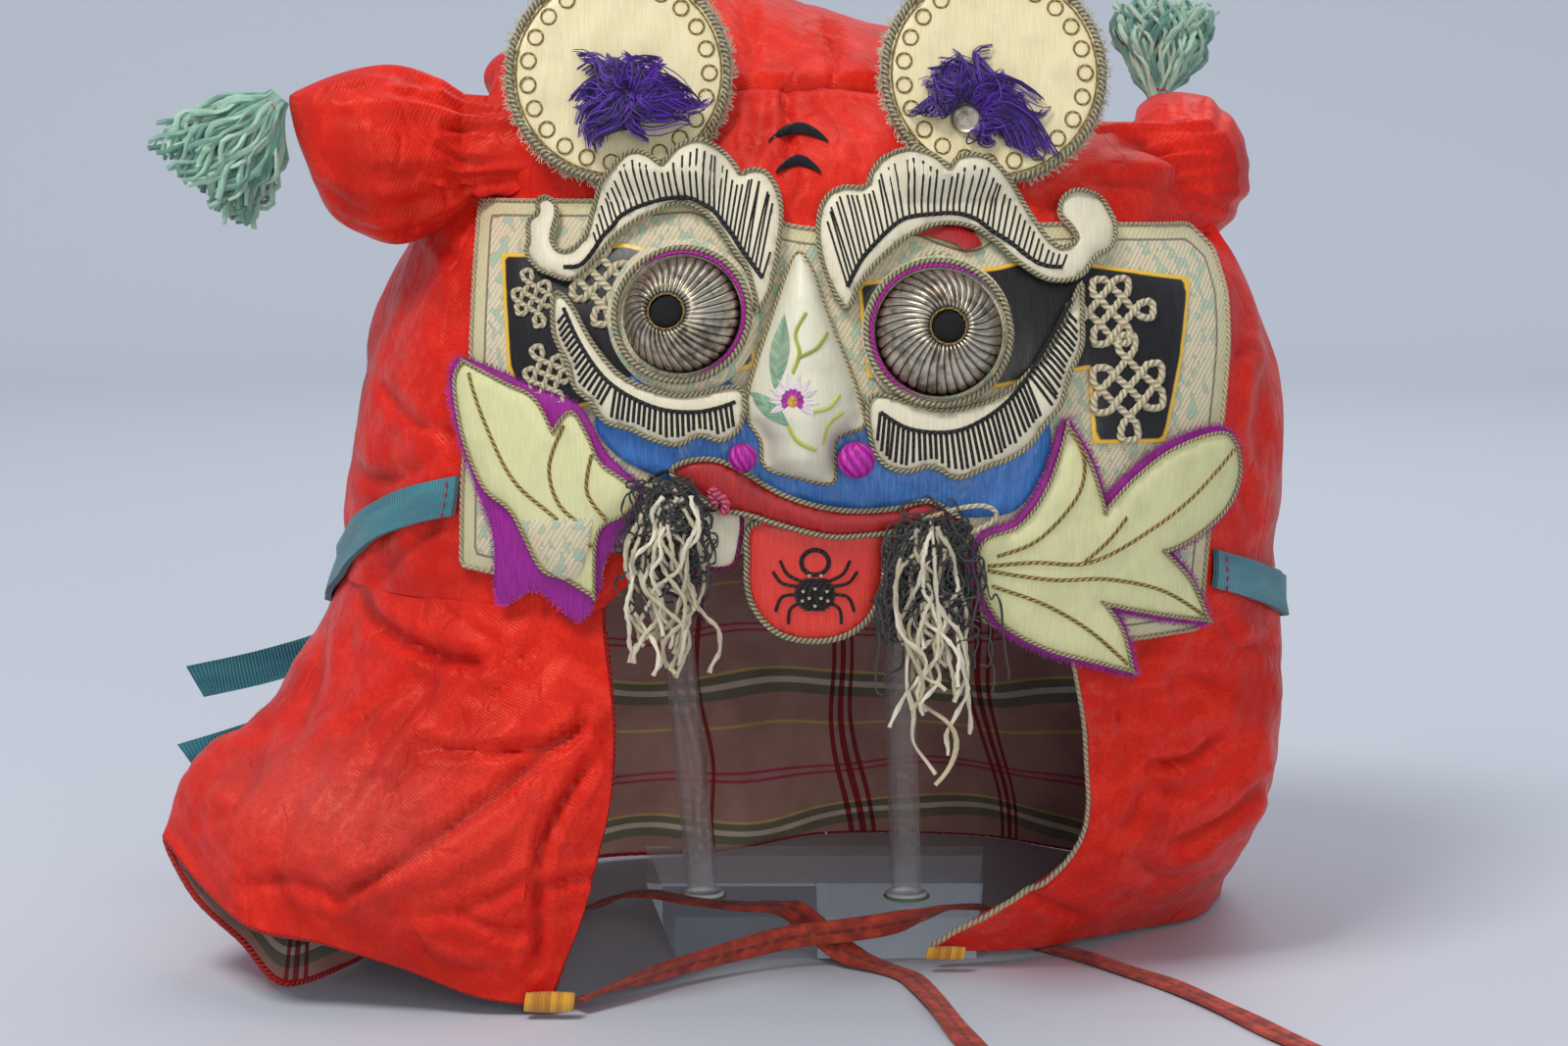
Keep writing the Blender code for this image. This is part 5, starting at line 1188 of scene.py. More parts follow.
@dataclass
class Ties:
    """The two tie strips, sewn on with yellow thread and lying loose on the stand and the floor."""

    width: float = 6.4
    thick: float = 1.2
    around: int = 16
    # routes: across, depth, height and roll at each point
    left: tuple = (
        (-55, -75.5, 2.8, 10), (-45, -67, 4.2, 40), (-31, -54, 5.2, 62), (-18, -45, 6.4, 70),
        (-6, -40, 8, 76), (8, -38.8, 9.4, 78), (19, -37, 10.8, 66), (28, -33.5, 12.4, 34),
        (32, -31, 12.6, 18), (37, -27.6, 12, 4), (42, -24.5, 10.6, 0), (47, -22, 6.2, 0), (52, -21.5, 2.2, 0),
        (58, -25.5, 1, 0), (64, -32, 1, 0), (72, -43, 1, 0), (82, -57, 1, 0), (92, -76, 1, 0),
        (101, -96, 1, 0), (112, -116, 1, 0), (121, -128, 1, 0))
    right: tuple = (
        (-92, 15, 6.5, 20), (-84, 17, 3, 8), (-74, 16, 1.2, 0), (-64, 11, 1.2, 0), (-56, 4, 3.6, 0),
        (-49, -4, 8.4, 0), (-41, -13, 11.5, 0), (-30, -20.5, 11.5, 0), (-18, -25, 11.5, 0),
        (-11, -27, 11.9, -8), (-6, -30.6, 12, -30), (-1, -34, 9, -52), (4, -36.2, 5, -48),
        (9.5, -38.6, 2.4, -24), (16, -42.5, 1, 0), (21, -49, 1, 0), (24, -60, 1.2, 0), (27, -76, 1.8, 14),
        (31, -96, 1.2, 0), (35, -114, 1, 0), (38, -128, 1, 0))
    # tacks: name, place, half sizes
    tacks: tuple = (("left_tie_tack", (-60.5, -80.6, 4.0), (5.5, 1.6, 2.6)),
                    ("right_tie_tack", (30, -43.6, 5), (4.4, 1.1, 1.8)))

    def strip(self, route: tuple) -> tuple[Shape, Array]:
        """A strip with rounded edges: an oval ring rolled as it follows the route.

        Args:
            route: across, depth, height and roll at each point.
        Returns:
            The shape and its middle line.
        """
        row = even(run(route, len(route) * 12), 2.0)
        centre = row[:, :3].copy()
        ahead = unit(np.gradient(centre, axis=0))
        aside = unit(np.cross(ahead, UP))
        above = np.cross(aside, ahead)
        roll = np.radians(row[:, 3] + 3 * np.sin(np.arange(len(row)) * 0.33))[:, None]
        wide = aside * np.cos(roll) + above * np.sin(roll)
        deep = np.cross(wide, ahead)
        turn = turns(self.around)
        across = np.sign(np.cos(turn)) * np.abs(np.cos(turn)) ** 0.5 * self.width / 2
        high = np.sign(np.sin(turn)) * np.abs(np.sin(turn)) ** 0.7 * self.thick / 2
        high = high * (1 - 0.45 * np.exp(-((across / 0.9) ** 2)))
        rings = centre[:, None] + wide[:, None] * across[:, None] + deep[:, None] * high[:, None]
        lay = joined(lengths(centre)[:, None], np.append(across, across[0]))
        return Shape().sleeve(rings, lay, (centre[0], centre[-1])), centre

    def build(self) -> None:
        for side, route in ((Side.LEFT, self.left), (Side.RIGHT, self.right)):
            shape, centre = self.strip(route)
            name = f"{side}_tie"
            made = shape.build_for(name, "strip", TIE)
        for name, place, halves in self.tacks:
            self.tack(name, np.array(place, float), np.array(halves, float))

    def tack(self, name: str, place: Array, halves: Array) -> None:
        """A block of satin stitches: parallel loops of thread side by side along its length."""
        turn = turns(12)
        across = place[0] + np.linspace(-1, 1, int(halves[0] * 3.2)) * (halves[0] - 0.3)
        bow = np.cos(np.linspace(-1.2, 1.2, len(across)))[:, None]
        loops = joined(
            across[:, None] + 0.25 * np.sin(turn), place[1] + (halves[1] - 0.35) * np.cos(turn),
            place[2] + (halves[2] - 0.35) * (0.8 + 0.2 * bow) * np.sin(turn))
        tones = np.random.default_rng(5).uniform(0, 1, len(across))
        shape = Shape().tubes(loops, 0.34, sides=5, closed=True, tones=tones, out=np.array((1.0, 0, 0)))
        shape.build_for(name, "stitches", YELLOW)


def profile_shares(height: Callable, count: int) -> Array:
    """Shares from 0 to 1 that step evenly along a line; height gives its points from shares."""
    fine = np.linspace(0, 1, 801)
    along = lengths(height(fine))
    return np.interp(np.linspace(0, along[-1], count), along, fine)


@dataclass
class Hood:
    """The padded hood in two halves, and the cape below it in two more."""

    wall: float = 4.5
    cape_wall: tuple = (3.2, 2.0)   # at the neck and at the hem
    columns: int = 380
    rows: int = 132
    cape_rows: int = 76
    rule: tuple = (20, 60)   # row and column along which the cloth is measured
    # creases at the sides and back: ends, width, depth
    creases: tuple = (
        ((-104, -40, 160), (-112, -10, 140), 4.0, -1.4), ((104, -40, 130), (106, -20, 104), 3.0, -1.0),
        ((-110, 10, 170), (-112, 40, 140), 4.5, -1.5), ((108, 10, 168), (108, 44, 138), 4.5, -1.5),
        ((-40, 84, 190), (-20, 92, 140), 4.0, -1.5), ((36, 84, 188), (52, 86, 138), 4.0, -1.5),
        ((-70, 70, 130), (-76, 74, 100), 3.5, -1.4), ((80, 66, 132), (84, 66, 102), 3.5, -1.4),
        ((-50, 20, 226), (-20, 40, 214), 3.5, -1.2), ((0, 20, 222), (20, 44, 206), 3.5, -1.2))
    # shoulders where the knobs are sewn on: place, reach, rise
    shoulders: tuple = (((-76, -36, 193), 20, 10.0), ((80, -34, 184), 21, 9.0))

    def detail(self, points: Array, normal: Array) -> tuple[Array, Array]:
        """Depth of the hood's fine shape, held flat beneath the face's panel, and the painted shade in its
        creases.
        """
        depth = 1.3 * creased(points, self.creases) + 0.4 * rumple(points, 30.0, 3)
        depth = depth + 0.45 * crumple(points * (1, 1, 0.5), 32.0, 13) + 0.1 * crumple(points, 12.0, 14)
        drawn = drawn_depth(points, normal, HOOD_CREASES)
        depth = depth + 0.4 * folds(points, (1.0, 0.7, -0.3), 19.0, 33) + drawn
        flat = points.reshape(-1, 3)
        away, inside, _ = gap_to_loop(loop(PANEL, 4.0), flat[:, 0], flat[:, 2])
        calm = np.where(inside & (flat[:, 1] < 0), 0, np.clip(away / 7, 0, 1))
        calm = np.where(flat[:, 1] > -20, 1, calm).reshape(depth.shape)
        depth = np.clip(depth * calm, -3.2, 0.9)
        for place, reach, rise in self.shoulders:
            depth = depth + calm * rise * np.exp(-(((points - place) / reach) ** 2).sum(-1))
        return depth, np.clip(-drawn * calm, 0, 2)

    def build(self) -> None:
        """Make the hood and the cape as fine closed walls, silk outside and checks inside."""
        ring = profile_shares(lambda s: hood_skin(-360 * s, np.full(len(s), 130.0)), self.columns + 1)
        turn = np.union1d(-360 * ring, (-180.0,))[::-1]
        crest = HOOD[-1][0]
        rise = profile_shares(
            lambda s: hood_skin(np.full(len(s), -50.0), NECK_Z + (crest - NECK_Z) * s), self.rows)
        foot = np.interp(turn, *HOOD_FOOT)
        z = foot + (crest - foot) * rise[:, None]
        outer = hood_skin(turn, z)
        normal = grid_normals(np.concatenate([outer[:, -3:-1], outer, outer[:, 1:3]], 1))[:, 2:-2]
        inner = outer - normal * self.wall
        depth, soil = self.detail(outer, normal)
        soil = np.concatenate([soil, np.zeros((1, len(turn)))])
        outer = outer + normal * depth[..., None]
        mid = section(crest)
        top = np.broadcast_to((mid[0], mid[2], float(CROWN_Z)), (1, len(turn), 3))
        outer = np.concatenate([outer, top])
        inner = np.concatenate([inner, top - (0, 0, self.wall)])
        lay = joined(lengths(outer[:, self.rule[1]])[:, None], lengths(outer[self.rule[0]]))
        back = int(np.argmin(np.abs(turn + 180)))
        for made in self.halves("hood", (outer, inner, lay), back, True, fade=np.zeros_like(soil), soil=soil):
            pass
        self.cape()

    @staticmethod
    def halves(name: str, grids: tuple, back: int, pole: bool, **numbers: Array) -> list[bpy.types.Object]:
        """Make the left and the right half of a wall, which meet in one column.

        Args:
            name: the wall's name.
            grids: its outer skin, its inner skin and their places on the cloth.
            back: the column where the halves meet.
            pole: whether the last row is a single place.
            numbers: numbers kept on the points.
        Returns:
            The two objects.
        """
        made = []
        for side, pick in ((Side.LEFT, slice(0, back + 1)), (Side.RIGHT, slice(back, None))):
            shape = Shape().shell(*(grid[:, pick] for grid in grids), pole=pole,
                                  **{key: value[:, pick] for key, value in numbers.items()})
            made.append(shape.build_for(f"{name}_{side}", "silk", RED, LINING))
        return made

    def cape(self) -> None:
        """Make the cape's halves and the piping along its hem and front edges."""
        place = profile_shares(lambda s: cape_skin(s * (len(CAPE) - 1), np.full(len(s), 0.6)), self.columns)
        place = np.union1d(place * (len(CAPE) - 1), (CAPE_BACK_ROW,))
        drop = np.linspace(1, 0, self.cape_rows)[:, None]
        outer = cape_skin(place, drop)
        normal = grid_normals(outer)
        outer = outer + normal * bump_field(FOLDS, place, drop)[..., None]
        thick = self.cape_wall[0] + (self.cape_wall[1] - self.cape_wall[0]) * drop
        inner = outer - normal * thick[..., None]
        drawn = drawn_depth(outer, normal, FLAP_CREASES)
        detail = 1.15 * drawn + 0.4 * rumple(outer, 26.0, 8)
        detail = detail + 0.4 * crumple(outer * (1, 1, 0.5), 28.0, 9) + 0.12 * crumple(outer, 10.0, 10)
        detail = detail + 0.5 * folds(outer, (1.0, 0.4, 0.45), 17.0, 37)
        near = np.clip((1 - drop) * 8, 0, 1) * np.clip(drop * 8, 0, 1)
        outer = outer + normal * (np.clip(detail, -thick * 0.85, 1.5) * near)[..., None]
        for grid in (outer, inner):
            grid[-1, :, 2] = NECK_Z
            np.clip(grid[..., 2], 0.8, None, out=grid[..., 2])
        fall = np.linalg.norm(np.diff(outer, axis=0), axis=-1).mean(1)
        lay = joined(np.concatenate([[0], np.cumsum(fall)])[:, None], lengths(outer[30]))
        worn = np.exp(-((place - 3.0) / 1.6) ** 2) * np.exp(-(((drop - 0.55) / 0.2) ** 2)) * 1.4
        back = int(np.argmin(np.abs(place - CAPE_BACK_ROW)))
        # Painted shade: the silk darkens along the drawn creases, by their depth.
        soil = np.clip(-drawn, 0, 2)
        for made in self.halves("cape", (outer, inner, lay), back, False, fade=worn, soil=soil):
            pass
        middle = (outer + inner) / 2
        self.piping("hem_piping_left", middle[0, :back], PIPING, 0.9)
        self.piping("hem_piping_right", middle[0, back:], PIPING, 0.9)
        self.piping("flap_piping_left", middle[:-4, 0], PIPING, 0.75)
        self.piping("flap_piping_right", middle[:-4, -1], PALE_PIPING, 0.8)

    def piping(self, name: str, line: Array, finish: Finish, radius: float) -> None:
        """A corded edge along a line of points."""
        line = even(line, 1.2)
        line[:, 2] = np.maximum(line[:, 2], radius + 0.1)
        Shape().tubes(line, radius, sides=8, ply=0.05, pitch=3.0).build(name, finish)


@dataclass
class Ribbon:
    """The teal ribbon round the neck, its knot and its two free ends."""

    width: float = 9.0
    cut: float = 10.1   # a second width, a little over the ribbon's; declared width, as no sheet's side may be under 10 mm
    thick: float = 0.9
    off: float = 1.5   # height over the silk
    knot_turn: float = -138.0
    # way round the neck: turn and height
    route: tuple = (
        (-41, 116), (-49, 113), (-60, 107), (-74, 96), (-88, 87), (-104, 82), (-122, 80), (-142, 79),
        (-165, 78), (-190, 78), (-215, 78), (-235, 79), (-255, 81), (-272, 84), (-288, 89), (-300, 94),
        (-311, 98.5))
    # free ends: name and points
    ends: tuple = (
        ("ribbon_end_upper", ((-99, 67.3, 82.4), (-107, 72, 76), (-115, 75, 66), (-128, 74, 58),
                              (-146, 68, 53), (-164, 61, 50))),
        ("ribbon_end_lower", ((-97.6, 68.6, 75), (-104, 74, 64), (-112, 77, 52), (-126, 76, 42),
                              (-147, 70, 34), (-167, 64, 28.5))))

    def band(self) -> None:
        """The band: rows of points laid on the hood and the cape, raised by a constant height."""
        path = run(self.route, 300)
        rows = np.linspace(-0.5, 0.5, 9)[:, None] * self.width
        places = np.interp(-path[:, 0], [-r[0] for r in CAPE], np.arange(len(CAPE)))
        heights = path[:, 1] + rows
        upper = hood_skin(np.broadcast_to(path[:, 0], heights.shape), np.maximum(heights, NECK_Z))
        drop = np.clip((NECK_Z - heights) / (NECK_Z - CAPE_UPPER_Z) / 3, 0, None)
        lower = cape_skin(np.broadcast_to(places, heights.shape), drop)
        skin = np.where((heights >= NECK_Z)[..., None], upper, lower)
        skin[..., 2] = heights
        normal = grid_normals(skin)
        wave = 0.25 * np.sin(path[:, 0] * 0.5 + rows * 0.5)[..., None]
        along = lengths(skin[4])
        lay = joined(rows + 4.5, along)
        outer = skin + normal * (self.thick + self.off + wave)
        inner = skin + normal * (self.off - 0.7 + wave)
        shape = Shape().shell(outer, inner, lay, kinds=(0, 0))
        made = shape.build_for("neck_ribbon", "band", TEAL)
        raised = outer + normal * 0.2
        seams = np.stack([raised[row:row + 2, column] for column in (5, -6) for row in (0, 2, 4, 6)])
        Shape().tubes(seams, 0.3, sides=5).build("ribbon_stitches", PINK_STITCH)
        middle = int(np.argmin(np.abs(path[:, 0] - self.knot_turn)))
        self.knot(skin[4, middle], normal[4, middle])

    def knot(self, place: Array, out: Array) -> None:
        """A flat knot: three folds of ribbon, each a squashed bent tube over the last."""
        across = unit(np.cross(out, UP))
        shape = Shape()
        middle = place + out * (self.thick + self.off + 3.6)
        for lean, reach, lift, wide in ((0.15, 5.6, -0.8, 4.2), (-0.5, 5.4, 0.1, 3.6), (1.25, 5.4, 0.8, 3.2)):
            share = np.linspace(-1, 1, 17)[:, None]
            way = across * math.cos(lean) + UP * math.sin(lean)
            line = middle + way * reach * share + out * (lift - 1.6 * share**2)
            shape.tubes(line, wide * np.sqrt(1.02 - share[:, 0] ** 2 * 0.6), sides=12, flat=0.38, out=out)
        shape.build_for("ribbon_knot", "folds", TEAL)

    def end(self, name: str, route: tuple, seed: int) -> None:
        """A free end: a ribbon with a soft roll and cut slanting at its tip."""
        line = even(run(route, 90), 1.2)
        ahead = unit(np.gradient(line, axis=0))
        side = unit(np.cross(ahead, (0, 1.0, 0)))
        side = np.where((side[:, 2] < 0)[:, None], -side, side)
        deep = unit(np.cross(side, ahead))
        share = np.linspace(0, 1, len(line))
        across = np.linspace(-0.5, 0.5, 9)
        curl = 0.5 * np.sin(share * 6 + seed)[:, None] * np.cos(across * 3)
        slant = np.where(share > 0.93, (share - 0.93) * 18, 0)[:, None] * across * 2.5
        skin = line[:, None] + side[:, None] * (across * self.width)[:, None]
        skin = skin + deep[:, None] * curl[..., None] + ahead[:, None] * slant[..., None]
        along = lengths(line)
        lay = joined((across * self.width + 4.5), along[:, None])
        half = deep[:, None] * self.thick * 0.4
        shape = Shape().shell(skin + half, skin - half, lay, kinds=(0, 0))
        made = shape.build_for(name, "cloth", TEAL)

    def build(self) -> None:
        """Make the band, the knot and the ends."""
        self.band()
        for seed, (name, route) in enumerate(self.ends):
            self.end(name, route, seed)


@dataclass
class Stand:
    """The clear stand: polished faces, whitish feet of the rods and faint rings of glue."""

    # rods: side, place across at the foot and at the top
    rods: tuple = ((Side.LEFT, -27.7, -45.5), (Side.RIGHT, 22, 15.5))
    tall: float = 194.0   # height of a rod
    depth: float = -11.0   # place of the rods
    slab: float = 10.0   # height of the base
    radius: float = 3.8   # of a rod

    def build(self) -> None:
        """Dress the stand's nodes and add the feet."""
        for name in ("stand_base", "stand_rod_left", "stand_rod_right", "stand_top"):
            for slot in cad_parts[name].material_slots:
                slot.material = ACRYLIC.material()
        for side, foot, top in self.rods:
            for label, height, reach, minor, finish in (("foot", 1.1, self.radius + 0.75, 0.65, FROST),
                                                        ("glue", 0.5, self.radius + 1.5, 0.4, GLUE)):
                lean = (top - foot) / self.tall * height
                plan = circle(28) * reach + (foot + lean, self.depth)
                ring = np.insert(plan, 2, self.slab + height, axis=1)
                shape = Shape().tubes(ring, minor, sides=8, closed=True, out=UP)
                shape.build(f"rod_{label}_{side}", finish)


LEFT_PATCH = ((-70.5, 169), (-57, 169.5), (-43, 172), (-16, 166), (-14, 146), (-34, 142), (-52, 137),
              (-63.5, 133.5), (-68.5, 145))
RIGHT_PATCH = ((8, 164), (38.5, 167), (50, 169.5), (60, 167), (83, 163), (80, 146), (76, 128.5), (59.5, 129),
               (58.5, 145), (30, 140), (10, 144))
MUZZLE = ((-49, 133), (-43, 126), (-31.5, 121), (-21, 119), (-8, 117), (7, 114), (22, 114.5),
          (35, 113.5), (44, 116), (50, 128), (48, 136), (38, 136.5), (26, 134.5), (12, 137),
          (-4, 134), (-15, 139), (-22, 144.5), (-31, 145.5), (-40, 145), (-46, 138))
# Brows and the dark arcs on them, drawn in the camera's picture; a notch between lobes is given twice
LEFT_BROW = (
    (556, 200), (566, 206), (567, 219), (564, 231), (562, 243), (567, 253), (577, 256), (587, 251),
    (596, 241), (601, 229), (604, 215), (608, 202), (611, 189), (617, 179), (624, 171), (630, 163),
    (637, 157), (647, 153), (657, 155), (667, 161), (675, 168), (675, 168), (684, 155), (694, 147),
    (706, 142), (719, 143), (731, 149), (742, 158), (750, 168), (755, 178), (755, 178), (761, 174),
    (769, 172), (780, 174), (788, 183), (794, 195), (797, 210), (797, 227), (795, 246), (792, 267),
    (788, 284), (785, 296), (778, 310), (771, 320), (771, 305), (767, 289), (761, 271), (747, 252),
    (735, 234), (723, 220), (711, 211), (695, 206), (681, 209), (668, 215), (654, 221), (642, 228),
    (632, 236), (621, 246), (613, 257), (604, 267), (594, 277), (583, 284), (573, 284), (564, 280),
    (552, 276), (544, 269), (538, 260), (536, 252), (539, 245), (538, 234), (539, 224), (545, 219),
    (549, 214), (547, 207), (550, 202),
)
RIGHT_BROW = (
    (865, 315), (855, 304), (846, 286), (839, 266), (835, 244), (835, 224), (839, 208), (848, 196),
    (862, 190), (878, 191), (886, 188), (886, 188), (889, 177), (898, 163), (912, 155), (927, 151),
    (943, 153), (956, 159), (966, 168), (970, 172), (970, 172), (975, 162), (985, 157), (999, 157),
    (1012, 162), (1025, 175), (1037, 192), (1048, 212), (1060, 230), (1071, 244), (1083, 252), (1095, 248),
    (1100, 240), (1092, 228), (1083, 219), (1082, 208), (1088, 198), (1099, 193), (1112, 195), (1124, 201),
    (1133, 215), (1138, 226), (1139, 239), (1133, 253), (1121, 259), (1115, 266), (1108, 277), (1097, 284),
    (1081, 286), (1066, 283), (1050, 274), (1034, 262), (1019, 248), (1003, 236), (987, 229), (970, 227),
    (952, 229), (934, 236), (920, 245), (905, 257), (892, 270), (880, 286), (872, 300), (869, 310),
)
LEFT_ARC = ((576, 273), (590, 272), (599, 265), (608, 253), (616, 241), (626, 231), (633, 222), (644, 215),
            (656, 210), (668, 206), (681, 203), (694, 202), (706, 203), (718, 209), (728, 215), (737, 226),
            (747, 239), (757, 255), (768, 270), (778, 284))
RIGHT_ARC = ((865, 293), (871, 280), (880, 264), (894, 248), (907, 235), (920, 225), (934, 221), (952, 219),
             (970, 218), (985, 220), (999, 226), (1012, 236), (1028, 246), (1041, 256), (1054, 266),
             (1068, 272), (1083, 273))
LEFT_LID = (
    (-57, 160), (-53.5, 158), (-48.5, 150), (-41.5, 143), (-30, 139.8), (-17.5, 141.5), (-17, 134),
    (-21, 130.5), (-26, 131.5), (-30.5, 129.5), (-36, 130.5), (-40.5, 132.5), (-46, 134),
    (-49, 138), (-52.5, 141), (-54, 146), (-57, 152),
)
RIGHT_LID = (
    (56, 162), (53, 156.5), (46.5, 146.5), (38, 139.5), (26, 136.8), (11.5, 140), (10.8, 131),
    (13.5, 125.8), (18.5, 124), (24, 125), (29.5, 122.6), (36, 125), (40.5, 126.5), (45, 129.5),
    (48, 133.5), (51.5, 137.5), (53, 143), (56, 149.5), (56, 156),
)
NOSE = ((-5.3, 169.5), (-9.2, 160), (-15, 143), (-15.8, 135.5), (-13, 130.5), (-12, 125), (-4.5, 122.5),
        (2.6, 121.4), (3.2, 125.5), (3.6, 131), (9.2, 133.5), (8.8, 138), (6.5, 145), (1.5, 157), (-2, 166.5))
UPPER_LIP = (
    (-32, 124), (-26.5, 126.5), (-19.5, 125.5), (-8, 119), (4, 115.8), (15.5, 116), (24, 117.5),
    (32.5, 111), (26, 108.5), (21, 111.5), (12, 110.5), (2.5, 110), (-7, 112), (-15, 114.5),
    (-22, 116), (-28, 119.5),
)
TEETH = ((-17.6, 115), (-18, 106), (-20.5, 102.5), (-29.5, 103), (-40, 106.5), (-48, 108),
         (-47.5, 111), (-34, 113), (-25, 115))
TONGUE = ((-14.5, 112.5), (-16, 104.5), (-15.5, 96), (-11.5, 89.5), (-5.5, 86.5), (3, 86.5),
          (9.5, 90), (13.2, 96.5), (14, 104.5), (13.5, 111.5), (-0.5, 113))
RIGHT_LEAF = (
    (53, 133), (53, 133), (58, 125), (61.5, 114.5), (61.5, 114.5), (68, 121.5), (77, 127.5), (88.5, 129.5),
    (92, 121.5), (89, 113), (81.5, 107), (75, 104.5), (75, 104.5), (81, 97.5), (85.5, 87.5), (85.5, 87.5),
    (73, 90.5), (62, 93.5), (62, 93.5), (66, 87), (68.5, 77.5), (68.5, 77.5), (59.5, 80.5), (49, 84),
    (39, 90.5), (34.5, 100.5), (35, 108.5), (43, 112), (49, 120.5),
)
LEFT_LEAF = (
    (-77, 145.5), (-77, 145.5), (-68, 141.5), (-61.5, 138.5), (-57.5, 131.5), (-57.5, 131.5), (-53.5, 136),
    (-50, 131), (-47, 125), (-39.5, 119.5), (-42, 114.5), (-48, 110), (-49, 96), (-49, 96), (-55.5, 100),
    (-60.5, 102), (-66.5, 113.5), (-72.5, 118.5), (-77, 129), (-79, 141),
)
LEFT_BACKING = (
    (-79.5, 146), (-70, 144), (-60, 140), (-52, 137), (-46, 127), (-38, 119), (-41, 112),
    (-47, 104), (-48.5, 97), (-53, 90), (-62, 96.5), (-70.5, 93), (-71.5, 108), (-75, 118),
    (-78.5, 128), (-81, 138),
)
# Middles of the ears across
EAR_X = (-45, 39)
PUFF_REACH = 2.2
# Rise of a brow over an ear: reach, its fade, height where the rise starts, its fade, rise
BROW_OVER = (24, 4, 180, 5, 4.4)


def brow_lift(x: Array, z: Array) -> Array:
    """Extra height of a brow where it passes over the foot of an ear."""
    reach, fade, start, soft, rise = BROW_OVER
    total = np.zeros(np.shape(x))
    for ear_x in EAR_X:
        near = np.clip((reach - np.abs(x - ear_x)) / fade, 0, 1)
        total = total + near * rise * np.clip((z - start) / soft, 0, 1)
    return total


def nose_rise(x: Array, z: Array) -> Array:
    """Crown of the nose: a parabola across, high along its middle and highest near its foot."""
    half = np.interp(z, (121.5, 126, 131, 136, 143, 173), (6, 7.2, 8, 12, 11, 1.5))
    across = np.clip(1 - ((x + 3.6) / half) ** 2, 0, None)
    return 9 * across * np.interp(z, (121.5, 127, 136, 160, 173), (0.15, 0.85, 1, 0.55, 0.1))


def outward(line: Array) -> Array:
    """Unit directions that point out of a closed loop, one for each of its points."""
    after = np.roll(line, -1, 0)
    ahead = unit(after - np.roll(line, 1, 0))
    area = (line[:, 0] * after[:, 1] - after[:, 0] * line[:, 1]).sum()
    return joined(ahead[:, 1], -ahead[:, 0]) * np.sign(area)


def grown(outline: tuple, by: float) -> Array:
    """An outline moved outwards."""
    line = loop(outline, 2.0)
    return line + outward(line) * by


@dataclass(frozen=True)
class Cut:
    """One sewn piece: its outline, its heights, its finish, and the cord along its edge."""

    name: str
    outline: tuple
    low: float
    high: float
    finish: Finish
    edging: Optional[Finish] = None
    cord: float = 0.5
    puff: float = 0.4
    spacing: float = 1.7
    step: float = 1.1
    crisp: bool = False

    def line(self) -> Array:
        """The outline as an even loop, smooth or with its corners kept."""
        if self.crisp:
            return even(self.outline, self.step, closed=True)
        return loop(self.outline, self.step)

    def lift(self, x: Array, z: Array, edge: Array) -> Array:
        """Height of the piece's top above its plain thickness: a puff that grows away from its edge."""
        return puff(self.puff, PUFF_REACH)(x, z, edge)

    def over(self, places: Array, extra: float) -> Array:
        """Points that stand a little above the piece's top at places on it."""
        x, z = places[..., 0], places[..., 1]
        edge = gap_to_loop(self.line(), x.ravel(), z.ravel())[0].reshape(x.shape)
        return face_point(x, z, self.high + self.lift(x, z, edge) + extra)

    def build(self) -> None:
        """Sew the piece on, and lay the cord along its edge."""
        line = self.line()
        shape = sewn(line, self.spacing, face_point, self.low, self.high, self.lift, 0.9)
        shape.build_for(self.name, "cloth", self.finish)
        if self.edging is not None:
            self.edge_cord(line)

    def edge_cord(self, line: Array) -> None:
        """A twisted cord that follows the edge at the height of the top."""
        line = even(line, 0.55, closed=True)
        path = face_point(*line.T, self.high + self.lift(*line.T, np.zeros(len(line))) - 0.15)
        shape = Shape().tubes(path, self.cord, sides=7, closed=True, ply=0.14, pitch=1.15, out=FRONT)
        shape.build(f"{self.name}_cord", self.edging)


@dataclass(frozen=True)
class BrowCut(Cut):
    """A brow, drawn in the camera's picture, which rises to pass over the foot of an ear."""

    def on_face(self, points: Array) -> Array:
        """Places on the face of points of the picture."""
        return seen(points, lambda x, z: self.high + brow_lift(x, z))

    def line(self) -> Array:
        """The outline, carried from the picture to the face."""
        return even(self.on_face(loop(self.outline, 3.0)), self.step, True)

    def lift(self, x: Array, z: Array, edge: Array) -> Array:
        """The puff and the rise over the ear."""
        return brow_lift(x, z) + super().lift(x, z, edge)


@dataclass(frozen=True)
class NoseCut(Cut):
    """The nose, padded high along its middle."""

    def lift(self, x: Array, z: Array, edge: Array) -> Array:
        """The nose's crown."""
        return nose_rise(x, z) * np.clip(edge / 1.5, 0, 1)


def stitches(cut: Cut, arc: Array, ways: Array, margin: float, most: float, thick: float, seed: int) -> Shape:
    """Straight stitches that start on an arc and run to a margin from the piece's edge.

    Each stitch is marched along its way until it comes within the margin.

    Args:
        cut: the piece that carries them.
        arc: their first points, across and up.
        ways: their directions.
        margin: distance kept from the edge.
        most: greatest length.
        thick: radius of the thread.
        seed: seed of their unevenness.
    Returns:
        The shape.
    """
    dice = np.random.default_rng(seed)
    ways = unit(ways + dice.normal(size=ways.shape) * 0.03)
    march = np.arange(0, most, 0.3)
    spots = arc[:, None] + ways[:, None] * march[:, None]
    line = cut.line()
    away, inside, _ = gap_to_loop(line, spots[..., 0].ravel(), spots[..., 1].ravel())
    free = (inside & (away > margin)).reshape(spots.shape[:2]) | (march < 2.5)
    reach = march[np.cumprod(free, 1).sum(1).clip(1, len(march)) - 1] * dice.uniform(0.93, 1, len(arc))
    kept = reach > 2.6
    share = np.linspace(0, 1, 5)[:, None]
    flat = arc[kept, None] + ways[kept, None] * reach[kept, None, None] * share
    return Shape().tubes(cut.over(flat, thick * 0.35), thick, sides=4, flat=0.7,
                         tones=dice.uniform(0, 1, kept.sum()), out=FRONT)


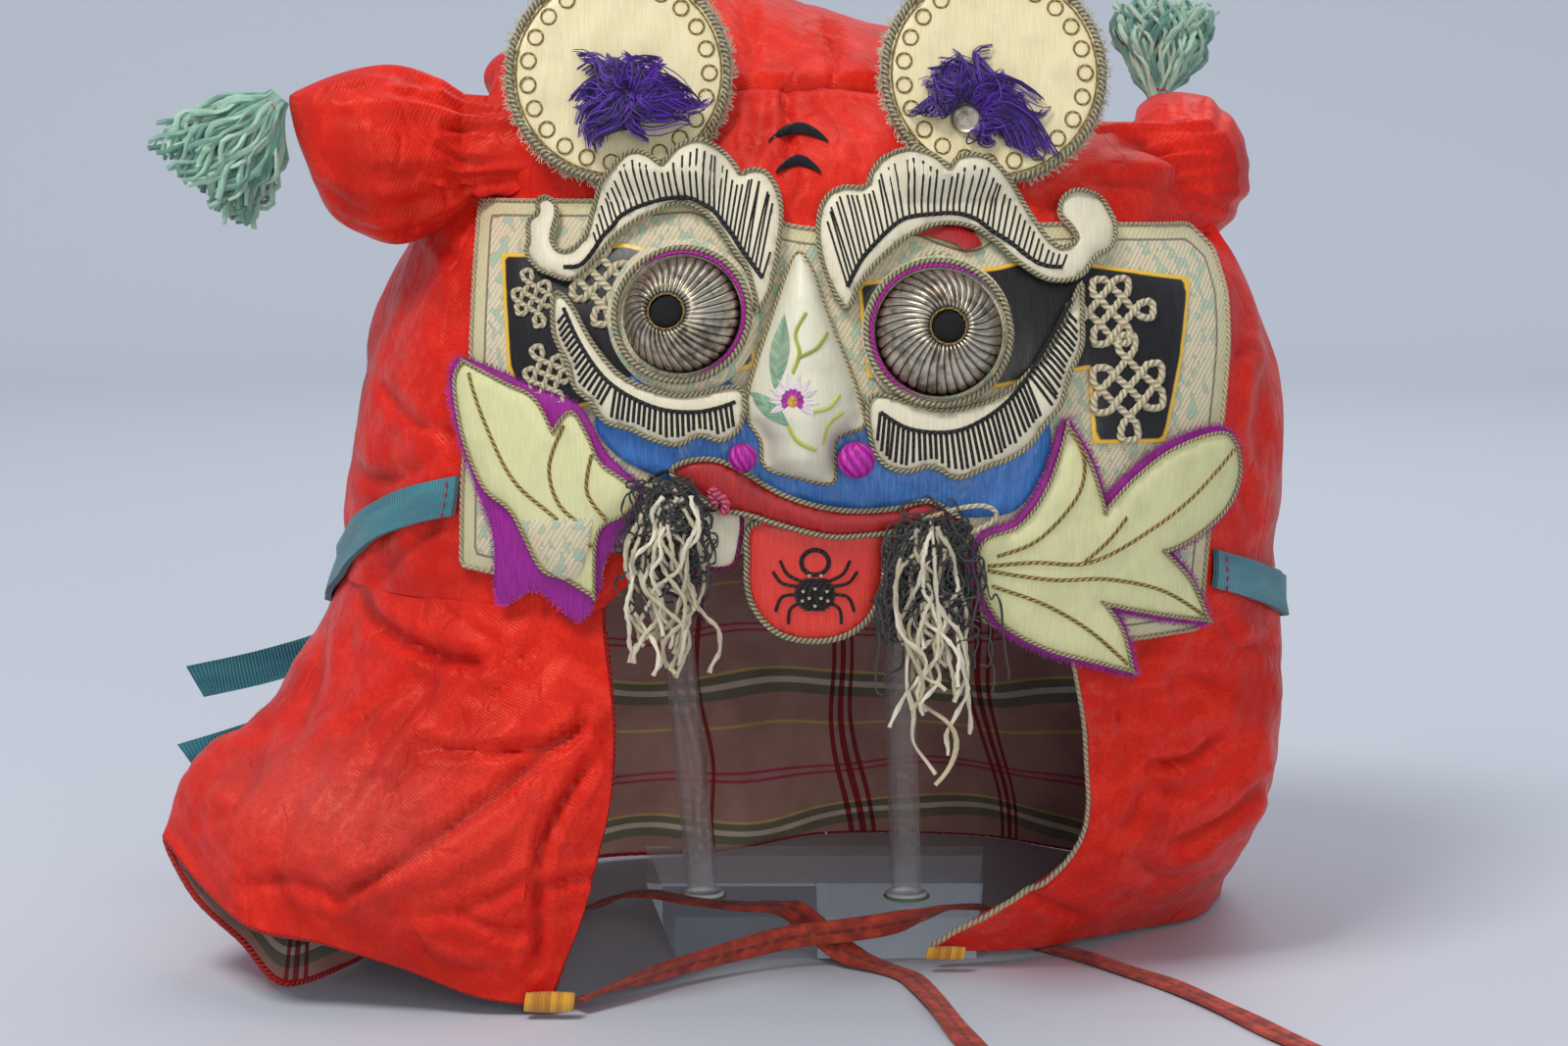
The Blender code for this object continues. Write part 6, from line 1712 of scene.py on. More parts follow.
@dataclass
class Face:
    """The pieces of cloth sewn on the face, their cords and their embroidery."""

    # eyes: side, middle across and up, radius, the pupil's place from the middle
    eyes: tuple = ((Side.LEFT, -29.7, 156.4, 13.0, -2.4, -0.9), (Side.RIGHT, 25.3, 152.8, 14.0, 1.2, 0.2))
    pad: float = 16.4   # radius of the pads under the eyes
    # nostrils: side, middle across and up, radius
    nostrils: tuple = ((Side.LEFT, -16.6, 127.2, 3.1), (Side.RIGHT, 7.6, 126.8, 4.0))
    # forehead stripes: middle across and up, half length, rise
    stripes: tuple = ((-4.8, 197.5, 6.6, 3.0), (-4.8, 190.5, 5.0, 2.6))
    # fold lines of the lower lids
    left_fold: tuple = ((-54.8, 157), (-51.2, 150), (-46.5, 143.6), (-41, 139.6), (-34, 136.9),
                        (-27, 136.4), (-22, 137.3), (-18.2, 138.6))
    right_fold: tuple = ((12.8, 136.5), (18, 133.4), (24, 132.3), (30, 132.8), (36, 135.6), (41, 139.6),
                         (45.5, 145.5), (49.5, 151.8), (53.6, 158.5))
    # scraps of cloth drawn in the picture: name, outline, low and high side, finish
    scraps: tuple = (
        ("left_leaf_corner", ((530, 532), (566, 528), (604, 530), (601, 552), (592, 588), (572, 592),
                              (556, 581), (542, 557)), 5.0, 5.9, BROCADE),
        ("brow_gap_silk", ((936, 238), (956, 231), (979, 231), (996, 238), (1004, 249), (985, 255),
                           (976, 248), (959, 242)), 2.6, 3.3, LIP_RED),
        ("lid_gap_silk", ((920, 414), (940, 412), (966, 413), (962, 424), (940, 426), (924, 422)),
         2.6, 3.6, LIP_RED),
        ("lid_gap_satin", ((652, 380), (680, 386), (720, 380), (722, 394), (690, 400), (660, 394)),
         2.6, 3.6, BLUE),
    )
    # loose threads at the mouth, drawn in the picture: name, points, height, radius, finish
    trims: tuple = (
        ("lip_string", ((935, 545), (940, 532), (958, 525), (982, 518), (1004, 516), (1016, 522), (1014, 531),
                        (996, 541), (975, 550)), 7.5, 0.55, CREAM_THREAD),
        ("lip_tuft", ((727, 497), (731, 504), (738, 509), (741, 517), (737, 524)), 6.4, 1.1, PINK_STITCH),
        ("lip_tuft_end", ((725, 500), (727, 509), (733, 515)), 6.2, 0.9, PINK_STITCH),
        ("muzzle_line", ((662, 491), (675, 482), (691, 479), (707, 476), (716, 471)), 3.5, 0.4, BLACK_THREAD))
    # endless knots: middle across and up, spacing of their lines, turn in degrees
    knots: tuple = ((63.4, 156.6, 3.7, 135), (67, 140.5, 4.3, 47), (-47.5, 163.5, 3.5, 45),
                    (-62.5, 159.5, 2.3, 62), (-59.2, 143.5, 2.5, 70), (25.0, 152.5, 6.6, 45))

    def build(self) -> None:
        """Sew every piece on."""
        # name, outline, low and high side, finish, edging, cord, puff, spacing, step, crisp
        sewn_on = (
            Cut("face_panel", PANEL, 0.6, 1.3, PANEL_CLOTH, PALE_PIPING, 0.5, 0.15, 2.4, 1.8, True),
            Cut("left_black_patch", LEFT_PATCH, 1.7, 2.3, BLACK, None, 0.5, 0.1, 2.4, 1.2, True),
            Cut("right_black_patch", RIGHT_PATCH, 1.7, 2.3, BLACK, None, 0.5, 0.1, 2.4, 1.2, True),
            Cut("muzzle", MUZZLE, 1.7, 3.0, BLUE, None, 0.5, 0.3),
            BrowCut("left_brow", LEFT_BROW, 2.8, 4.2, CREAM, SILVER_CORD),
            BrowCut("right_brow", RIGHT_BROW, 2.8, 4.2, CREAM, SILVER_CORD),
            Cut("left_lower_lid", LEFT_LID, 3.7, 5.2, CREAM, SILVER_CORD),
            Cut("right_lower_lid", RIGHT_LID, 3.7, 5.2, CREAM, SILVER_CORD),
            NoseCut("nose", NOSE, 3.6, 4.2, CREAM_NOSE, LEAF_CORD, 0.4, 0.0, 1.2),
            Cut("upper_lip", UPPER_LIP, 3.7, 5.2, LIP_RED, SILVER_CORD, 0.6, 0.5),
            Cut("teeth", TEETH, 1.6, 2.4, CREAM, MAGENTA_CORD, 0.5, 0.2),
            Cut("tongue", TONGUE, 1.8, 3.2, TONGUE_RED, SILVER_CORD, 0.7, 0.4),
            Cut("left_leaf_backing", LEFT_BACKING, 2.8, 3.4, MAGENTA, None, 0.5, 0.1, 2.2),
            Cut("right_leaf_backing", tuple(map(tuple, grown(RIGHT_LEAF, 1.4))), 2.8, 3.4, MAGENTA, None, 0.5,
                0.1, 2.2),
            Cut("left_leaf", LEFT_LEAF, 3.8, 4.9, LEAF, LEAF_CORD, 0.4, 0.35, 1.9),
            Cut("right_leaf", RIGHT_LEAF, 3.8, 4.9, LEAF, LEAF_CORD, 0.4, 0.35, 1.9),
        )
        cuts = {cut.name: cut for cut in sewn_on}
        for cut in cuts.values():
            cut.build()
        self.brows(cuts)
        self.lids(cuts)
        for each in self.eyes:
            self.eye(*each)
        for each in self.nostrils:
            self.nostril(*each)
        for number, each in enumerate(self.knots):
            self.knot(number, *each)
        self.leaves(cuts)
        self.spider(cuts["tongue"])
        self.lotus(cuts["nose"])
        self.forehead()
        for name, points, height, radius, finish in self.trims:
            line = curve(seen(curve(points, 5.0), level(height)), 0.8)
            path = face_point(*line.T, height)
            Shape().tubes(path, radius, sides=7, ply=0.16, pitch=1.6, out=FRONT).build(name, finish)

    def drawn(self, name: str, cut: Cut, points: Sequence, radius: float, finish: Finish) -> None:
        """A line of thread couched on a piece."""
        path = cut.over(curve(points, 0.7), radius * 0.3)
        shape = Shape().tubes(path, radius, sides=6, flat=0.7, ply=0.1, pitch=1.6, out=FRONT)
        shape.build(name, finish)

    def brows(self, cuts: dict) -> None:
        """The arc under each brow and the fine upright stitches that fan from it."""
        for side, arc, middle in ((Side.LEFT, LEFT_ARC, -28), (Side.RIGHT, RIGHT_ARC, 26)):
            cut = cuts[f"{side}_brow"]
            arc = cut.on_face(curve(arc, 6.0))
            self.drawn(f"{cut.name}_arc", cut, arc, 0.5, BLACK_THREAD)
            start = curve(arc, 1.35)
            lean = np.clip((start[:, 0] - middle) / 30 * 0.5, -0.42, 0.36)
            shape = stitches(cut, start, joined(lean, 1.0), 1.5, 17, 0.24, 11)
            shape.build(f"{cut.name}_stitches", BLACK_THREAD)

    def lids(self, cuts: dict) -> None:
        """The fold line of each lower lid and the thick lashes below it."""
        # side, fold, lean of its lashes, and how far those at the outer corner turn away
        for side, fold, lean, away in ((Side.LEFT, self.left_fold, 0.05, (-0.35, 0.35)),
                                       (Side.RIGHT, self.right_fold, 0.12, (0.45, 0.1))):
            cut = cuts[f"{side}_lower_lid"]
            self.drawn(f"{cut.name}_fold", cut, fold, 0.45, BLACK_THREAD)
            start = curve(fold, 1.15)
            ahead = unit(np.gradient(start, axis=0))
            ways = unit(joined(ahead[:, 1], -ahead[:, 0]))
            ways = ways * 0.5 + (lean, -1.0) + np.where(np.abs(start[:, :1]) > 44, away, 0)
            shape = stitches(cut, start, ways, 1.2, 8.5, 0.36, 12)
            shape.build(f"{cut.name}_lashes", BLACK_THREAD)

    @staticmethod
    def frame_at(x: float, z: float, height: float) -> tuple:
        """A place on the face with its directions outwards, across and up."""
        place = face_point(x, z, np.array(height))
        out = unit(face_point(x, z, np.array(height + 1.0)) - place)
        across = unit(np.cross(-out, UP))
        across = across if across[0] > 0 else -across
        up = np.cross(out, across)
        return place, out, across, up if up[2] > 0 else -up

    def eye(self, side: Side, x: float, z: float, radius: float, pupil_x: float, pupil_z: float) -> None:
        """A pad, a fluted dome with a velvet pupil in its hole, a ring of thread and a ring of cord.

        The dome falls from the hole's rim as a power of the share outwards; its flutes are the size of a
        sine, so that the lobes are round and the grooves sharp, and they swirl as they go out.

        Args:
            side: which eye.
            x: its place across.
            z: its height.
            radius: the dome's radius.
            pupil_x: the pupil's place across from the middle.
            pupil_z: the pupil's height above the middle.
        """
        pad = (x, z) + self.pad * circle(60)
        shape = sewn(pad, 2.0, face_point, 2.8, 4.4, puff(0.2), 0.8)
        shape.build_for(f"{side}_eye_pad", "cloth", BROCADE)
        place, out, across, up = self.frame_at(x, z, 5.3)
        flutes, around, hole_r = 36, 36 * 8, 4.0
        turn = turns(around)
        share = np.concatenate([np.linspace(0, 0.94, 26), (0.97, 0.99, 1.0)])[:, None]
        swirl = turn + 0.3 * share**1.2
        lobes = np.abs(np.sin(flutes / 2 * turn)) ** 0.5
        lobes = lobes * np.clip(share * 7, 0, 1) * np.clip((1 - share) * 9, 0, 1)
        reach = hole_r + (radius - hole_r) * share
        middle = place + (pupil_x * across + pupil_z * up) * (1 - share)[..., None]
        height = 7.3 * (1 - share**2.3) + 0.8 * lobes - 0.5
        dome = middle + reach[..., None] * wheel(swirl, across, up)
        dome = dome + height[..., None] * out
        well = dome[:1] - out * 5.5
        tone = np.concatenate([np.zeros((1, around)), np.where(share > 0.02, lobes, 0.5)])
        grid = np.concatenate([well, dome])
        shape = Shape()
        index = shape.grid(grid, tone=tone)
        index = np.concatenate([index, index[:, :1]], 1)
        index = np.concatenate([index, index[:1]], 0)
        shape.quads(index, np.zeros(index.shape + (2,)))
        shape.build_for(f"{side}_eye", "dome", EYE_METAL, sharp=180)
        hole = place + pupil_x * across + pupil_z * up
        ring = wheel(turn[::6], across, up)
        disc = np.stack([hole + ring * r + out * h for r, h in
                         ((3.55, 0.5), (3.6, 5.6), (3.3, 6.3), (2.4, 6.75), (1.2, 6.95))])
        lay = joined(np.arange(5)[:, None] * 1.5, np.arange(49) * 0.45)
        shape = Shape().sleeve(disc, lay, (hole + out * 0.5, hole + out * 7.0))
        shape.build_for(f"{side}_pupil", "velvet", VELVET)
        edge = hole + ring * 3.95 + out * 6.75
        Shape().tubes(edge, 0.26, sides=6, closed=True, out=out).build(f"{side}_pupil_rim", GOLD_CORD)
        ring = wheel(turn[::2], across, up)
        best = math.radians(30 if side is Side.LEFT else 150)
        rise = (0.35 + 2.0 * np.clip(np.cos(turn[::2] - best) + 0.1, -1, 0))[:, None]
        thick = 0.42 * np.clip(0.6 + 1.4 * np.cos(turn[::2] - best), 0.1, 1)
        Shape().tubes(place + ring * (radius + 0.75) + out * rise, thick, sides=6, closed=True, ply=0.1,
                      pitch=1.2, out=out).build(f"{side}_eye_thread", NOSTRIL_THREAD)
        Shape().tubes(place + ring * (radius + 1.85) - out * 0.1, 0.72, sides=8, closed=True, ply=0.14,
                      pitch=1.5, out=out).build(f"{side}_eye_cord", SILVER_CORD,
                                                replaces=(f"{side}_eye_rim",))

    def nostril(self, side: Side, x: float, z: float, radius: float) -> None:
        """A ball wrapped with thread: a sphere whose radius ripples with the turn."""
        place, out, across, up = self.frame_at(x, z, 3.8 + radius)
        tilt = np.linspace(-0.498, 0.498, 22)[:, None] * math.pi
        turn = turns(72)
        size = radius * (1 + 0.022 * np.cos(18 * turn) * np.cos(tilt))
        rings = place + size[..., None] * wheel(tilt, wheel(turn, across, out), up)
        lay = joined(tilt * radius * 0.3, np.arange(73) / 72 * 40)
        shape = Shape().sleeve(rings, lay)
        shape.build_for(f"{side}_nostril", "ball", NOSTRIL_THREAD)

    @staticmethod
    def knot(number: int, x: float, z: float, size: float, turn: float) -> None:
        """An endless knot in cream thread: three lines each way that pass over and under, joined by loops."""
        up, down = 0.22, -0.22
        route = (
            (-1, -1.5, 0), (-1, -1, up), (-1, 0, down), (-1, 1, up), (-1, 1.5, 0), (-0.5, 1.95, 0),
            (0, 1.5, 0), (0, 1, down), (0, 0, up), (0, -1, down), (0, -1.5, 0), (0.5, -1.95, 0),
            (1, -1.5, 0), (1, -1, up), (1, 0, down), (1, 1, up), (1.05, 1.6, 0), (1.5, 2.05, 0),
            (2.05, 1.5, 0), (1.6, 1.05, 0), (1, 1, down), (0, 1, up), (-1, 1, down), (-1.5, 1, 0),
            (-1.95, 0.5, 0), (-1.5, 0, 0), (-1, 0, up), (0, 0, down), (1, 0, up), (1.5, 0, 0),
            (1.95, -0.5, 0), (1.5, -1, 0), (1, -1, down), (0, -1, up), (-1, -1, down), (-1.6, -1.05, 0),
            (-2.05, -1.5, 0), (-1.5, -2.05, 0), (-1.05, -1.6, 0))
        line = spline(route, np.arange(len(route) * 6) / 6, closed=True)
        sin, cos = math.sin(math.radians(turn)), math.cos(math.radians(turn))
        across = x + size * (line[:, 0] * cos - line[:, 1] * sin)
        high = z + size * (line[:, 0] * sin + line[:, 1] * cos)
        path = face_point(across, high, 2.85 + line[:, 2])
        shape = Shape().tubes(path, min(size * 0.25, 0.8), sides=8, closed=True, flat=0.5, ply=0.12,
                              pitch=1.5, out=FRONT)
        shape.build(f"endless_knot_{number}", CREAM_THREAD)

    def leaves(self, cuts: dict) -> None:
        """Couched gold veins on both leaves and the frayed edge of their backings."""
        veins = {
            "right_leaf": (((36, 103.5), (46, 104), (58, 103.5), (70, 109), (80, 116), (90, 126)),
                           ((36, 102.5), (50, 100), (62, 99.5), (74, 96), (84, 89)),
                           ((37, 99), (48, 94.5), (58, 88), (67, 79.5)),
                           ((38, 105.5), (47, 109), (55, 118), (56.5, 126), (54, 132)),
                           ((56, 103), (62, 108), (66, 113))),
            "left_leaf": (((-75.5, 143), (-72, 133), (-66, 121), (-58, 114), (-49, 107)),
                          ((-55, 133), (-58, 124), (-56, 116), (-50, 111)),
                          ((-49, 127), (-50, 119), (-46, 113))),
        }
        for name, lines in veins.items():
            for number, points in enumerate(lines):
                self.drawn(f"{name}_vein_{number}", cuts[name], points, 0.42, GOLD_CORD)
        for name, outline, low, high, finish in self.scraps:
            line = even(seen(outline, level(high)), 1.1, True)
            sewn(line, 1.7, face_point, low, high, puff(0.2), 0.6).build(name, finish)
        dice = np.random.default_rng(31)
        for name in ("left_leaf_backing", "right_leaf_backing"):
            line = loop(cuts[name].outline, 0.32)
            normal = outward(line)
            ahead = unit(np.roll(line, -1, 0) - np.roll(line, 1, 0))
            reach = dice.uniform(0.3, 1.1, len(line))[:, None, None] * np.linspace(-0.5, 1, 4)[:, None]
            ways = unit(normal + ahead * dice.normal(0, 0.5, (len(line), 1)))
            flat = line[:, None] + ways[:, None] * reach
            height = 3.1 + dice.uniform(-0.2, 0.5, (len(line), 1)) * np.linspace(0, 1, 4)
            paths = face_point(flat[..., 0], flat[..., 1], height)
            Shape().tubes(paths, 0.1, sides=3, tones=dice.uniform(0, 1, len(line)),
                          out=FRONT).build(f"{name}_fray", MAGENTA_YARN)

    def spider(self, tongue: Cut) -> None:
        """The black spider on the tongue: a ringed head, a dotted body and eight bent legs."""
        middle = (-1.2, 98.2)
        black, cream = Shape(), Shape()

        def lay(points: Sequence, height: float) -> Array:
            """Places on the tongue from places about the spider's middle."""
            return tongue.over(np.asarray(points, float) + middle, height)

        head = circle(24) * (3.0, 2.7) + (0, 6.0)
        black.tubes(lay(head, 0.2), 0.5, sides=6, closed=True, flat=0.7, out=FRONT)
        for row in np.linspace(-3.4, 3.2, 12):
            half = 4.4 * math.sqrt(max(1 - (row / 4.0) ** 2, 0.05))
            stripe = joined(np.linspace(-half, half, 9), row - 1.2)
            black.tubes(lay(stripe, 0.25), 0.42, sides=6, flat=0.8, out=FRONT)
        for side in (-1, 1):
            for leg in (((2.5, 1.6), (6.0, 3.4), (7.6, 6.4)), ((3.6, 0.6), (7.2, 1.4), (9.2, 4.0)),
                        ((3.8, -1.2), (7.2, -1.8), (8.6, -5.2)), ((3.0, -3.0), (5.4, -4.6), (5.8, -8.0))):
                bent = curve([(side * a, b) for a, b in leg], 0.8)
                black.tubes(lay(bent, 0.2), 0.36, sides=6, flat=0.8, out=FRONT)
        for px, pz in ((-2.6, -0.4), (0, 0.2), (2.6, -0.4), (-1.3, -2.0), (1.3, -2.0), (-2.8, -2.6),
                       (2.8, -2.6), (0, -3.8), (-1.3, 3.2), (1.3, 3.2)):
            dot = [(px - 0.3, pz), (px, pz + 0.1), (px + 0.3, pz)]
            cream.tubes(lay(dot, 0.75), 0.34, sides=6, flat=0.7, out=FRONT)
        black.build("spider_black", BLACK_THREAD)
        cream.build("spider_dots", CREAM_THREAD)

    def lotus(self, nose: Cut) -> None:
        """A lotus embroidered on the nose: petals of long stitches, stems and feathery sprays."""
        dice = np.random.default_rng(44)

        def fan(points: Array, radius: float, finish: Finish, name: str) -> None:
            """Lay many threads on the nose."""
            Shape().tubes(nose.over(points, radius * 0.5), radius, sides=4, flat=0.7,
                          tones=dice.uniform(0, 1, len(points)), out=FRONT).build(name, finish)

        heart = np.array((-6.0, 138.6))
        share = np.linspace(0, 1, 6)[:, None]
        petals, bases = [], []
        for turn in np.radians((-30, -4, 22, 48, 74, 100, 126, 152, 178, 206)):
            for spread in np.linspace(-0.17, 0.17, 9):
                way = np.array((math.cos(turn + spread), math.sin(turn + spread)))
                reach = 5.4 * (1 - abs(spread) * 2.2)
                petals.append(heart + way * (1.6 + (reach - 1.6) * share))
                bases.append(heart + way * (0.9 + 1.6 * share * (1 - abs(spread))))
        fan(np.array(petals), 0.2, WHITE_FLOSS, "lotus_petals")
        fan(np.array(bases), 0.22, MAGENTA_YARN, "lotus_bases")
        core = [heart + way * (0.2 + 0.9 * share) for way in circle(14)]
        fan(np.array(core), 0.26, YELLOW, "lotus_core")
        stems = (((-6, 144), (-4.6, 148), (-5.4, 152), (-3.2, 156)), ((-5, 147), (-1, 149), (1.4, 152.5)),
                 ((-1.6, 136.6), (1.8, 137.4), (4.0, 140)), ((0.4, 130.2), (1.6, 134), (4.6, 136.4)),
                 ((-7, 134), (-5, 131), (-1, 129)))
        for number, points in enumerate(stems):
            fan(curve(points, 0.6)[None], 0.4, STEM, f"lotus_stem_{number}")
        blades = []
        for root, tip, wide in (((-9.8, 140.5), (-8.0, 154.5), 2.1), ((-6.5, 133.6), (-14.0, 139.8), 1.7)):
            root, tip = np.array(root), np.array(tip)
            along = unit(tip - root)
            side = np.array((-along[1], along[0]))
            for at in np.linspace(0.04, 1, 26):
                for sign in (-1, 1):
                    base = root + (tip - root) * at
                    end = base + along * 1.7 + side * sign * wide * math.sin(math.pi * min(at * 0.9 + 0.1, 1))
                    blades.append(base + (end - base) * share)
        fan(np.array(blades), 0.17, SAGE, "lotus_sprays")

    def forehead(self) -> None:
        """Two curved stripes of black satin on the forehead, each an arc that tapers to its ends."""
        for name, (x, z, half, rise) in zip(("forehead_stripe_upper", "forehead_stripe_lower"), self.stripes):
            along = np.linspace(-1, 1, 25)
            arc = joined(x + along * half, z - rise * along**2)
            taper = (1.2 * (1 - 0.75 * along**2))[:, None] * (0, 1)
            outline = np.concatenate([arc + taper, (arc - taper)[::-1]])
            sewn(outline, 0.9, face_point, 0.3, 1.1, puff(0.35), 0.5).build_for(name, "satin", VELVET)


@dataclass
class Ears:
    """The round ears: silk with couched circles, a beaded rim, a furry backing and a spray of floss."""

    radius: float = 24.5
    foot: float = 187.0
    lean: float = math.tan(math.radians(20))
    hairs: int = 900
    strands: int = 34   # threads of floss in a lock
    # side, middle across and up, depth of the foot, button across and up
    places: tuple = ((Side.LEFT, -45, 210, -57.5, -43, 199.5), (Side.RIGHT, 39, 210, -57, 32.5, 199.5))
    # locks of floss: direction in degrees and reach
    left_locks: tuple = ((-32, 19), (-14, 20), (4, 17), (24, 13), (46, 11), (66, 12), (96, 10), (130, 12),
                         (152, 17), (166, 16), (184, 12), (206, 13), (232, 14), (246, 15), (262, 14),
                         (282, 6))
    right_locks: tuple = ((-34, 7), (-18, 11), (-4, 17), (10, 22), (24, 21), (38, 20), (52, 19), (68, 18),
                          (84, 17), (100, 17), (116, 18), (132, 18), (146, 15))

    def place(self, foot_y: float) -> Callable:
        """The ear's surface: a plane that leans back, bent over the hood where that stands out further."""

        def at(across: Array, up: Array, height: Array) -> Array:
            """A point from across, up and height."""
            across, up, height = np.broadcast_arrays(np.asarray(across, float), up, height)
            plane = foot_y + (up - self.foot) * self.lean
            y = np.minimum(plane, face_depth(across, np.minimum(up, HOOD[-3][0]))) - height * 1.12
            return joined(across, y, up)

        return at

    def build(self) -> None:
        """Make both ears."""
        for side, x, z, foot_y, button_x, button_z in self.places:
            at = self.place(foot_y)
            self.disc(side, x, z, at)
            self.fringe(side, x, z, at)
            self.button(side, button_x, button_z, at)
            self.spray(side, button_x, button_z, at)

    def ring(self, x: float, z: float, radius: float, count: int) -> Array:
        """Points round an ear, slightly flattened, across and up."""
        return (x, z) + circle(count) * (radius, radius * 0.97)

    def disc(self, side: Side, x: float, z: float, at: Callable) -> None:
        """The silk disc, its backing, its beaded rim, its gold line and its ring of circles."""
        out = np.array((0, -1.0, 0.25))
        name = f"{side}_ear"
        swell = puff(0.35, 3.0)
        dish = sewn(self.ring(x, z, self.radius, 120), 1.9, at, 1.9, 3.5,
                    lambda a, b, edge: swell(a, b, edge) + 0.12 * np.sin(a * 0.5) * np.sin(b * 0.43))
        dish.build_for(name, "disc", EAR_SILK)
        back = sewn(self.ring(x, z, self.radius + 1.0, 110), 3.0, at, 0.4, 1.2)
        back.build_for(f"{name}_backing", "cloth", FUR)
        rim = even(self.ring(x, z, self.radius - 0.2, 200), 0.4, closed=True)
        along = np.arange(len(rim)) / len(rim)
        beads = 0.85 * (1 + 0.22 * np.cos(along * FULL * 92))
        Shape().tubes(at(*rim.T, 3.1), beads, sides=8, closed=True, out=out).build(f"{name}_rim", SILVER_CORD)
        line = even(self.ring(x, z, self.radius - 1.5, 200), 0.8, closed=True)
        Shape().tubes(at(*line.T, 3.75), 0.22, sides=6, closed=True, ply=0.2, pitch=1.4,
                      out=out).build(f"{name}_line", GOLD_CORD)
        circles = self.ring(x, z, self.radius * 0.83, 23)[:, None] + circle(14) * 1.7
        Shape().tubes(at(circles[..., 0], circles[..., 1], 3.9), 0.26, sides=5, closed=True,
                      out=out).build(f"{name}_circles", GOLD_CORD)

    def fringe(self, side: Side, x: float, z: float, at: Callable) -> None:
        """Short fur that stands out behind the rim: tapered hairs in uneven directions."""
        dice = np.random.default_rng(7)
        count = self.hairs
        turn = dice.uniform(0, FULL, count)
        reach = self.radius + 0.2 + dice.uniform(0.6, 2.4, (count, 1)) * np.linspace(0, 1, 4)
        swing = turn[:, None] + dice.normal(0, 0.035, (count, 1)) * np.linspace(0, 1, 4) * 1.5
        across, up = x + reach * np.cos(swing), z + reach * 0.97 * np.sin(swing)
        height = 1.6 + dice.uniform(-0.9, 0.9, (count, 1)) * np.linspace(0.3, 1, 4)
        radii = np.broadcast_to(np.array((0.15, 0.13, 0.1, 0.05)), (count, 4))
        Shape().tubes(at(across, up, height), radii, sides=3, tones=dice.uniform(0, 1, count),
                      out=np.array((0, -1.0, 0.2))).build(f"{side}_ear_fur", FUR)

    def button(self, side: Side, x: float, z: float, at: Callable) -> None:
        """A small metal button: rings of a shallow profile with a raised rim."""
        up = unit(np.array((0, self.lean, 1.0)))
        across = np.array((1.0, 0, 0))
        out = np.cross(across, up)
        out = out if out[1] < 0 else -out
        foot = at(x, z, 3.8) + out * 0.8
        ring = circle(28) @ np.stack([across, up])
        rings = np.stack([foot + ring * r + out * h for r, h in (
            (3.0, 0), (3.3, 0.25), (3.3, 0.6), (2.9, 0.8), (2.3, 0.7), (1.4, 0.75), (0.6, 0.8))])
        shape = Shape().sleeve(rings, np.zeros((7, 29, 2)), (foot, foot + out * 0.8), tone=0.8)
        shape.build_for(f"{side}_ear_button", "metal", EYE_METAL)

    def spray(self, side: Side, x: float, z: float, at: Callable) -> None:
        """A spray of matted floss: a lock's strands share a bent path, swell about it and meet at its tip."""
        dice = np.random.default_rng(21 if side is Side.LEFT else 22)
        locks = self.left_locks if side is Side.LEFT else self.right_locks
        lift, start, z = (2.4, 0.5, z + 6.5) if side is Side.LEFT else (0.0, 3.0, z + 1.0)
        share = np.linspace(0, 1, 11)
        each = (self.strands, 1)
        across, up, height = [], [], []
        for turn, reach in locks:
            for _ in range(2):
                way = math.radians(turn) + dice.normal(0, 0.16)
                bend = way + 0.5 * np.sin(share * dice.uniform(2, 5) + dice.uniform(0, FULL)) * share
                long = reach * dice.uniform(0.75, 1.05)
                ends = dice.uniform(0.55, 1.0, each)
                far = start + (long * ends - start) * share
                swell = (0.5 + 2.2 * np.sin(math.pi * share**0.8)) * (1 - 0.55 * share)
                stray = 1 + 1.6 * (dice.uniform(size=each) > 0.86) * share
                aside = dice.normal(0, 0.6, each) * swell * stray
                aside = aside + 0.3 * np.sin(share * dice.uniform(6, 14, each) + dice.uniform(0, FULL, each))
                across.append(x + far * np.cos(bend) - aside * np.sin(bend))
                up.append(z + far * np.sin(bend) + aside * np.cos(bend) - long * 0.12 * share**2)
                tall = 1.0 + 3.0 * np.sin(math.pi * share**0.8) * dice.uniform(0.5, 1.0)
                height.append(3.9 + lift + tall + dice.normal(0, 0.5, each) * swell * 0.5)
        across, up, height = (np.concatenate(k) for k in (across, up, height))
        radii = 0.26 * (1 - 0.6 * share**2) * np.ones((len(across), 1))
        Shape().tubes(at(across, up, np.maximum(height, 3.9)), radii, sides=3,
                      tones=dice.uniform(0, 1, len(across)) ** 1.4, out=np.array((0, -1.0, 0.3))).build(
                          f"{side}_ear_floss", PURPLE, replaces=(f"{side}_ear_tassel",))


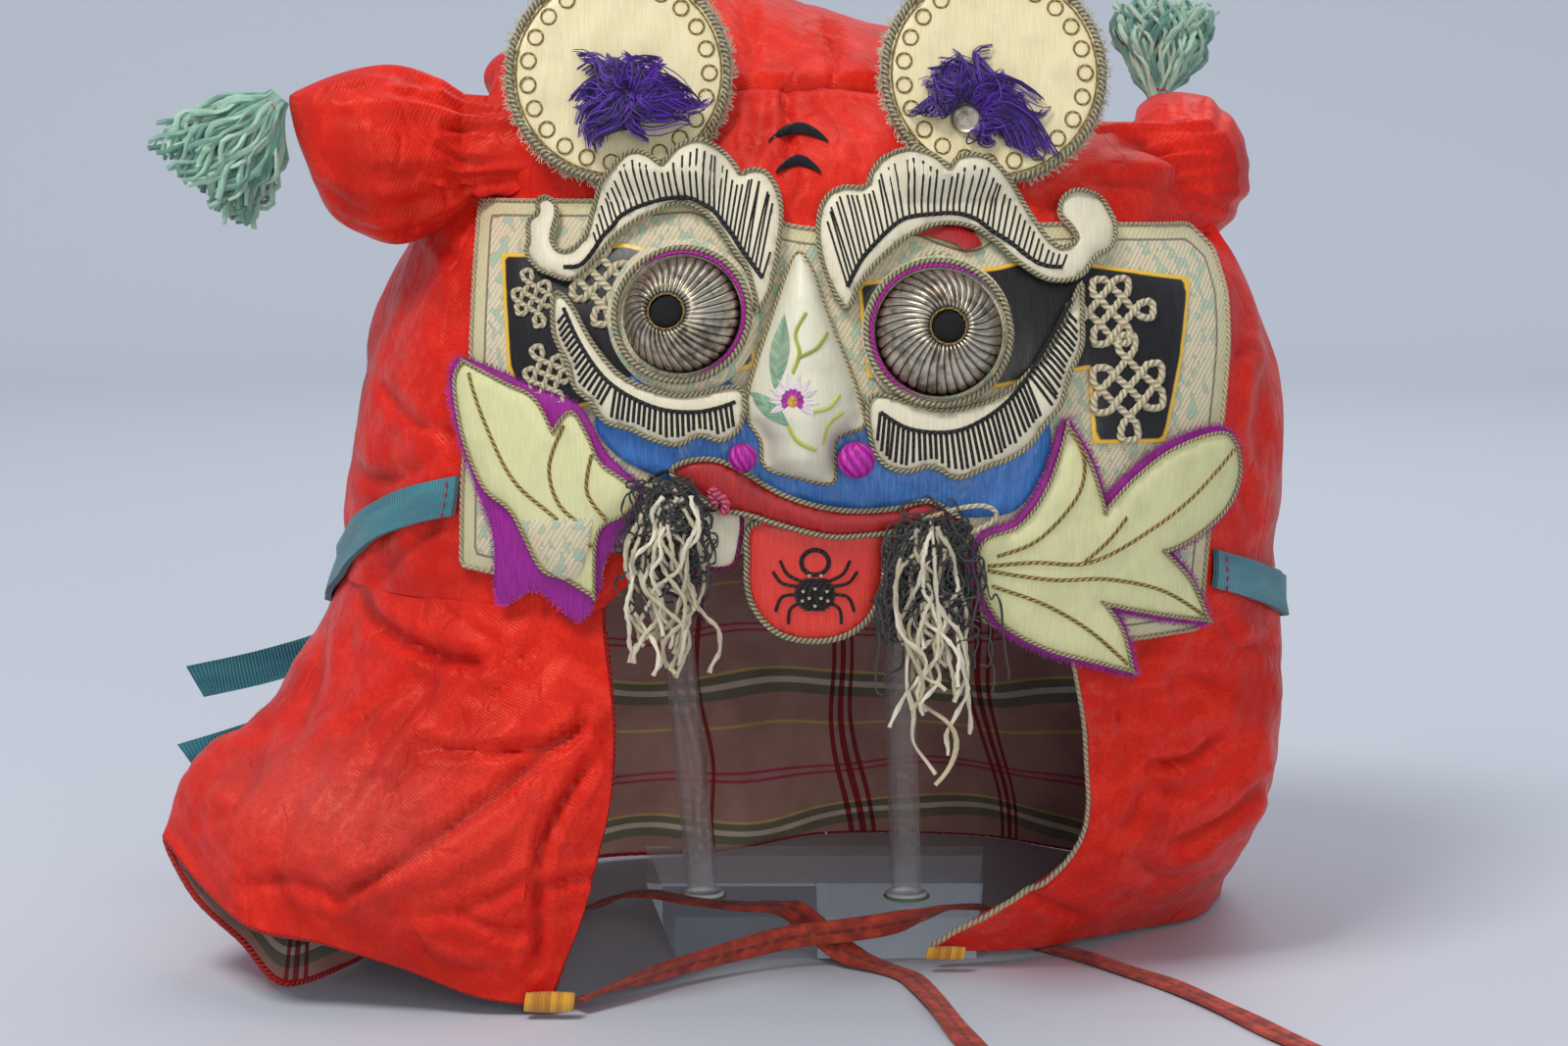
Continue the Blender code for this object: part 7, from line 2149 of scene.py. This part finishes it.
@dataclass
class Tassels:
    """Tassels of yarn: plied mint strands on the knobs, crinkled black and cream strands at the lip."""

    # tassels: name, place of the head, direction, length, radius, depth over width
    mint: tuple = (("left_knob_tassel", (-122.9, -40, 204.6), (-0.68, -0.05, -0.73), 29, 14.5, 0.8),
                   ("right_knob_tassel", (85.6, 36.2, 202.5), (0.1, 0.35, 0.93), 26, 12, 0.8))
    whisker: tuple = (("left_whisker_tassel", (-33.5, -85.5, 120), (-0.12, -0.1, -1), 28, 13, 0.42),
                      ("right_whisker_tassel", (24.5, -85.6, 112.5), (0.04, -0.1, -1), 37, 13, 0.45))
    plies: int = 190   # strands of a mint tassel
    threads: tuple = (110, 24)   # black and cream threads of a whisker tassel

    @staticmethod
    def axes(lean: tuple) -> tuple[Array, Array, Array]:
        """Directions along a tassel, across it and towards the front."""
        along = unit(np.array(lean, float))
        out = unit(FRONT - along * (FRONT @ along))
        return along, np.cross(along, out), out

    @staticmethod
    def strands(root: tuple, lean: tuple, length: float, wide: float, flat: float, count: int, wave: float,
                dice: np.random.Generator) -> Array:
        """Paths of a bundle's strands: each opens from the head, waves on its way and ends raggedly.

        Args:
            root: where the bundle starts.
            lean: its direction.
            length: its length.
            wide: radius of its end.
            flat: depth of its end over its width.
            count: number of strands.
            wave: how far a strand waves.
            dice: source of its unevenness.
        Returns:
            Points, strand by strand.
        """
        along, across, out = Tassels.axes(lean)
        share = np.linspace(0, 1, 13)
        turn = dice.uniform(0, FULL, (count, 1))
        spread = np.sqrt(dice.uniform(0.02, 1, (count, 1)))
        open_share = np.interp(share, (0, 0.1, 0.3, 0.6, 1), (0.14, 0.2, 0.55, 0.88, 1.0))
        reach = wide * spread * open_share
        stretch = length * dice.uniform(0.78, 1.0, (count, 1)) * share
        sway, swing = (wave * share * np.sin(share * dice.uniform(7, 15, (count, 1)) + dice.uniform(
            0, FULL, (count, 1))) for _ in range(2))
        paths = np.array(root, float) + stretch[..., None] * along
        paths = paths + (reach * np.cos(turn) + sway)[..., None] * across
        return paths + (reach * flat * np.sin(turn) + swing * flat)[..., None] * out

    @staticmethod
    def tangle(root: tuple, length: float, wide: float, count: int, wild: float,
               dice: np.random.Generator) -> Array:
        """Paths of curling loose threads: each heading is a sum of sine waves, drawn downwards.

        Args:
            root: where the threads start.
            length: how far most of them fall.
            wide: how far they stray across.
            count: number of threads.
            wild: how sharply they turn.
            dice: source of their unevenness.
        Returns:
            Points, thread by thread, kept in front of the face.
        """
        steps = 34
        share = np.linspace(0, 1, steps)
        turn = sum(wild * size * dice.uniform(0.5, 1.4, (count, 1)) * np.sin(
            FULL * (rounds * dice.uniform(0.6, 1.4, (count, 1)) * share + dice.uniform(0, 1, (count, 1))))
            for rounds, size in ((1.0, 1.2), (2.6, 0.8), (6.0, 0.3)))
        stride = length / steps * dice.uniform(0.7, 1.6, (count, 1))
        x = np.cumsum(np.sin(turn), 1) * stride
        fall = np.cumsum(np.cos(turn) * 0.7 + 0.3, 1) * stride
        limit = wide * (0.5 + 0.6 * share)
        x = limit * np.tanh(x / limit)
        phase = dice.uniform(0.4, 1.6, (count, 1)) * share + dice.uniform(0, 1, (count, 1))
        depth = 1.5 + 2.0 * np.sin(FULL * phase)
        depth = depth + dice.uniform(0, 3, (count, 1))
        x = root[0] + dice.normal(0, 2.4, (count, 1)) + x
        z = root[2] + dice.normal(0, 2.0, (count, 1)) - fall
        y = face_depth(x, np.maximum(z, 96)) - 6.2 - np.abs(depth)
        return joined(x, y, z)

    def build(self) -> None:
        """Make the four tassels with their binding threads."""
        for seed, (name, root, lean, length, wide, flat) in enumerate(self.mint):
            dice = np.random.default_rng(50 + seed)
            paths = self.strands(root, lean, length, wide, flat, self.plies, 2.4, dice)
            tones = dice.uniform(0, 1, self.plies)
            shape = Shape().tubes(paths, 0.62, sides=5, ply=0.3, pitch=2.2, tones=tones)
            shape.build_for(name, "yarn", MINT)
            self.band(f"{name}_band", root, lean, 3.6, 2.6, PINK_STITCH)
        for seed, (name, root, lean, length, wide, flat) in enumerate(self.whisker):
            dice = np.random.default_rng(60 + seed)
            dark, pale = self.threads
            black = self.tangle(root, length * 0.9, wide, dark, 1.3, dice)
            shape = Shape().tubes(black, 0.24, sides=4, ply=0.25, pitch=1.3, tones=dice.uniform(0, 1, dark))
            shape.build_for(name, "black", BLACK_YARN)
            cream = self.tangle(root, length * 1.05, wide * 0.8, pale, 0.55, dice) + (0, -1.5, 0)
            shape = Shape().tubes(cream, 0.48, sides=6, ply=0.28, pitch=2.0, tones=dice.uniform(0, 1, pale))
            shape.build(f"{name}_cream", CREAM_YARN)

    def band(self, name: str, root: tuple, lean: tuple, at: float, radius: float, finish: Finish) -> None:
        """Turns of thread round a tassel's head: one ring that winds along it."""
        along, across, out = self.axes(lean)
        turn = np.linspace(0, FULL * 4, 80)
        path = np.array(root, float) + along * (at - 1.2 + turn[:, None] / FULL * 0.65)
        path = path + radius * wheel(turn, across, out)
        Shape().tubes(path, 0.42, sides=6, out=along).build(name, finish)


@dataclass
class Knobs:
    """The padded horns: silk bags gathered at the neck and stuffed to a blunt end."""

    # rings of the left knob: across, middle and half height, middle and half depth
    left: tuple = ((-81, 192, 12.5, -35, 10.5), (-87, 191.5, 16.5, -36, 13.5), (-96, 191.2, 20, -37, 17),
                   (-104, 192, 19, -38, 16.5), (-112, 194, 15, -39, 13), (-118, 199.5, 7, -40, 6),
                   (-120.5, 203.5, 1.5, -40, 1.5))
    # rings of the right knob: depth, middle and half width, middle and half height
    right: tuple = ((-18, 87, 12, 185.5, 14), (-9, 87.5, 15, 186.5, 17), (4, 88, 16, 187, 18),
                    (16, 88.5, 14, 188.5, 16.5), (26, 87.5, 10.5, 193, 12), (33, 86, 4.5, 199.5, 5),
                    (35, 85.5, 1.2, 201.5, 1.2))
    rows: int = 80
    around: int = 140

    def bag(self, side: Side, seed: int) -> Array:
        """Rings of a bag: ovals on a smooth run of middles, with gathers that fade from the neck.

        Args:
            side: which knob.
            seed: seed of the folds' unevenness.
        Returns:
            A grid of points.
        """
        table = self.left if side is Side.LEFT else self.right
        at = np.linspace(0, len(table) - 1, self.rows)
        row = spline(table, at)
        share = at / (len(table) - 1)
        turn = turns(self.around)
        dice = np.random.default_rng(seed)
        pleats = sum(np.cos(k * turn + dice.uniform(0, FULL)) for k in (9, 13, 17)) / 3
        strong = 0.13 if side is Side.LEFT else 0.05
        gather = 1 + strong * np.exp(-((share / 0.42) ** 2))[:, None] * pleats
        gather = gather + 0.10 * np.exp(-(((1 - share) / 0.14) ** 2))[:, None] * pleats[::-1]
        cos, sin = np.cos(turn) * gather, np.sin(turn) * gather
        if side is Side.LEFT:
            return joined(row[:, :1], row[:, 3:4] + row[:, 4:5] * cos, row[:, 1:2] + row[:, 2:3] * sin)
        return joined(row[:, 1:2] + row[:, 2:3] * cos, row[:, :1], row[:, 3:4] + row[:, 4:5] * sin)

    def build(self) -> None:
        """Make both bags and inflate them."""
        for side, seed in ((Side.LEFT, 70), (Side.RIGHT, 71)):
            grid = self.bag(side, seed)
            sign = -1 if side is Side.LEFT else 1
            grid = self.neck(side, self.clear(grid, sign))
            away = unit(grid - grid.mean(1, keepdims=True))
            drawn = drawn_depth(grid, away, KNOB_CREASES)
            grid = grid + (0.3 * rumple(grid, 16.0, seed) + drawn)[..., None] * away
            lay = joined(lengths(grid.mean(1))[:, None], np.arange(self.around + 1) / self.around * 100)
            name = f"{side}_knob"
            # Painted shade: the bag's silk darkens along its creases, by their depth.
            shape = Shape().sleeve(grid, lay, fade=0.0, soil=np.clip(-drawn, 0, 2))
            made = shape.build_for(name, "bag", RED)

    def neck(self, side: Side, grid: Array) -> Array:
        """The bag's rings after those of its neck, which widen on the hood's side and run to the bag."""
        sign, (depth, height, radius) = (-1, (-35, 193, 13)) if side is Side.LEFT else (1, (-28, 186, 13))
        turn = turns(self.around)
        reach = np.array((0.12, 0.5, 0.8, 1.0))[:, None] * radius * (1 + 0.07 * np.cos(11 * turn))
        y, z = depth - sign * reach * np.cos(turn), height + reach * np.sin(turn)
        rings = self.clear(joined(sign * 40.0, y, z), sign)
        share = np.linspace(0, 1, 8)[1:-1, None, None]
        between = rings[-1] + (grid[0] - rings[-1]) * share
        pinch = 1 - 0.08 * np.sin(math.pi * share)
        middle = between.mean(1, keepdims=True)
        return np.concatenate([rings, self.clear(middle + (between - middle) * pinch, sign), grid])

    @staticmethod
    def clear(grid: Array, sign: int) -> Array:
        """Points moved sideways until they are outside the hood's side."""
        y, z = grid[..., 1], grid[..., 2]
        mid_x, half_x, mid_y, half_y, power = section(z)
        inside = np.clip(1 - np.abs((y - mid_y) / half_y) ** power, 0, None)
        skin = mid_x + sign * half_x * inside ** (1 / power)
        room = sign * (grid[..., 0] - skin) - 1.2
        grid = grid.copy()
        grid[..., 0] -= sign * np.clip(room, None, 0)
        return grid


def main() -> None:
    """Build the studio, then the hat from the ties to the trimmings."""
    logging.basicConfig(level=logging.INFO, format="%(name)s %(message)s")
    for part in (Studio(), Ties(), Stand(), Hood(), Ribbon(), Face(), Ears(), Tassels(), Knobs()):
        log.info("building %s", type(part).__name__)
        part.build()


if __name__ == "__main__":
    main()
